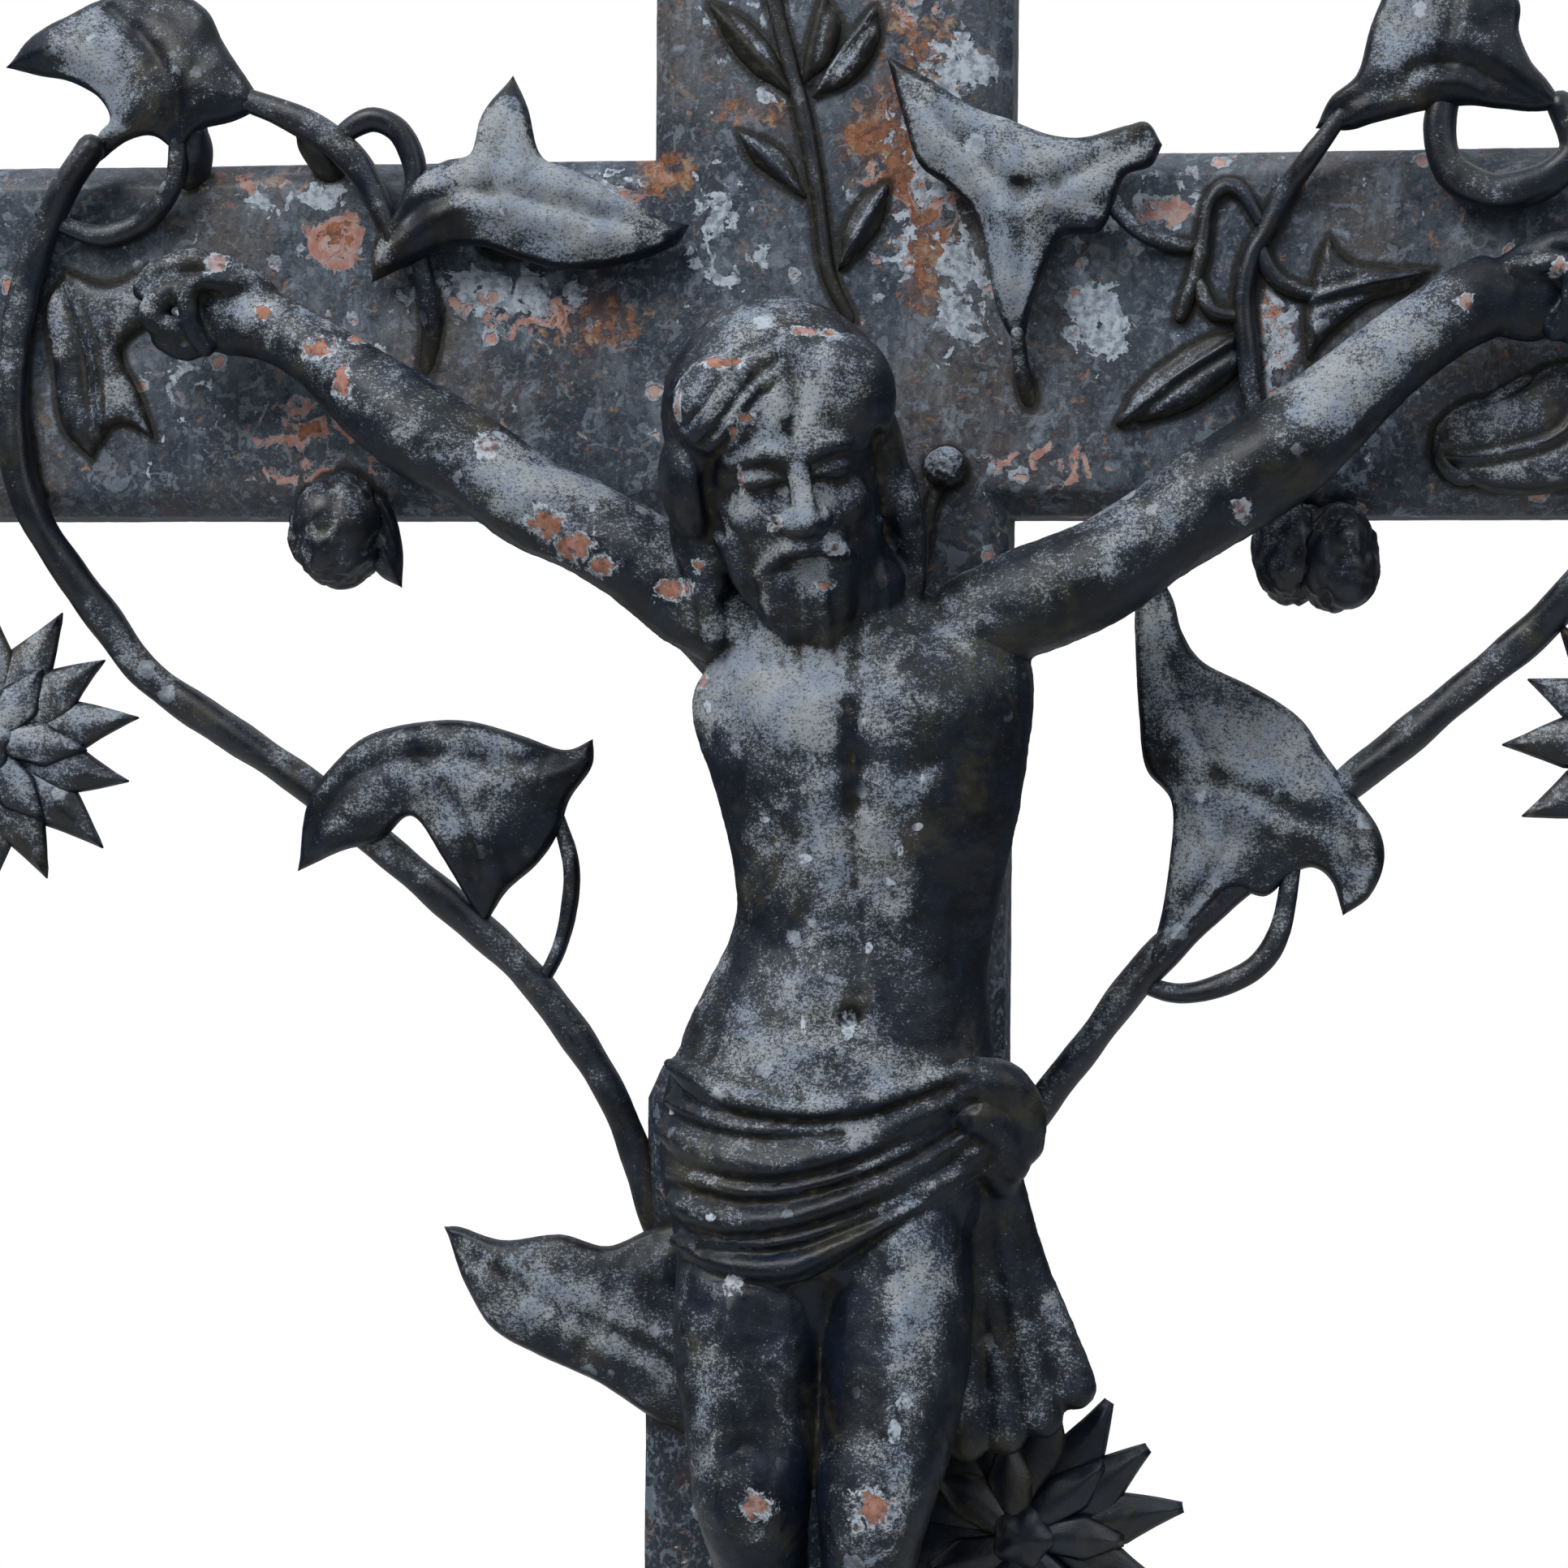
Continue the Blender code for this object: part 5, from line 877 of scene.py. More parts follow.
def petal(middle, angle, reach, width, lift, droop, tip):
    """One thick petal: it widens to a shoulder, then runs straight to its tip, with two facets on a raised keel."""
    along = np.linspace(0.0, 1.0, 17)
    across = np.linspace(-1.0, 1.0, 11)
    points = []
    for side in (1, -1):
        for t in along:
            half = np.interp(t, (0.0, 0.30, 0.60, 1.0), (0.30 * width, 0.72 * width, width, tip))
            for s in across:
                top = lift * math.sin(math.pi * (0.20 + 0.75 * t)) - droop * t**2.4
                crown = 2.3 * (1 - abs(s)) - 0.9 * math.exp(-((s / 0.14) ** 2)) * (1 - t)
                edge = 1.4 * (1 - abs(s) ** 3)
                rise = top + (crown + 0.2 if side == 1 else -edge - 1.2)
                if abs(s) == 1.0 or t == 1.0:
                    rise = top - 0.4
                points.append((reach * t, half * s, rise))
    points = np.array(points)
    points[:, 1] += 0.9 * np.sin(points[:, 0] / 9.0 + angle)
    turn = math.radians(angle)
    flat = np.column_stack([points[:, 0] * math.cos(turn) - points[:, 1] * math.sin(turn),
                            points[:, 0] * math.sin(turn) + points[:, 1] * math.cos(turn), points[:, 2]])
    rows, wide = len(along), len(across)
    half_count = rows * wide
    faces = []
    for layer in (0, half_count):
        for i in range(rows - 1):
            for j in range(wide - 1):
                a = layer + i * wide + j
                face = (a, a + 1, a + wide + 1, a + wide)
                faces.append(face if layer == 0 else face[::-1])
    rim = [i * wide for i in range(rows)] + [(rows - 1) * wide + j for j in range(1, wide)]
    rim += [i * wide + wide - 1 for i in range(rows - 2, -1, -1)] + list(range(wide - 2, 0, -1))
    for a, b in zip(rim, rim[1:] + rim[:1]):
        faces.append((a, b, b + half_count, a + half_count))
    return on_cross(flat + np.array(middle)), faces


def flower(middle, turn, tip):
    """A ring of broad overlapping petals, a ring of raised ones and a worn eye, on a round back."""
    x, y, z = middle
    parts = []
    step = 360 / PETALS
    for k in range(PETALS):
        uneven = math.sin(5.1 * k + turn)
        parts.append(petal((x, y, z - 0.9 + 0.9 * (k % 2)), turn + k * step + 2.2 * uneven,
                           FLOWER_RADIUS * (0.97 + 0.03 * math.cos(3.7 * k)), 7.6, 1.6, 2.6, tip))
        if k % 2:
            inner = turn + (k + 0.5) * step - 3 * uneven
            parts.append(petal((x, y, z + 2.0), inner, FLOWER_RADIUS * (0.66 + 0.04 * uneven), 6.6, 2.4, 1.2, tip))
    spots, faces = ball(48, 28)
    around = np.arctan2(spots[:, 1], spots[:, 0])
    worn = 1 + 0.10 * np.sin(5 * around + turn) * np.hypot(spots[:, 0], spots[:, 1])
    parts.append((on_cross(spots * worn[:, None] * (8.6, 8.2, 4.4) + (x, y, z + 4.6)), faces))
    parts.append((on_cross(spots * (26, 26, 2.8) + (x, y, z - 1.4)), faces))
    return parts


# ---- planks


def inset_loop(loop, inset):
    """The loop drawn in by a distance, its corners mitred."""
    before = loop - np.roll(loop, 1, axis=0)
    after = np.roll(before, -1, axis=0)
    left = [np.column_stack([-d[:, 1], d[:, 0]]) / np.linalg.norm(d, axis=1)[:, None] for d in (before, after)]
    return loop + inset * (left[0] + left[1]) / (1 + (left[0] * left[1]).sum(1))[:, None]


def plank_outline():
    """The cross seen from the front, from its top left corner round to the left, in metres."""
    width, span, crossing = sizes().plank_width, sizes().crossbeam_span, sizes().crossing_height
    half, reach, top, bottom = width / 2, span / 2, crossing + sizes().top_reach, FOOT_TOP + GAP
    above, below = crossing + half, crossing - half
    waist = [(u * width / 100, crossing + v * width / 100) for u, v in WAIST]
    return np.array([(-half, top), (-half, above), (-reach, above), (-reach, below), (-half, below)] + waist
                    + [(-half, bottom), (half, bottom), (half, below), (reach, below), (reach, above),
                       (half, above), (half, top)])


def planks_mesh():
    """Upright and crossbeam in one, with a worn chamfer round the front."""
    outline = plank_outline()
    depth, chamfer = sizes().plank_depth, sizes().plank_chamfer
    lengths = np.linalg.norm(np.roll(outline, -1, axis=0) - outline, axis=1)
    parts = np.maximum(np.round(lengths / PLANK_SPACING).astype(int), 1)

    def cut(loop):
        ends = np.roll(loop, -1, axis=0)
        return np.vstack([a + (b - a) * np.arange(n)[:, None] / n for a, b, n in zip(loop, ends, parts)])

    levels = [(chamfer + 0.0012, -depth / 2), (chamfer - 0.0002, -depth / 2 + 0.0003),
              (chamfer * 0.5, -depth / 2 + chamfer * 0.5), (0.0006, -depth / 2 + chamfer - 0.0004),
              (0.0, -depth / 2 + chamfer + 0.0006), (0.0, -0.003), (0.0, 0.003), (0.0, 0.009),
              (0.0, depth / 2 - 0.0014), (0.0005, depth / 2 - 0.0004), (0.0018, depth / 2)]
    rings = [cut(inset_loop(outline, inset)) for inset, _ in levels]
    count = len(rings[0])
    front, front_faces, _ = net_in(rings[0], PLANK_SPACING)
    points = [np.column_stack([front[:, 0], np.full(len(front), levels[0][1]), front[:, 1]])]
    for ring, (_, y) in zip(rings[1:], levels[1:]):
        points.append(np.column_stack([ring[:, 0], np.full(count, y), ring[:, 1]]))
    back, back_faces, _ = net_in(rings[-1], PLANK_SPACING * 4)
    starts = [0, len(front)]
    for _ in rings[2:]:
        starts.append(starts[-1] + count)
    inner_back = back[count:]
    points.append(np.column_stack([inner_back[:, 0], np.full(len(inner_back), levels[-1][1]), inner_back[:, 1]]))
    faces = [tuple(f) for f in front_faces]
    for a, b in zip(starts, starts[1:]):
        faces += [(a + k, b + k, b + (k + 1) % count, a + (k + 1) % count) for k in range(count)]
    shift = starts[-1]
    faces += [tuple(f[::-1] + shift) for f in back_faces]
    spots = np.vstack(points)
    return spots, faces


# ---- figure


def ring_points(middle, along, across, deep, sides):
    """Spots of one oval ring square to the way of the limb."""
    side = np.cross(along, [0.0, 0.0, 1.0])
    side /= np.linalg.norm(side)
    rise = np.cross(side, along)
    angles = np.arange(sides) * 2 * math.pi / sides
    return middle + across * np.outer(np.cos(angles), side) + deep * np.outer(np.sin(angles), rise)


def limb(rings, sides=32, steps=4):
    """A limb lofted through oval rings, with round ends: its spots and faces."""
    rings = smooth_path(rings, steps)
    middles, shape = rings[:, :3], rings[:, 3:]
    ways = np.gradient(middles, axis=0)
    ways /= np.linalg.norm(ways, axis=1)[:, None]
    loops = []
    for angle in (75, 50, 25):
        out = shape[0].min() * math.sin(math.radians(angle))
        loops.append((middles[0] - ways[0] * out, ways[0], shape[0] * math.cos(math.radians(angle))))
    loops += list(zip(middles, ways, shape))
    for angle in (25, 50, 75):
        out = shape[-1].min() * math.sin(math.radians(angle))
        loops.append((middles[-1] + ways[-1] * out, ways[-1], shape[-1] * math.cos(math.radians(angle))))
    points = np.vstack([ring_points(m, w, s[0], s[1], sides) for m, w, s in loops])
    return points, skin_of(len(loops), sides)


def oval(middle, halves, sides=24):
    """An egg shape: its spots and faces."""
    points, faces = ball(sides, sides // 2 + 1)
    return points * np.array(halves) + np.array(middle), faces


def strand(first, last, way, sides=14):
    """A round strand that changes evenly from one radius to another."""
    radii = np.linspace(first, last, len(way))
    return limb([(*spot, r, r) for spot, r in zip(way, radii)], sides)


def over_hips(u, v):
    """How far forward the loincloth's front lies at a place across it."""
    middle, half = 1.0, 9.4
    return 6.2 + 5.5 * math.sqrt(max(1 - ((u - middle) / half) ** 2, 0.02))


def hand(palm, side):
    """A half closed hand, its palm to the front. Side is -1 for the left of the picture."""
    made = [oval(palm, PALM)]
    for radius, way in FINGERS:
        places = [(palm[0] + side * a, palm[1] + b, palm[2] + c) for a, b, c in way]
        made.append(strand(radius, radius * 0.9, places))
    return made


def head_pose():
    """The turn of the bowed head as a matrix."""
    bow, turn, tilt = (math.radians(a) for a in (HEAD_BOW, HEAD_TURN, HEAD_TILT))
    pose = Matrix.Rotation(tilt, 3, "Z") @ Matrix.Rotation(-turn, 3, "Y") @ Matrix.Rotation(bow, 3, "X")
    return np.array(pose)


def head():
    """The bowed head with its hair and beard."""
    made = [oval(middle, halves) for middle, halves in HEAD_OVALS]
    made += [strand(a, b, way) for a, b, way in FACE_STRANDS]
    for a, b, way in MIRRORED_STRANDS:
        made += [strand(a, b, [(side * x, y, z) for x, y, z in way]) for side in (-1, 1)]
    pose = head_pose()
    return [(points @ pose.T + np.array(HEAD_PLACE), faces) for points, faces in made]


def toes():
    """Five toes at the end of each foot."""
    made = []
    for across, up, forward, side in ((1.0, -97.2, 2.9, 1), (-0.3, -96.6, 5.0, -1)):
        for k in range(5):
            u = across + side * (1.25 - 0.62 * k)
            r = (0.62, 0.44, 0.40, 0.37, 0.34)[k]
            made.append(strand(r, r * 0.85, [(u, up + 1.4, forward), (u, up - 0.5 + 0.16 * k, forward + 0.1),
                                             (u, up - 1.2 + 0.2 * k, forward - 0.1)]))
    return made


def figure_forms():
    """Every form of the figure as closed skins, in hundredths of its height."""
    forms = [limb(rings) for rings in (TRUNK, NECK, ARM_LEFT, ARM_RIGHT, LEG_LEFT, LEG_RIGHT, CLOTH)]
    forms += hand(HAND_LEFT, -1) + hand(HAND_RIGHT, 1) + head() + toes()
    for radius, line in FOLDS:
        line = smooth_path(line, 6)
        ends = np.sin(np.linspace(0.15, math.pi - 0.15, len(line))) ** 0.35
        uneven = 1 + 0.28 * np.sin(np.linspace(0, 9, len(line)) + 7 * radius)
        forms.append(limb([(u, v, over_hips(u, v) - 0.3, radius * e * w, radius * e) for (u, v), e, w
                           in zip(line, ends, uneven)], 14, 1))
    forms += [strand(a, b, way) for a, b, way in SHOULDER_LOCKS + KNOT + HANGING_END]
    return forms


def carve(places, facing):
    """Moves spots of the figure's front forward or back to carve muscles, ribs, navel and folds."""
    flat = places[:, :2]
    rise = np.zeros(len(places))
    below_head = places[:, 2] < 9.5 + 3.5 * (places[:, 1] < -17)
    for u, v, reach, amount in SPOTS:
        rise += amount * np.exp(-((np.hypot(flat[:, 0] - u, flat[:, 1] - v) / reach) ** 2))
    rise += CARVING * strokes_on(flat, STROKES) + strokes_on(flat, FIGURE_MODELLING)
    creases = [(0.34, -0.42, [(u, v - 0.85 * radius) for u, v in line]) for radius, line in FOLDS]
    rise += strokes_on(flat, creases)
    places[:, 2] += rise * np.clip(facing, 0, 1) * below_head
    return places


def comb(places, normals):
    """Cuts the few grooves of the hair and beard, and the lines of the closed eyes and mouth."""
    pose = head_pose()
    local = (places - np.array(HEAD_PLACE)) @ pose
    x, y, z = local.T
    out = normals @ pose
    near = np.linalg.norm(local * (1, 0.8, 1), axis=1) < 10.5
    beard = near & (y < -4.6) & (y > -11.2) & (z > 2.4) & (np.abs(x - 0.4) < 3.9)
    drift = np.array([noise.noise(Vector(p) * 0.28) for p in local])
    depth = strokes_on(local[:, :2], HAIR_GROOVES) * (z > 0) * near
    fine = np.sin(2 * math.pi * (y - 0.8 * x) / 0.7 + 5.0 * drift)
    depth += 0.022 * fine * (near & (x < -0.4) & (y > 1.5) & (z > -2))
    locks = np.sin(2 * math.pi * (x - 0.4) * (1 - 0.04 * (y + 5)) / 1.25 + 3.4 * drift)
    depth += np.where(beard, 0.06 * (locks - 0.2) * np.clip((-4.6 - y) / 1.5, 0, 1), 0)
    lines = strokes_on(local[:, :2], FACE_LINES) * (z > 3.4) * near
    depth += lines * np.clip(out[:, 2], 0, 1)
    return places + normals * depth[:, None]


def keep_largest(mesh):
    """Leaves only the mesh's largest connected piece, so no bubble inside the figure stays."""
    work = bmesh.new()
    work.from_mesh(mesh)
    left, pieces = set(work.verts), []
    while left:
        ends = [left.pop()]
        piece = set(ends)
        while ends:
            spot = ends.pop()
            fresh = {edge.other_vert(spot) for edge in spot.link_edges} - piece
            piece |= fresh
            ends += fresh
        left -= piece
        pieces.append(piece)
    largest = max(pieces, key=len)
    bmesh.ops.delete(work, geom=[v for v in work.verts if v not in largest], context="VERTS")
    work.to_mesh(mesh)
    work.free()


def evaluated_copy(carrier):
    bpy.context.view_layer.update()
    return bpy.data.meshes.new_from_object(carrier.evaluated_get(bpy.context.evaluated_depsgraph_get()))


def figure_mesh():
    """The figure: its forms run together, softened, carved and combed, then thinned where it is plain."""
    points, faces = joined([(on_figure(spots), skin) for spots, skin in figure_forms()])
    carrier = bpy.data.objects.new("clay", plain_mesh("clay", points, faces))
    bpy.context.scene.collection.objects.link(carrier)
    merge = carrier.modifiers.new("run together", "REMESH")
    merge.mode = "VOXEL"
    merge.voxel_size = CLAY_GRAIN
    mesh = evaluated_copy(carrier)
    keep_largest(mesh)
    spots, edges, _ = mesh_arrays(mesh)
    mesh.vertices.foreach_set("co", relax(spots, edges, 4).ravel())
    mesh.update()
    spots, _, normals = mesh_arrays(mesh)
    turned = normals[:, [0, 2, 1]] * (1, 1, -1)
    places = carve(from_figure(spots), turned[:, 2])
    places = comb(places, turned)
    spots = on_figure(places)
    spots += normals * (0.00022 * grain(spots, 160, 3, 4.0) + 0.0001 * grain(spots, 620, 2, 9.0))[:, None]
    spots[:, 1] = np.minimum(spots[:, 1], -sizes().plank_depth / 2 - SEAT_CLEARANCE)
    mesh.vertices.foreach_set("co", spots.ravel())
    mesh.update()
    mesh.calc_loop_triangles()
    carrier.modifiers.clear()
    carrier.data = mesh
    thin = carrier.modifiers.new("thin", "DECIMATE")
    thin.ratio = min(FIGURE_TRIANGLES / len(mesh.loop_triangles), 1)
    made = evaluated_copy(carrier)
    bpy.data.objects.remove(carrier)
    return made


# ---- paint


def put(tree, kind, inputs=(), **settings):
    """A new node with its settings, and its inputs set to values or linked to sockets."""
    node = tree.nodes.new(kind)
    for key, value in settings.items():
        setattr(node, key, value)
    for key, value in dict(inputs).items():
        if isinstance(value, bpy.types.NodeSocket):
            tree.links.new(value, node.inputs[key])
        elif node.inputs[key].type == "RGBA":
            node.inputs[key].default_value = (*value, 1)
        else:
            node.inputs[key].default_value = value
    return node


def join(kind, inputs, **settings):
    """A new node in the tree that its linked sockets belong to."""
    values = dict(inputs)
    tree = next(value.id_data for value in values.values() if isinstance(value, bpy.types.NodeSocket))
    return put(tree, kind, values, **settings).outputs


def calc(operation, *values, clamp=False):
    return join("ShaderNodeMath", enumerate(values), operation=operation, use_clamp=clamp)[0]


def times(*values, clamp=False):
    return calc("MULTIPLY", *values, clamp=clamp)


def plus(*values, clamp=False):
    return calc("ADD", *values, clamp=clamp)


def turn(operation, *values):
    """A sum on vectors."""
    made = join("ShaderNodeVectorMath", enumerate(values), operation=operation)
    return made["Value" if operation in ("DOT_PRODUCT", "LENGTH") else "Vector"]


def spread(value, low, high, start=0.0, end=1.0):
    """A smooth step: start below low, end above high."""
    return join("ShaderNodeMapRange", {"Value": value, "From Min": low, "From Max": high, "To Min": start,
                                       "To Max": end}, interpolation_type="SMOOTHSTEP")["Result"]


def blend(share, first, second):
    """One colour over another."""
    return join("ShaderNodeMix", {0: share, 6: first, 7: second}, data_type="RGBA")[2]


def coat(colour, tone, mask, share=1.0):
    """A colour with a tone laid over it where the mask is, as strong as the share."""
    return blend(times(mask, share), colour, tone)


def cloud(place, scale, detail=3.0, rough=0.55, warp=0.0, axes=None):
    """Noise from 0 to 1, its features about 1 / scale metres."""
    if axes is not None:
        place = turn("MULTIPLY", place, axes)
    return join("ShaderNodeTexNoise", {"Vector": place, "Scale": scale, "Detail": detail, "Roughness": rough,
                                       "Distortion": warp})["Fac"]


def new_group(name, inputs, outputs):
    """An empty node group with these sockets: its tree, group input and group output."""
    tree = bpy.data.node_groups.new(name, "ShaderNodeTree")
    for label, kind, value in inputs:
        socket = tree.interface.new_socket(label, in_out="INPUT", socket_type=kind)
        if value is not None:
            socket.default_value = value
    for label, kind in outputs:
        tree.interface.new_socket(label, in_out="OUTPUT", socket_type=kind)
    return tree, tree.nodes.new("NodeGroupInput").outputs, tree.nodes.new("NodeGroupOutput").inputs


NUMBER, VECTOR = "NodeSocketFloat", "NodeSocketVector"


def bloom_and_lit_side_group():
    """Fine pale grains: dense on faces turned to the key light and thin underneath, a painted lit side and shade over
    the real bloom; rubbed off in glossy patches.
    """
    tree, given, out = new_group("bloom and lit side", [
        ("Place", VECTOR, None), ("Normal", VECTOR, None), ("Hollow", NUMBER, 0.0), ("Amount", NUMBER, 0.5),
        ("Patch Scale", NUMBER, 24.0), ("Grain Scale", NUMBER, 1000.0)],
        [("Mask", NUMBER), ("Cover", NUMBER), ("Height", NUMBER)])
    place = given["Place"]
    # Painted lit side: the bloom gathers on faces turned to the key light and fades out on faces turned away
    facing = spread(turn("DOT_PRODUCT", given["Normal"], LIGHT_WAY), -0.10, 0.85)
    broad = cloud(place, given["Patch Scale"], 3, 0.55, 0.5)
    ragged = cloud(place, times(given["Patch Scale"], 5.0), 4, 0.65, 0.5)
    total = plus(times(facing, 0.50), times(broad, 2.2))
    total = plus(total, times(ragged, 1.5))
    total = calc("SUBTRACT", total, times(given["Hollow"], 0.25))
    rubbed = spread(given["Hollow"], -0.85, -0.25, 0.55, 0.0)
    total = calc("SUBTRACT", plus(total, given["Amount"]), rubbed)
    cover = times(spread(total, 1.70, 3.05), spread(facing, 0.0, 0.35))
    grains = cloud(place, given["Grain Scale"], 4, 0.75, 0.2, (0.85, 0.85, 1.25))
    finer = cloud(place, times(given["Grain Scale"], 2.3), 2, 0.6)
    grains = plus(times(grains, 0.62), times(finer, 0.38))
    low = calc("SUBTRACT", 0.62, times(cover, 0.26))
    tree.links.new(spread(grains, low, plus(low, 0.15)), out["Mask"])
    tree.links.new(cover, out["Cover"])
    tree.links.new(grains, out["Height"])
    return tree


def flake_group():
    """Paint that has come off in ragged flakes: where it is off, and the lifted rim round it."""
    tree, given, out = new_group("flaked paint", [
        ("Place", VECTOR, None), ("Scale", NUMBER, 60.0), ("Cover", NUMBER, 0.3), ("Ragged", NUMBER, 1.0)],
        [("Off", NUMBER), ("Rim", NUMBER)])
    place = given["Place"]
    broad = cloud(place, given["Scale"], 3, 0.5, given["Ragged"])
    fine = cloud(place, times(given["Scale"], 6.0), 3, 0.6, 0.6)
    mixed = plus(times(broad, 0.8), times(fine, 0.2))
    edge = calc("SUBTRACT", 0.76, times(given["Cover"], 0.52))
    over = calc("SUBTRACT", mixed, edge)
    tree.links.new(spread(over, 0.0, 0.008), out["Off"])
    away = calc("ABSOLUTE", plus(over, 0.010))
    tree.links.new(spread(away, 0.004, 0.016, 1.0, 0.0), out["Rim"])
    return tree


def chip_group():
    """One chipped spot: its bare middle and the pale rim of broken paint."""
    tree, given, out = new_group("chip", [
        ("Place", VECTOR, None), ("Middle", VECTOR, None), ("Reach", VECTOR, (0.004, 0.004, 0.004)),
        ("Broken Edge", NUMBER, 0.0)], [("Core", NUMBER), ("Rim", NUMBER)])
    away = turn("DIVIDE", turn("SUBTRACT", given["Place"], given["Middle"]), given["Reach"])
    away = plus(turn("LENGTH", away), given["Broken Edge"])
    tree.links.new(spread(away, 0.86, 0.98, 1.0, 0.0), out["Core"])
    tree.links.new(spread(away, 1.22, 1.42, 1.0, 0.0), out["Rim"])
    return tree


def round_spots_group():
    """Scattered small round spots where the paint has popped off, each with a pale ring."""
    tree, given, out = new_group("round spots", [
        ("Place", VECTOR, None), ("Scale", NUMBER, 150.0), ("Share", NUMBER, 0.2)],
        [("Off", NUMBER), ("Rim", NUMBER)])
    bent = join("ShaderNodeTexNoise", {"Vector": given["Place"], "Scale": 400.0, "Detail": 2.0})["Color"]
    place = turn("ADD", given["Place"], turn("MULTIPLY", bent, (0.004, 0.004, 0.004)))
    cells = join("ShaderNodeTexVoronoi", {"Vector": place, "Scale": given["Scale"]})
    chance = join("ShaderNodeSeparateColor", {"Color": cells["Color"]})
    there = calc("LESS_THAN", chance["Red"], given["Share"])
    reach = plus(0.10, times(chance["Green"], 0.30))
    away = calc("SUBTRACT", cells["Distance"], reach)
    tree.links.new(times(spread(away, -0.05, 0.0, 1.0, 0.0), there), out["Off"])
    tree.links.new(times(spread(away, 0.07, 0.13, 1.0, 0.0), there), out["Rim"])
    return tree


def placed(name, maker, inputs):
    """A group in a material with its own values."""
    group = bpy.data.node_groups.get(name) or maker()
    return join("ShaderNodeGroup", inputs, node_tree=group)


def new_paint(name):
    """An empty material, and its place on the surface, world normal and hollow mark."""
    old = bpy.data.materials.get(name)
    if old is not None:
        bpy.data.materials.remove(old)
    made = bpy.data.materials.new(name)
    made.use_nodes = True
    tree = made.node_tree
    tree.nodes.clear()
    place = put(tree, "ShaderNodeTexCoord").outputs["Object"]
    normal = put(tree, "ShaderNodeNewGeometry").outputs["Normal"]
    hollow = put(tree, "ShaderNodeAttribute", attribute_name="hollow").outputs["Fac"]
    return made, place, normal, hollow


def shade(colour, roughness, height, distance=0.00025, gloss=0.5):
    """The shader with its colour, roughness and bump."""
    bump = join("ShaderNodeBump", {"Height": height, "Distance": distance, "Strength": 1.0})
    shader = join("ShaderNodeBsdfPrincipled", {"Base Color": colour, "Roughness": roughness,
                                               "Normal": bump["Normal"], "Specular IOR Level": gloss})
    join("ShaderNodeOutputMaterial", {"Surface": shader["BSDF"]})


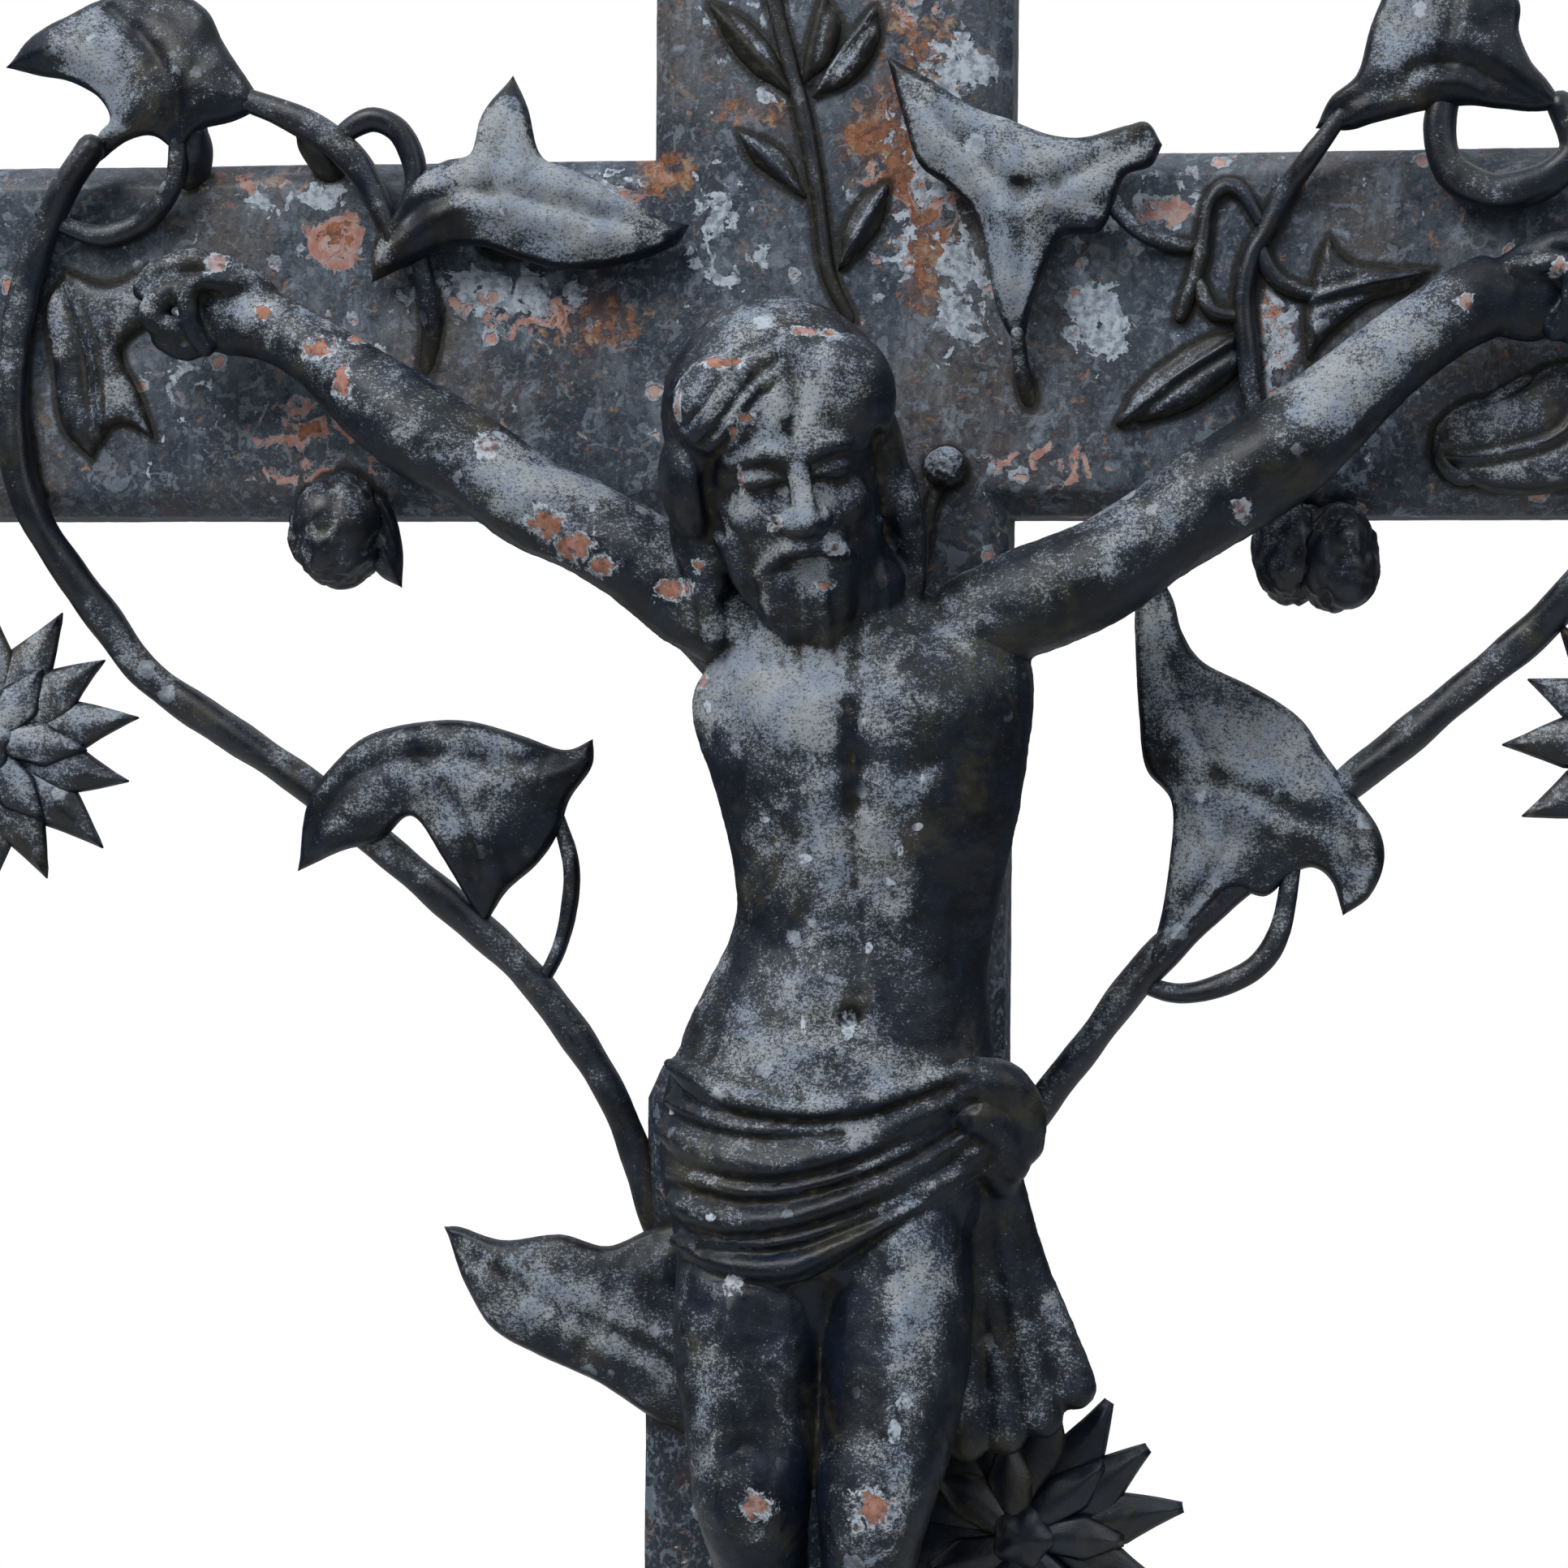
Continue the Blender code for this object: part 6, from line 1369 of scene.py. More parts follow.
def black_paint(name, amount, chips=(), patch=24.0, grime_and_shade=1.0, regions=None, gloss=0.28):
    """Old black paint: pale grains of bloom, thickest on faces turned to the key light as a painted lit side; painted
    shade with dirt in the creases, along seams and underneath; and placed chips.
    """
    made, place, normal, hollow = new_paint(name)
    paint = colours()
    # Bloom with a painted lit side: thickest on faces turned to the key light
    bloom = placed("bloom and lit side", bloom_and_lit_side_group, {
        "Place": place, "Normal": normal, "Hollow": hollow, "Patch Scale": patch,
        "Amount": plus(amount, bloom_and_light_regions(place, *regions)) if regions else amount})
    tone = spread(cloud(place, 60, 5, 0.65, 0.4), 0.36, 0.66)
    colour = blend(tone, paint.black_paint, paint.navy_paint)
    olive = spread(cloud(turn("ADD", place, (2.2, 0.9, 4.1)), 34, 5, 0.65, 0.6), 0.54, 0.70)
    colour = coat(colour, paint.moss, olive, 0.55)
    chalk_dirt = spread(cloud(turn("ADD", place, (6.2, 1.9, 0.6)), 46, 5, 0.7, 0.5), 0.50, 0.68)
    specks = spread(cloud(place, 700, 3, 0.65), 0.60, 0.72)
    colour = coat(colour, paint.slate_paint, specks, 0.35)
    chalk_tone = blend(spread(cloud(place, 90, 4, 0.6), 0.38, 0.62), paint.chalk, paint.chalk_blue)
    chalk_tone = blend(times(chalk_dirt, 0.55), chalk_tone, paint.chalk_brown)
    thick = calc("POWER", bloom["Cover"], 1.6)
    colour = coat(colour, chalk_tone, thick, 0.13)
    colour = coat(colour, chalk_tone, bloom["Mask"], 0.78)
    popped = placed("round spots", round_spots_group, {"Place": place, "Scale": 150.0, "Share": 0.05})
    colour = blend(times(popped["Rim"], times(bloom["Cover"], 0.6)), colour,
                   paint.flake_edge)
    # Painted shade: the paint darkens to near black in hollows, along seams and on faces turned down, mixed with real
    # dirt from the noise
    under = spread(turn("DOT_PRODUCT", normal, (0, 0, -1)), 0.15, 0.8)
    dirt = plus(hollow, times(cloud(place, 130, 4, 0.6), 0.5))
    dirt = plus(dirt, times(under, 0.35))
    dirt = times(spread(dirt, 0.42, 0.85), grime_and_shade, clamp=True)
    soil_and_shade = blend(spread(cloud(place, 300, 3, 0.65), 0.52, 0.68), paint.grime_and_shade, paint.moss)
    colour = coat(colour, soil_and_shade, dirt, 0.88)
    height = plus(times(bloom["Height"], 0.5), times(cloud(place, 240, 4, 0.65), 0.5))
    rough = plus(0.26, times(cloud(place, 160, 3), 0.16))
    rough = plus(rough, times(bloom["Cover"], 0.30))
    rough = plus(rough, times(dirt, 0.22), clamp=True)
    if chips:
        core = rim = None
        broken = times(calc("SUBTRACT", cloud(place, 260, 5, 0.75, 0.6), 0.5), 4.0)
        for middle, reach, bare in chips:
            spot = placed("chip", chip_group, {"Place": place, "Middle": middle, "Reach": reach,
                                                     "Broken Edge": broken})
            inner = times(spot["Core"], bare)
            core = inner if core is None else calc("MAXIMUM", core, inner)
            rim = spot["Rim"] if rim is None else calc("MAXIMUM", rim, spot["Rim"])
        inside = blend(spread(cloud(place, 200, 4, 0.65), 0.36, 0.62), paint.primer, paint.rust)
        inside = blend(spread(cloud(place, 330, 4, 0.65), 0.52, 0.70), inside, paint.rust_dark)
        edge = blend(spread(cloud(place, 420, 3, 0.6), 0.36, 0.58), paint.slate_paint,
                     paint.flake_edge)
        colour = coat(colour, edge, rim, 0.85)
        colour = coat(colour, inside, core, 0.92)
        height = calc("SUBTRACT", height, times(core, 0.9))
        rough = calc("MAXIMUM", rough, times(rim, 0.75))
    shade(colour, rough, height, gloss=gloss)
    return made


def plank_paint(name):
    """Thin dirty slate paint on the planks, flaked to pale undercoat, pink primer and rust, with painted shadow below
    the crossing and painted shade in the creases and seams.
    """
    made, place, _, hollow = new_paint(name)
    paint = colours()

    def flakes(shift, scale, cover):
        return placed("flaked paint", flake_group, {"Place": turn("ADD", place, shift), "Scale": scale,
                                                          "Cover": cover})

    pale_wear, pink_wear, rust_wear = plank_wear(place)
    up = join("ShaderNodeSeparateXYZ", {"Vector": place})["Z"]
    crossing = sizes().crossing_height
    # Painted shadow: the planks turn navy along the crossbeam's lower edge and down the upright behind and below the
    # figure
    low = calc("MAXIMUM", spread(up, crossing - 0.052, crossing + 0.02, 0.50, 0.0),
               spread(up, crossing - 0.26, crossing - 0.08, 0.86, 0.30))
    tone = spread(cloud(place, 17, 6, 0.62, 0.6), 0.38, 0.64)
    colour = blend(tone, paint.plank_navy, paint.plank_slate)
    brown = spread(cloud(turn("ADD", place, (1.3, 0.4, 2.7)), 13, 6, 0.62, 0.6), 0.45, 0.62)
    colour = coat(colour, paint.plank_brown, brown, 0.85)
    haze = spread(cloud(place, 62, 7, 0.78, 0.3, (1.5, 1.5, 0.62)), 0.46, 0.72)
    colour = coat(colour, paint.plank_gray, haze, 0.80)
    pits = spread(cloud(turn("ADD", place, (5.1, 0.4, 0.7)), 260, 5, 0.72, 0.3), 0.50, 0.64)
    colour = coat(colour, paint.navy_paint, pits, 0.60)
    colour = blend(low, colour, paint.navy_paint)
    grit = spread(cloud(place, 560, 4, 0.72), 0.52, 0.66)
    colour = coat(colour, paint.plank_gray, grit, 0.34)
    tint = cloud(turn("ADD", place, (0.7, 3.4, 1.9)), 95, 6, 0.72, 0.5)
    colour = blend(spread(tint, 0.58, 0.72, 0.0, 0.45), colour, paint.tan)
    colour = blend(spread(tint, 0.30, 0.44, 0.58, 0.0), colour, paint.chalk_blue)
    stain = spread(plus(cloud(place, 42, 6, 0.7, 0.4), times(rust_wear, 0.35)), 0.56, 0.76)
    colour = coat(colour, paint.rust_dark, stain, 0.55)
    rusty = spread(plus(cloud(place, 190, 5, 0.7, 0.4), times(rust_wear, 0.30)), 0.60, 0.70)
    tan = blend(spread(cloud(place, 260, 4, 0.65), 0.45, 0.6), paint.rust, paint.tan)
    colour = coat(colour, tan, rusty, 0.75)
    thin = flakes((0, 0, 0), 170.0, 0.34)
    colour = coat(colour, paint.plank_gray, thin["Off"], 0.40)
    white = flakes((3.1, 1.7, 2.3), 130.0, plus(pale_wear, 0.05))
    pink = flakes((7.3, 4.1, 5.9), 140.0, pink_wear)
    rust = flakes((7.3, 4.1, 5.9), 140.0, rust_wear)
    popped = placed("round spots", round_spots_group, {"Place": place, "Scale": 120.0,
                                                             "Share": times(pink_wear, 0.55)})
    white_tone = blend(spread(cloud(place, 420, 4, 0.65), 0.36, 0.60), paint.plank_gray,
                       paint.flake_edge)
    colour = coat(colour, white_tone, white["Off"], 0.85)
    ring = calc("MAXIMUM", pink["Rim"], popped["Rim"])
    bare = calc("MAXIMUM", pink["Off"], popped["Off"])
    colour = coat(colour, white_tone, ring, 0.6)
    mottled = blend(spread(cloud(place, 260, 4, 0.6), 0.38, 0.60), paint.primer, paint.primer_pale)
    colour = coat(colour, mottled, bare, 0.88)
    burnt = blend(spread(cloud(place, 340, 4, 0.65), 0.40, 0.62), paint.rust, paint.rust_dark)
    colour = coat(colour, burnt, rust["Off"], 0.85)
    # Painted shade: the planks darken in hollows and along the seams where the foliage and figure touch them, mixed
    # with real dirt
    dirt = plus(hollow, times(cloud(place, 110, 4, 0.6), 0.5))
    dirt = spread(dirt, 0.46, 0.92)
    colour = coat(colour, paint.grime_and_shade, dirt, 0.88)
    height = times(cloud(place, 300, 5, 0.7), 0.7)
    height = plus(height, times(thin["Off"], -0.3))
    height = plus(height, times(bare, -0.8))
    height = plus(height, times(ring, 0.4))
    height = plus(height, times(white["Off"], 0.4))
    rough = plus(0.44, times(haze, 0.25))
    rough = calc("MAXIMUM", rough, times(bare, 0.85))
    shade(colour, rough, height, 0.0004, 0.35)
    return made


def bloom_and_light_regions(place, rows, share, spot_of):
    """More or less bloom, with painted light and shade, at places on a piece: the sum of soft round masks times their
    weights.
    """
    total = None
    for u, v, a, b, weight in rows:
        spot = spot_of([(u, v, 0)])[0]
        away = turn("DIVIDE", turn("SUBTRACT", place, tuple(spot)), (a * share, 10.0, b * share))
        mask = times(spread(turn("LENGTH", away), 0.25, 1.25, 1.0, 0.0), weight)
        total = plus(total, mask) if total else mask
    return total


def soft_spots(place, spots):
    """The largest of several soft round masks, each middle and reach in metres."""
    total = None
    for (x, z), (a, b), weight in spots:
        away = turn("DIVIDE", turn("SUBTRACT", place, (x, 0.0, z)), (a, 10.0, b))
        mask = times(spread(turn("LENGTH", away), 0.35, 1.15, 1.0, 0.0), weight)
        total = calc("MAXIMUM", total, mask) if total else mask
    return total


def plank_wear(place):
    """How much paint is gone over the planks: to pale undercoat, to pink primer and to rust."""
    share = sizes().plank_width / 100
    height = sizes().crossing_height

    def spots(table):
        return [((u * share, height + v * share), (a * share, b * share), w) for u, v, a, b, w in table]

    pale = plus(0.10, soft_spots(place, spots(PALE_WEAR)))
    pink = plus(0.13, soft_spots(place, spots(PINK_WEAR)))
    rust = plus(-0.02, soft_spots(place, spots(RUST_WEAR)))
    return pale, pink, rust


def foot_paint(name):
    """Plain worn black paint on the foot, paler on top where the bloom faces the key light, a painted lit side."""
    return black_paint(name, 0.0, patch=14.0, grime_and_shade=0.8)


def weather(mesh, slow, slow_scale, fine, fine_scale):
    """Wears the surface unevenly inward, slowly over its length and finely as cast grain."""
    spots, _, normals = mesh_arrays(mesh)
    worn = slow * (1 + np.clip(grain(spots, slow_scale, 3, 3.0), -1, 1)) / 2
    worn += fine * (1 + np.clip(grain(spots, fine_scale, 3, 8.0), -1, 1)) / 2
    mesh.vertices.foreach_set("co", (spots - normals * worn[:, None]).ravel())
    mesh.update()


# ---- foot


def slab_ring(half_width, half_depth, corner, height):
    """One loop of the foot: a rectangle with rounded corners."""
    loop = []
    for k, (x, y) in enumerate(((1, 1), (-1, 1), (-1, -1), (1, -1))):
        middle = np.array([x * (half_width - corner), y * (half_depth - corner)])
        for angle in np.radians(np.linspace(90 * k, 90 * k + 90, 9)):
            loop.append(middle + corner * np.array([math.cos(angle), math.sin(angle)]))
        nx, ny = ((-1, 1), (-1, -1), (1, -1), (1, 1))[k]
        ahead = np.array([nx * (half_width - corner), ny * (half_depth - corner)])
        side = np.array([math.cos(math.radians(90 * k + 90)), math.sin(math.radians(90 * k + 90))]) * corner
        first, last = loop[-1], ahead + side
        loop += [first + (last - first) * t for t in np.linspace(0, 1, 62)[1:-1]]
    return [(x, y, height) for x, y in loop]


def foot_skin():
    """A slab with a smaller block on it, in one closed skin."""
    width, depth, height = sizes().foot_width / 2, sizes().foot_depth / 2, sizes().foot_height
    block_width = sizes().plank_width / 2 + sizes().block_margin
    block_depth = sizes().plank_depth / 2 + sizes().block_margin
    edge = sizes().foot_rounding

    def wall(low, high):
        """How far each ring of a slab's side is drawn in, and its height."""
        turns = np.radians(np.linspace(0, 90, 7))[1:]
        return ([(0.0, z) for z in np.linspace(low + 0.004, high - edge, 16)]
                + [(edge * (1 - math.cos(t)), high - edge + edge * math.sin(t)) for t in turns])

    levels = [(0.002, 0.0), (0.0005, 0.0006), (0.0, 0.002)] + wall(0.0, height)
    rings = [slab_ring(width - i, depth - i, SLAB_CORNER, z) for i, z in levels]
    top_width, top_depth = width - edge, depth - edge
    for t in np.linspace(0, 1, 17)[1:]:
        rings.append(slab_ring(top_width + (block_width + 0.003 - top_width) * t,
                               top_depth + (block_depth + 0.003 - top_depth) * t, 0.008, height))
    levels = [(JOINT_GROOVE, height + 0.0006), (0.0002, height + 0.002)] + wall(height, FOOT_TOP)
    rings += [slab_ring(block_width - i + (0.0018 if i == JOINT_GROOVE else 0), block_depth - i,
                        BLOCK_CORNER - min(i, 0.006), z) for i, z in levels]
    for t in np.linspace(0, 1, 18)[1:]:
        rings.append(slab_ring((block_width - edge) * (1 - t) + 0.004 * t, (block_depth - edge) * (1 - t) + 0.004 * t,
                               0.002, FOOT_TOP))
    return np.array([spot for ring in rings for spot in ring]), skin_of(len(rings), len(rings[0]))


# ---- stage

# Lamps: name, place, aim, size, power in watts and colour
LIGHTS = [
    ("sky_window", (-1.2, -1.7, 2.7), (0, 0, 0.75), 1.3, 60, (1.0, 0.99, 0.97)),
    ("side_fill", (1.9, -1.5, 1.6), (0, 0, 0.75), 1.2, 8, (0.90, 0.95, 1.0)),
]
CAMERA_PLACE = (0.15499, -1.20332, 0.66713)
CAMERA_LENS = 93.168
CAMERA_SENSOR = 36
CAMERA_YAW = 8.0
CAMERA_ROLL = 0.45
FLOOR_RADIUS = 1.9
FLOOR_TONES = (0.44, 0.44, 0.43), (0.50, 0.50, 0.49)
SKY_LOW, SKY_HIGH = (0.05, 0.054, 0.06), (1.0, 1.06, 1.14)


def floor_paint(name):
    """Pale plain floor with faint unevenness."""
    made, place, *_ = new_paint(name)
    tone = spread(cloud(place, 3.0, 3), 0.3, 0.7)
    shade(blend(tone, *FLOOR_TONES), 0.7, cloud(place, 90, 2), 0.0001)
    return made


def set_sky(scene):
    """White behind the object, and a soft sky for light and reflections."""
    sky = bpy.data.worlds.new("soft_sky")
    scene.world = sky
    sky.use_nodes = True
    tree = sky.node_tree
    tree.nodes.clear()
    up = put(tree, "ShaderNodeSeparateXYZ", {"Vector": put(tree, "ShaderNodeTexCoord").outputs["Generated"]})
    level = spread(up.outputs["Z"], -0.10, 0.9)
    glow = blend(level, SKY_LOW, SKY_HIGH)
    light = put(tree, "ShaderNodeBackground", {"Color": glow, "Strength": 1.0})
    white = put(tree, "ShaderNodeBackground", {"Color": (1, 1, 1), "Strength": 1.0})
    path = put(tree, "ShaderNodeLightPath")
    mixed = put(tree, "ShaderNodeMixShader", {0: path.outputs["Is Camera Ray"], 1: light.outputs[0],
                                              2: white.outputs[0]})
    put(tree, "ShaderNodeOutputWorld", {"Surface": mixed.outputs[0]})


def set_camera(scene):
    """Puts the camera where the photograph was taken from."""
    yaw, roll = math.radians(CAMERA_YAW), math.radians(CAMERA_ROLL)
    ahead = Vector((-math.sin(yaw), math.cos(yaw), 0))
    side, up = Vector((math.cos(yaw), math.sin(yaw), 0)), Vector((0, 0, 1))
    right = side * math.cos(roll) + up * math.sin(roll)
    over = up * math.cos(roll) - side * math.sin(roll)
    data = bpy.data.cameras.new("camera")
    data.lens = CAMERA_LENS
    data.sensor_width = CAMERA_SENSOR
    data.clip_start = 0.05
    camera = bpy.data.objects.new("camera", data)
    camera.matrix_world = Matrix.Translation(CAMERA_PLACE) @ Matrix((right, over, -ahead)).transposed().to_4x4()
    scene.collection.objects.link(camera)
    scene.camera = camera


def length(name, description, default):
    return FloatProperty(name=name, description=description, default=default, unit="LENGTH")


class CrucifixSizes(bpy.types.PropertyGroup):
    """Main sizes of the crucifix."""
    plank_width: length("Plank width", "Width of the upright and the crossbeam", 0.107)
    plank_depth: length("Plank depth", "Thickness of the planks, front to back", 0.030)
    plank_chamfer: length("Plank chamfer", "Width of the chamfer round the planks' face", 0.007)
    crossbeam_span: length("Crossbeam span", "Length of the crossbeam from end to end", 0.624)
    top_reach: length("Top reach", "Height of the upright's top above the crossing", 0.272)
    crossing_height: length("Crossing height", "Height of the crossing above the ground", 0.800)
    figure_height: length("Figure height", "Measure that the figure's places are shares of", 0.520)
    foot_width: length("Foot width", "Width of the foot's slab", 0.300)
    foot_depth: length("Foot depth", "Depth of the foot's slab", 0.232)
    foot_height: length("Foot height", "Height of the foot's slab", 0.050)
    block_margin: length("Block margin", "How far the foot's block stands out past the upright", 0.044)
    foot_rounding: length("Foot rounding", "Radius of the foot's rounded edges", 0.008)


def colour(name, description, *default):
    return FloatVectorProperty(name=name, description=description, default=default, subtype="COLOR", size=3, min=0,
                               max=1)


class CrucifixColours(bpy.types.PropertyGroup):
    """Colours of the paint, the dirt with painted shade, and the bare spots."""
    black_paint: colour("Black paint", "Old black paint in the shade", 0.0035, 0.0045, 0.0070)
    navy_paint: colour("Navy paint", "Bluish tone of the black paint", 0.0060, 0.0105, 0.0215)
    slate_paint: colour("Slate paint", "Weathered gray of the black paint", 0.040, 0.052, 0.068)
    plank_navy: colour("Plank navy", "Dark tone of the planks' paint", 0.024, 0.038, 0.058)
    plank_slate: colour("Plank slate", "Main tone of the planks' paint", 0.082, 0.102, 0.126)
    plank_brown: colour("Plank brown", "Dirty brown tone of the planks' paint", 0.108, 0.094, 0.084)
    plank_gray: colour("Plank gray", "Thin pale paint on the planks", 0.21, 0.25, 0.30)
    chalk: colour("Chalk", "Pale bloom on raised places", 0.37, 0.40, 0.42)
    chalk_blue: colour("Blue chalk", "Cool part of the pale bloom", 0.28, 0.33, 0.41)
    chalk_brown: colour("Brown chalk", "Dirty part of the pale bloom", 0.20, 0.19, 0.165)
    # Grime and shade: this near black is also the painted shade laid in creases, under things and along seams
    grime_and_shade: colour("Grime", "Olive black dirt in the creases", 0.010, 0.0085, 0.0055)
    moss: colour("Moss", "Olive brown specks in the dirt", 0.052, 0.044, 0.022)
    primer: colour("Primer", "Pink primer under the paint", 0.40, 0.18, 0.14)
    primer_pale: colour("Pale primer", "Faded pink primer", 0.46, 0.31, 0.27)
    tan: colour("Tan", "Pale rust stain", 0.36, 0.24, 0.15)
    rust: colour("Rust", "Orange brown rust", 0.27, 0.105, 0.045)
    rust_dark: colour("Dark rust", "Brown rust", 0.10, 0.042, 0.024)
    flake_edge: colour("Flake edge", "Pale broken edge of the paint", 0.50, 0.56, 0.63)


def growth_paint(name):
    """The glossier black paint of the small leaves, vines, buds and flowers."""
    found = bpy.data.materials.get(name)
    return found or black_paint(name, GROWTH_BLOOM[name], patch=30, gloss=0.45)


class CRUCIFIX_OT_planks(bpy.types.Operator):
    """Builds the upright and the crossbeam in one piece"""
    bl_idname = "crucifix.planks"
    bl_label = "Planks"

    def execute(self, context):
        spots, faces = planks_mesh()
        mesh = plain_mesh("planks", spots, faces)
        weather(mesh, *WEAR["planks"])
        finish_growth("planks", mesh, plank_paint("plank_paint"))
        return {"FINISHED"}


class CRUCIFIX_OT_leaves(bpy.types.Operator):
    """Builds the seven leaves that stand clear of the planks, with their necks"""
    bl_idname = "crucifix.leaves"
    bl_label = "Free leaves"

    def execute(self, context):
        for seed, (name, (front, sides, ribs, lifts)) in enumerate(FREE_LEAVES.items(), 1):
            parts = [free_leaf(front, sides, ribs, lifts, LEAF_MODELLING[name], seed)]
            if name in LEAF_NECKS:
                (u, v), reach, top = LEAF_NECKS[name]
                parts.append(tube([(u, v, -5), (u, v, top)], reach, sides=36, seed=seed))
            mesh = plain_mesh(name, *joined(parts))
            weather(mesh, *WEAR["leaf"])
            amount, rows = LEAF_BLOOM_AND_LIGHT[name]
            paint = black_paint("leaf_paint_" + name, amount, patch=20.0, grime_and_shade=0.5,
                                regions=(rows, sizes().plank_width / 100, on_cross))
            finish_growth("leaf_" + name, mesh, paint)
        return {"FINISHED"}


class CRUCIFIX_OT_relief(bpy.types.Operator):
    """Builds the small leaves in low relief on the planks"""
    bl_idname = "crucifix.relief"
    bl_label = "Relief leaves"

    def execute(self, context):
        parts = [low_leaf(sides, ribs, 3.6 + (1.4 if name == "curled" else 0), seed)
                 for seed, (name, (sides, ribs)) in enumerate(LOW_LEAVES.items(), 20)]
        mesh = plain_mesh("relief_leaves", *joined(parts))
        weather(mesh, *WEAR["relief"])
        finish_growth("relief_leaves", mesh, growth_paint("relief_paint"))
        return {"FINISHED"}


class CRUCIFIX_OT_vines(bpy.types.Operator):
    """Builds the vines, stems and tendrils"""
    bl_idname = "crucifix.vines"
    bl_label = "Vines"

    def execute(self, context):
        parts = [tube(way, radius, 22 if radius > 4 else 16, 1.25, 0.05, 0.05, seed)
                 for seed, (radius, way) in enumerate(STEMS.values(), 1)]
        mesh = plain_mesh("vines", *joined(parts))
        weather(mesh, *WEAR["vine"])
        finish_growth("vines", mesh, growth_paint("vine_paint"))
        return {"FINISHED"}


class CRUCIFIX_OT_blooms(bpy.types.Operator):
    """Builds the buds, the berry and the three flowers"""
    bl_idname = "crucifix.blooms"
    bl_label = "Buds and flowers"

    def execute(self, context):
        mesh = plain_mesh("buds", *joined([bud(middle, halves, k) for k, (middle, halves) in enumerate(BUDS.values())]))
        finish_growth("buds", mesh, growth_paint("bud_paint"))
        for name, (middle, turned) in FLOWERS.items():
            dark = name == DARK_FLOWER
            mesh = plain_mesh(name, *joined(flower(middle, turned, DARK_PETAL_TIP if dark else PETAL_TIP)))
            weather(mesh, *WEAR["flower"])
            finish_growth(name, mesh, growth_paint("dark_flower_paint" if dark else "flower_paint"))
        return {"FINISHED"}


class CRUCIFIX_OT_figure(bpy.types.Operator):
    """Builds the draped figure, cast in one"""
    bl_idname = "crucifix.figure"
    bl_label = "Figure"

    def execute(self, context):
        chips = []
        for u, v, w, a, b, c, bare in CHIPS:
            middle = on_figure([(u, v, w)])[0]
            share = sizes().figure_height / 100
            chips.append((tuple(middle), (a * share, c * share, b * share), bare))
        paint = black_paint("figure_paint", -0.05, chips, patch=22.0,
                            regions=(FIGURE_BLOOM_AND_LIGHT, sizes().figure_height / 100, on_figure))
        finish_piece("corpus_figure", figure_mesh(), paint, "corpus", reach=0.0026, depth=0.0006)
        return {"FINISHED"}


class CRUCIFIX_OT_foot(bpy.types.Operator):
    """Builds the plain low foot that the upright stands in"""
    bl_idname = "crucifix.foot"
    bl_label = "Foot"

    def execute(self, context):
        mesh = plain_mesh("foot", *foot_skin())
        weather(mesh, *WEAR["foot"])
        finish_piece("foot", mesh, foot_paint("foot_paint"), "base")
        return {"FINISHED"}


class CRUCIFIX_OT_seam_shade(bpy.types.Operator):
    """Settles painted shade and dirt along the seams between the planks, the foliage and the figure"""
    bl_idname = "crucifix.dirt"
    # Painted shade along the seams, with dirt
    bl_label = "Dirt in the seams"

    def execute(self, context):
        pieces = {piece.name: piece for piece in collection_named("crucifix").objects}
        planks, figure, foot = (pieces.pop(name) for name in ("planks", "corpus_figure", "foot"))
        growth = list(pieces.values())
        settle_seam_shade(planks, growth + [figure], SEAM_REACH["planks"])
        for piece in (figure, foot, *growth):
            settle_seam_shade(piece, [planks], SEAM_REACH.get(piece.name, SEAM_REACH["growth"]))
        return {"FINISHED"}


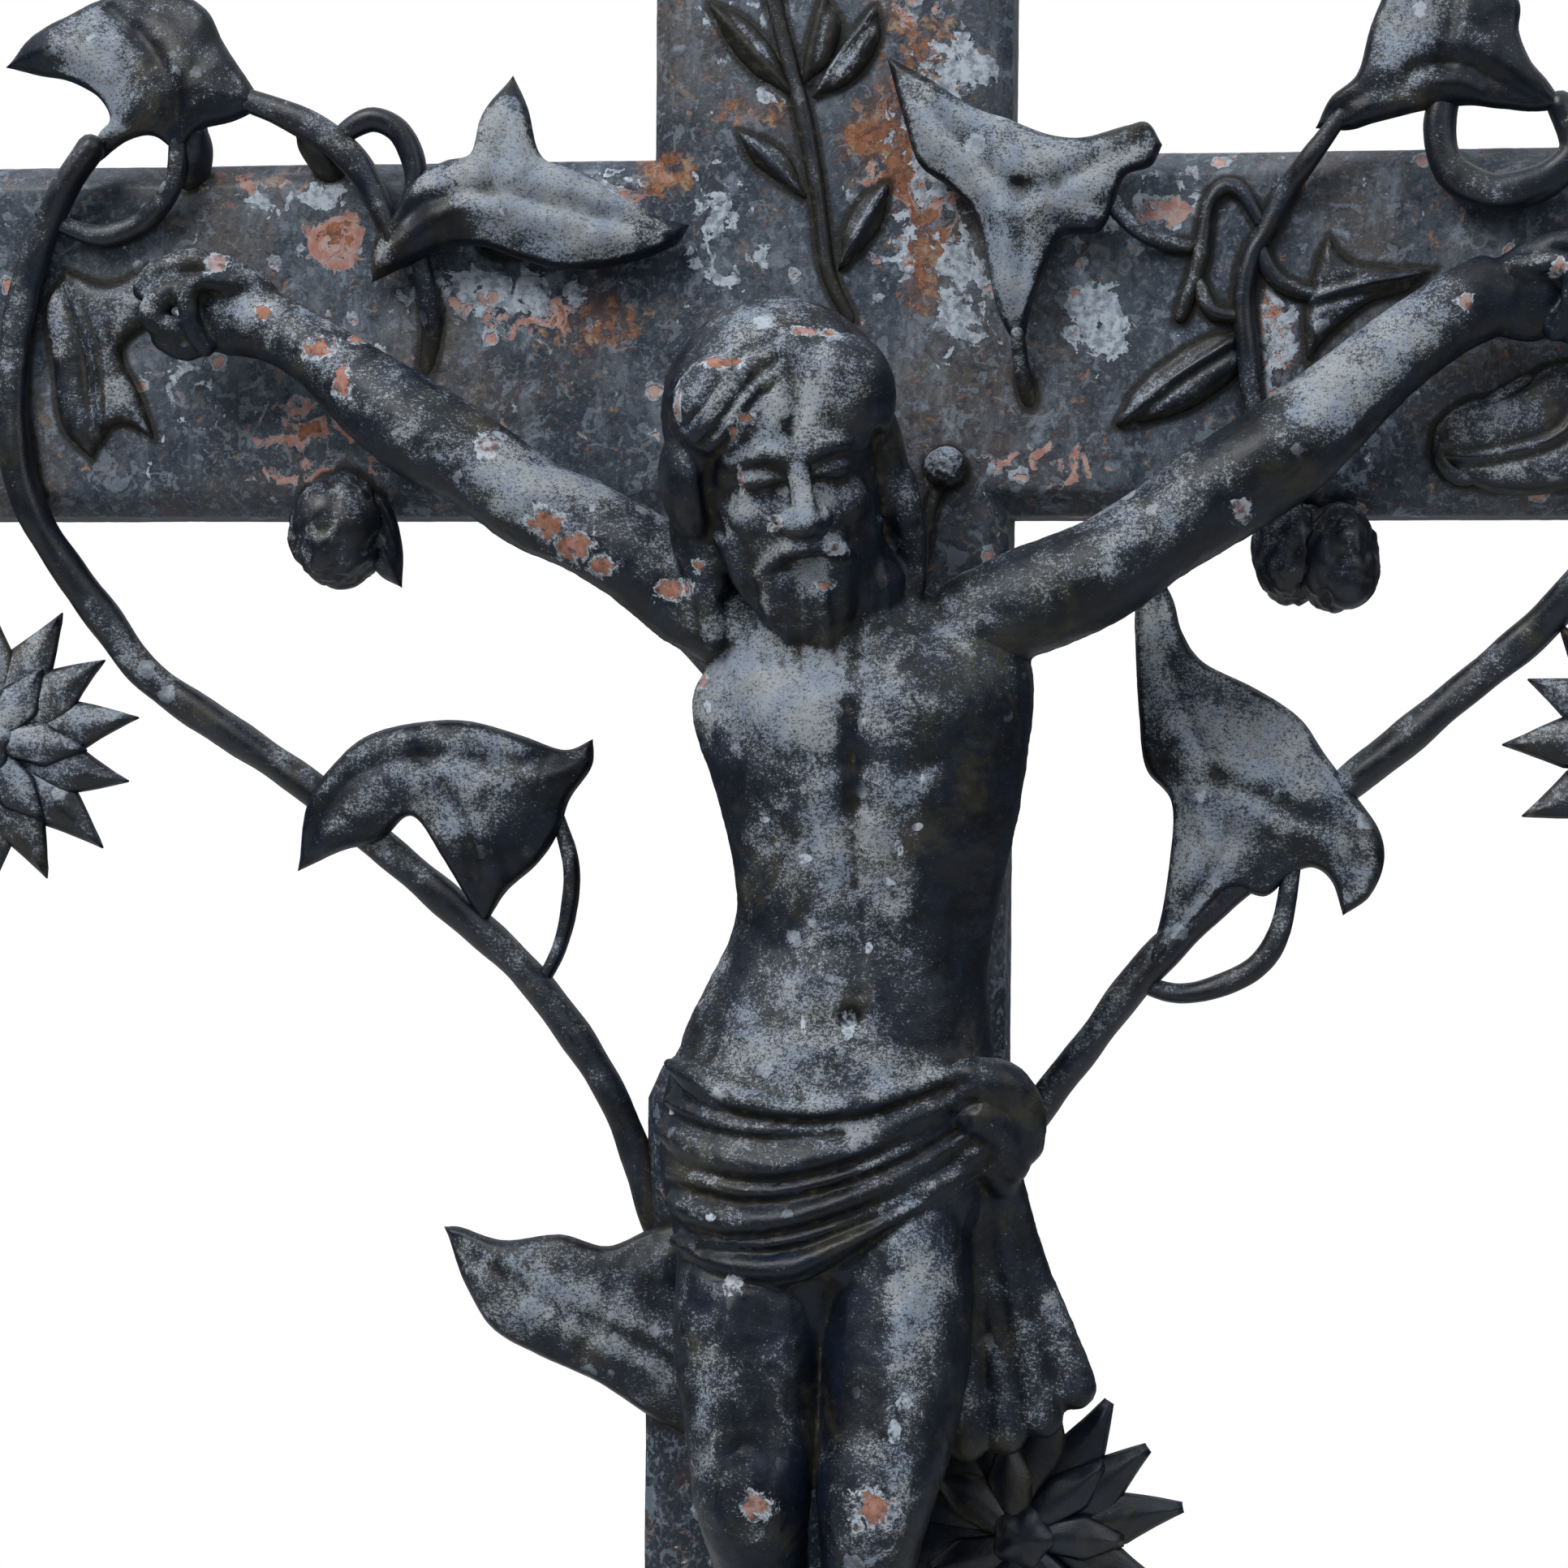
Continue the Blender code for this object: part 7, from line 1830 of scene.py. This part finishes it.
class CRUCIFIX_OT_stage(bpy.types.Operator):
    """Sets the pale floor, the soft light and the camera"""
    bl_idname = "crucifix.stage"
    bl_label = "Stage"

    def execute(self, context):
        scene = context.scene
        scene.view_settings.view_transform = "Standard"
        work = bmesh.new()
        bmesh.ops.create_circle(work, cap_ends=True, segments=128, radius=FLOOR_RADIUS)
        mesh = bpy.data.meshes.new("floor")
        work.to_mesh(mesh)
        work.free()
        floor = bpy.data.objects.new("floor", mesh)
        scene.collection.objects.link(floor)
        mesh.materials.append(floor_paint("pale_floor"))
        for name, place, aim, size, energy, tint in LIGHTS:
            light = bpy.data.lights.new(name, "AREA")
            light.shape = "DISK"
            light.size = size
            light.energy = energy
            light.color = tint
            lamp = bpy.data.objects.new(name, light)
            lamp.location = place
            lamp.rotation_euler = (Vector(aim) - Vector(place)).to_track_quat("-Z", "Y").to_euler()
            scene.collection.objects.link(lamp)
        set_sky(scene)
        set_camera(scene)
        return {"FINISHED"}


class CRUCIFIX_PT_panel(bpy.types.Panel):
    """Sizes, colours and builders of the crucifix"""
    bl_label = "Cast Iron Crucifix"
    bl_idname = "CRUCIFIX_PT_panel"
    bl_space_type = "VIEW_3D"
    bl_region_type = "UI"
    bl_category = "Crucifix"

    def draw(self, context):
        for group in (context.scene.crucifix_sizes, context.scene.crucifix_colours):
            box = self.layout.box()
            for key in group.__annotations__:
                box.prop(group, key)
        for operator in OPERATORS:
            self.layout.operator(operator.bl_idname)


OPERATORS = (CRUCIFIX_OT_planks, CRUCIFIX_OT_leaves, CRUCIFIX_OT_relief, CRUCIFIX_OT_vines, CRUCIFIX_OT_blooms,
             CRUCIFIX_OT_figure, CRUCIFIX_OT_foot, CRUCIFIX_OT_seam_shade, CRUCIFIX_OT_stage)
CLASSES = (CrucifixSizes, CrucifixColours, *OPERATORS, CRUCIFIX_PT_panel)


def register():
    for kind in CLASSES:
        bpy.utils.register_class(kind)
    bpy.types.Scene.crucifix_sizes = PointerProperty(type=CrucifixSizes)
    bpy.types.Scene.crucifix_colours = PointerProperty(type=CrucifixColours)


def unregister():
    del bpy.types.Scene.crucifix_colours
    del bpy.types.Scene.crucifix_sizes
    for kind in reversed(CLASSES):
        bpy.utils.unregister_class(kind)


def main():
    register()
    bpy.ops.crucifix.planks()
    bpy.ops.crucifix.leaves()
    bpy.ops.crucifix.relief()
    bpy.ops.crucifix.vines()
    bpy.ops.crucifix.blooms()
    bpy.ops.crucifix.figure()
    bpy.ops.crucifix.foot()
    bpy.ops.crucifix.dirt()
    bpy.ops.crucifix.stage()


if __name__ == "__main__":
    main()
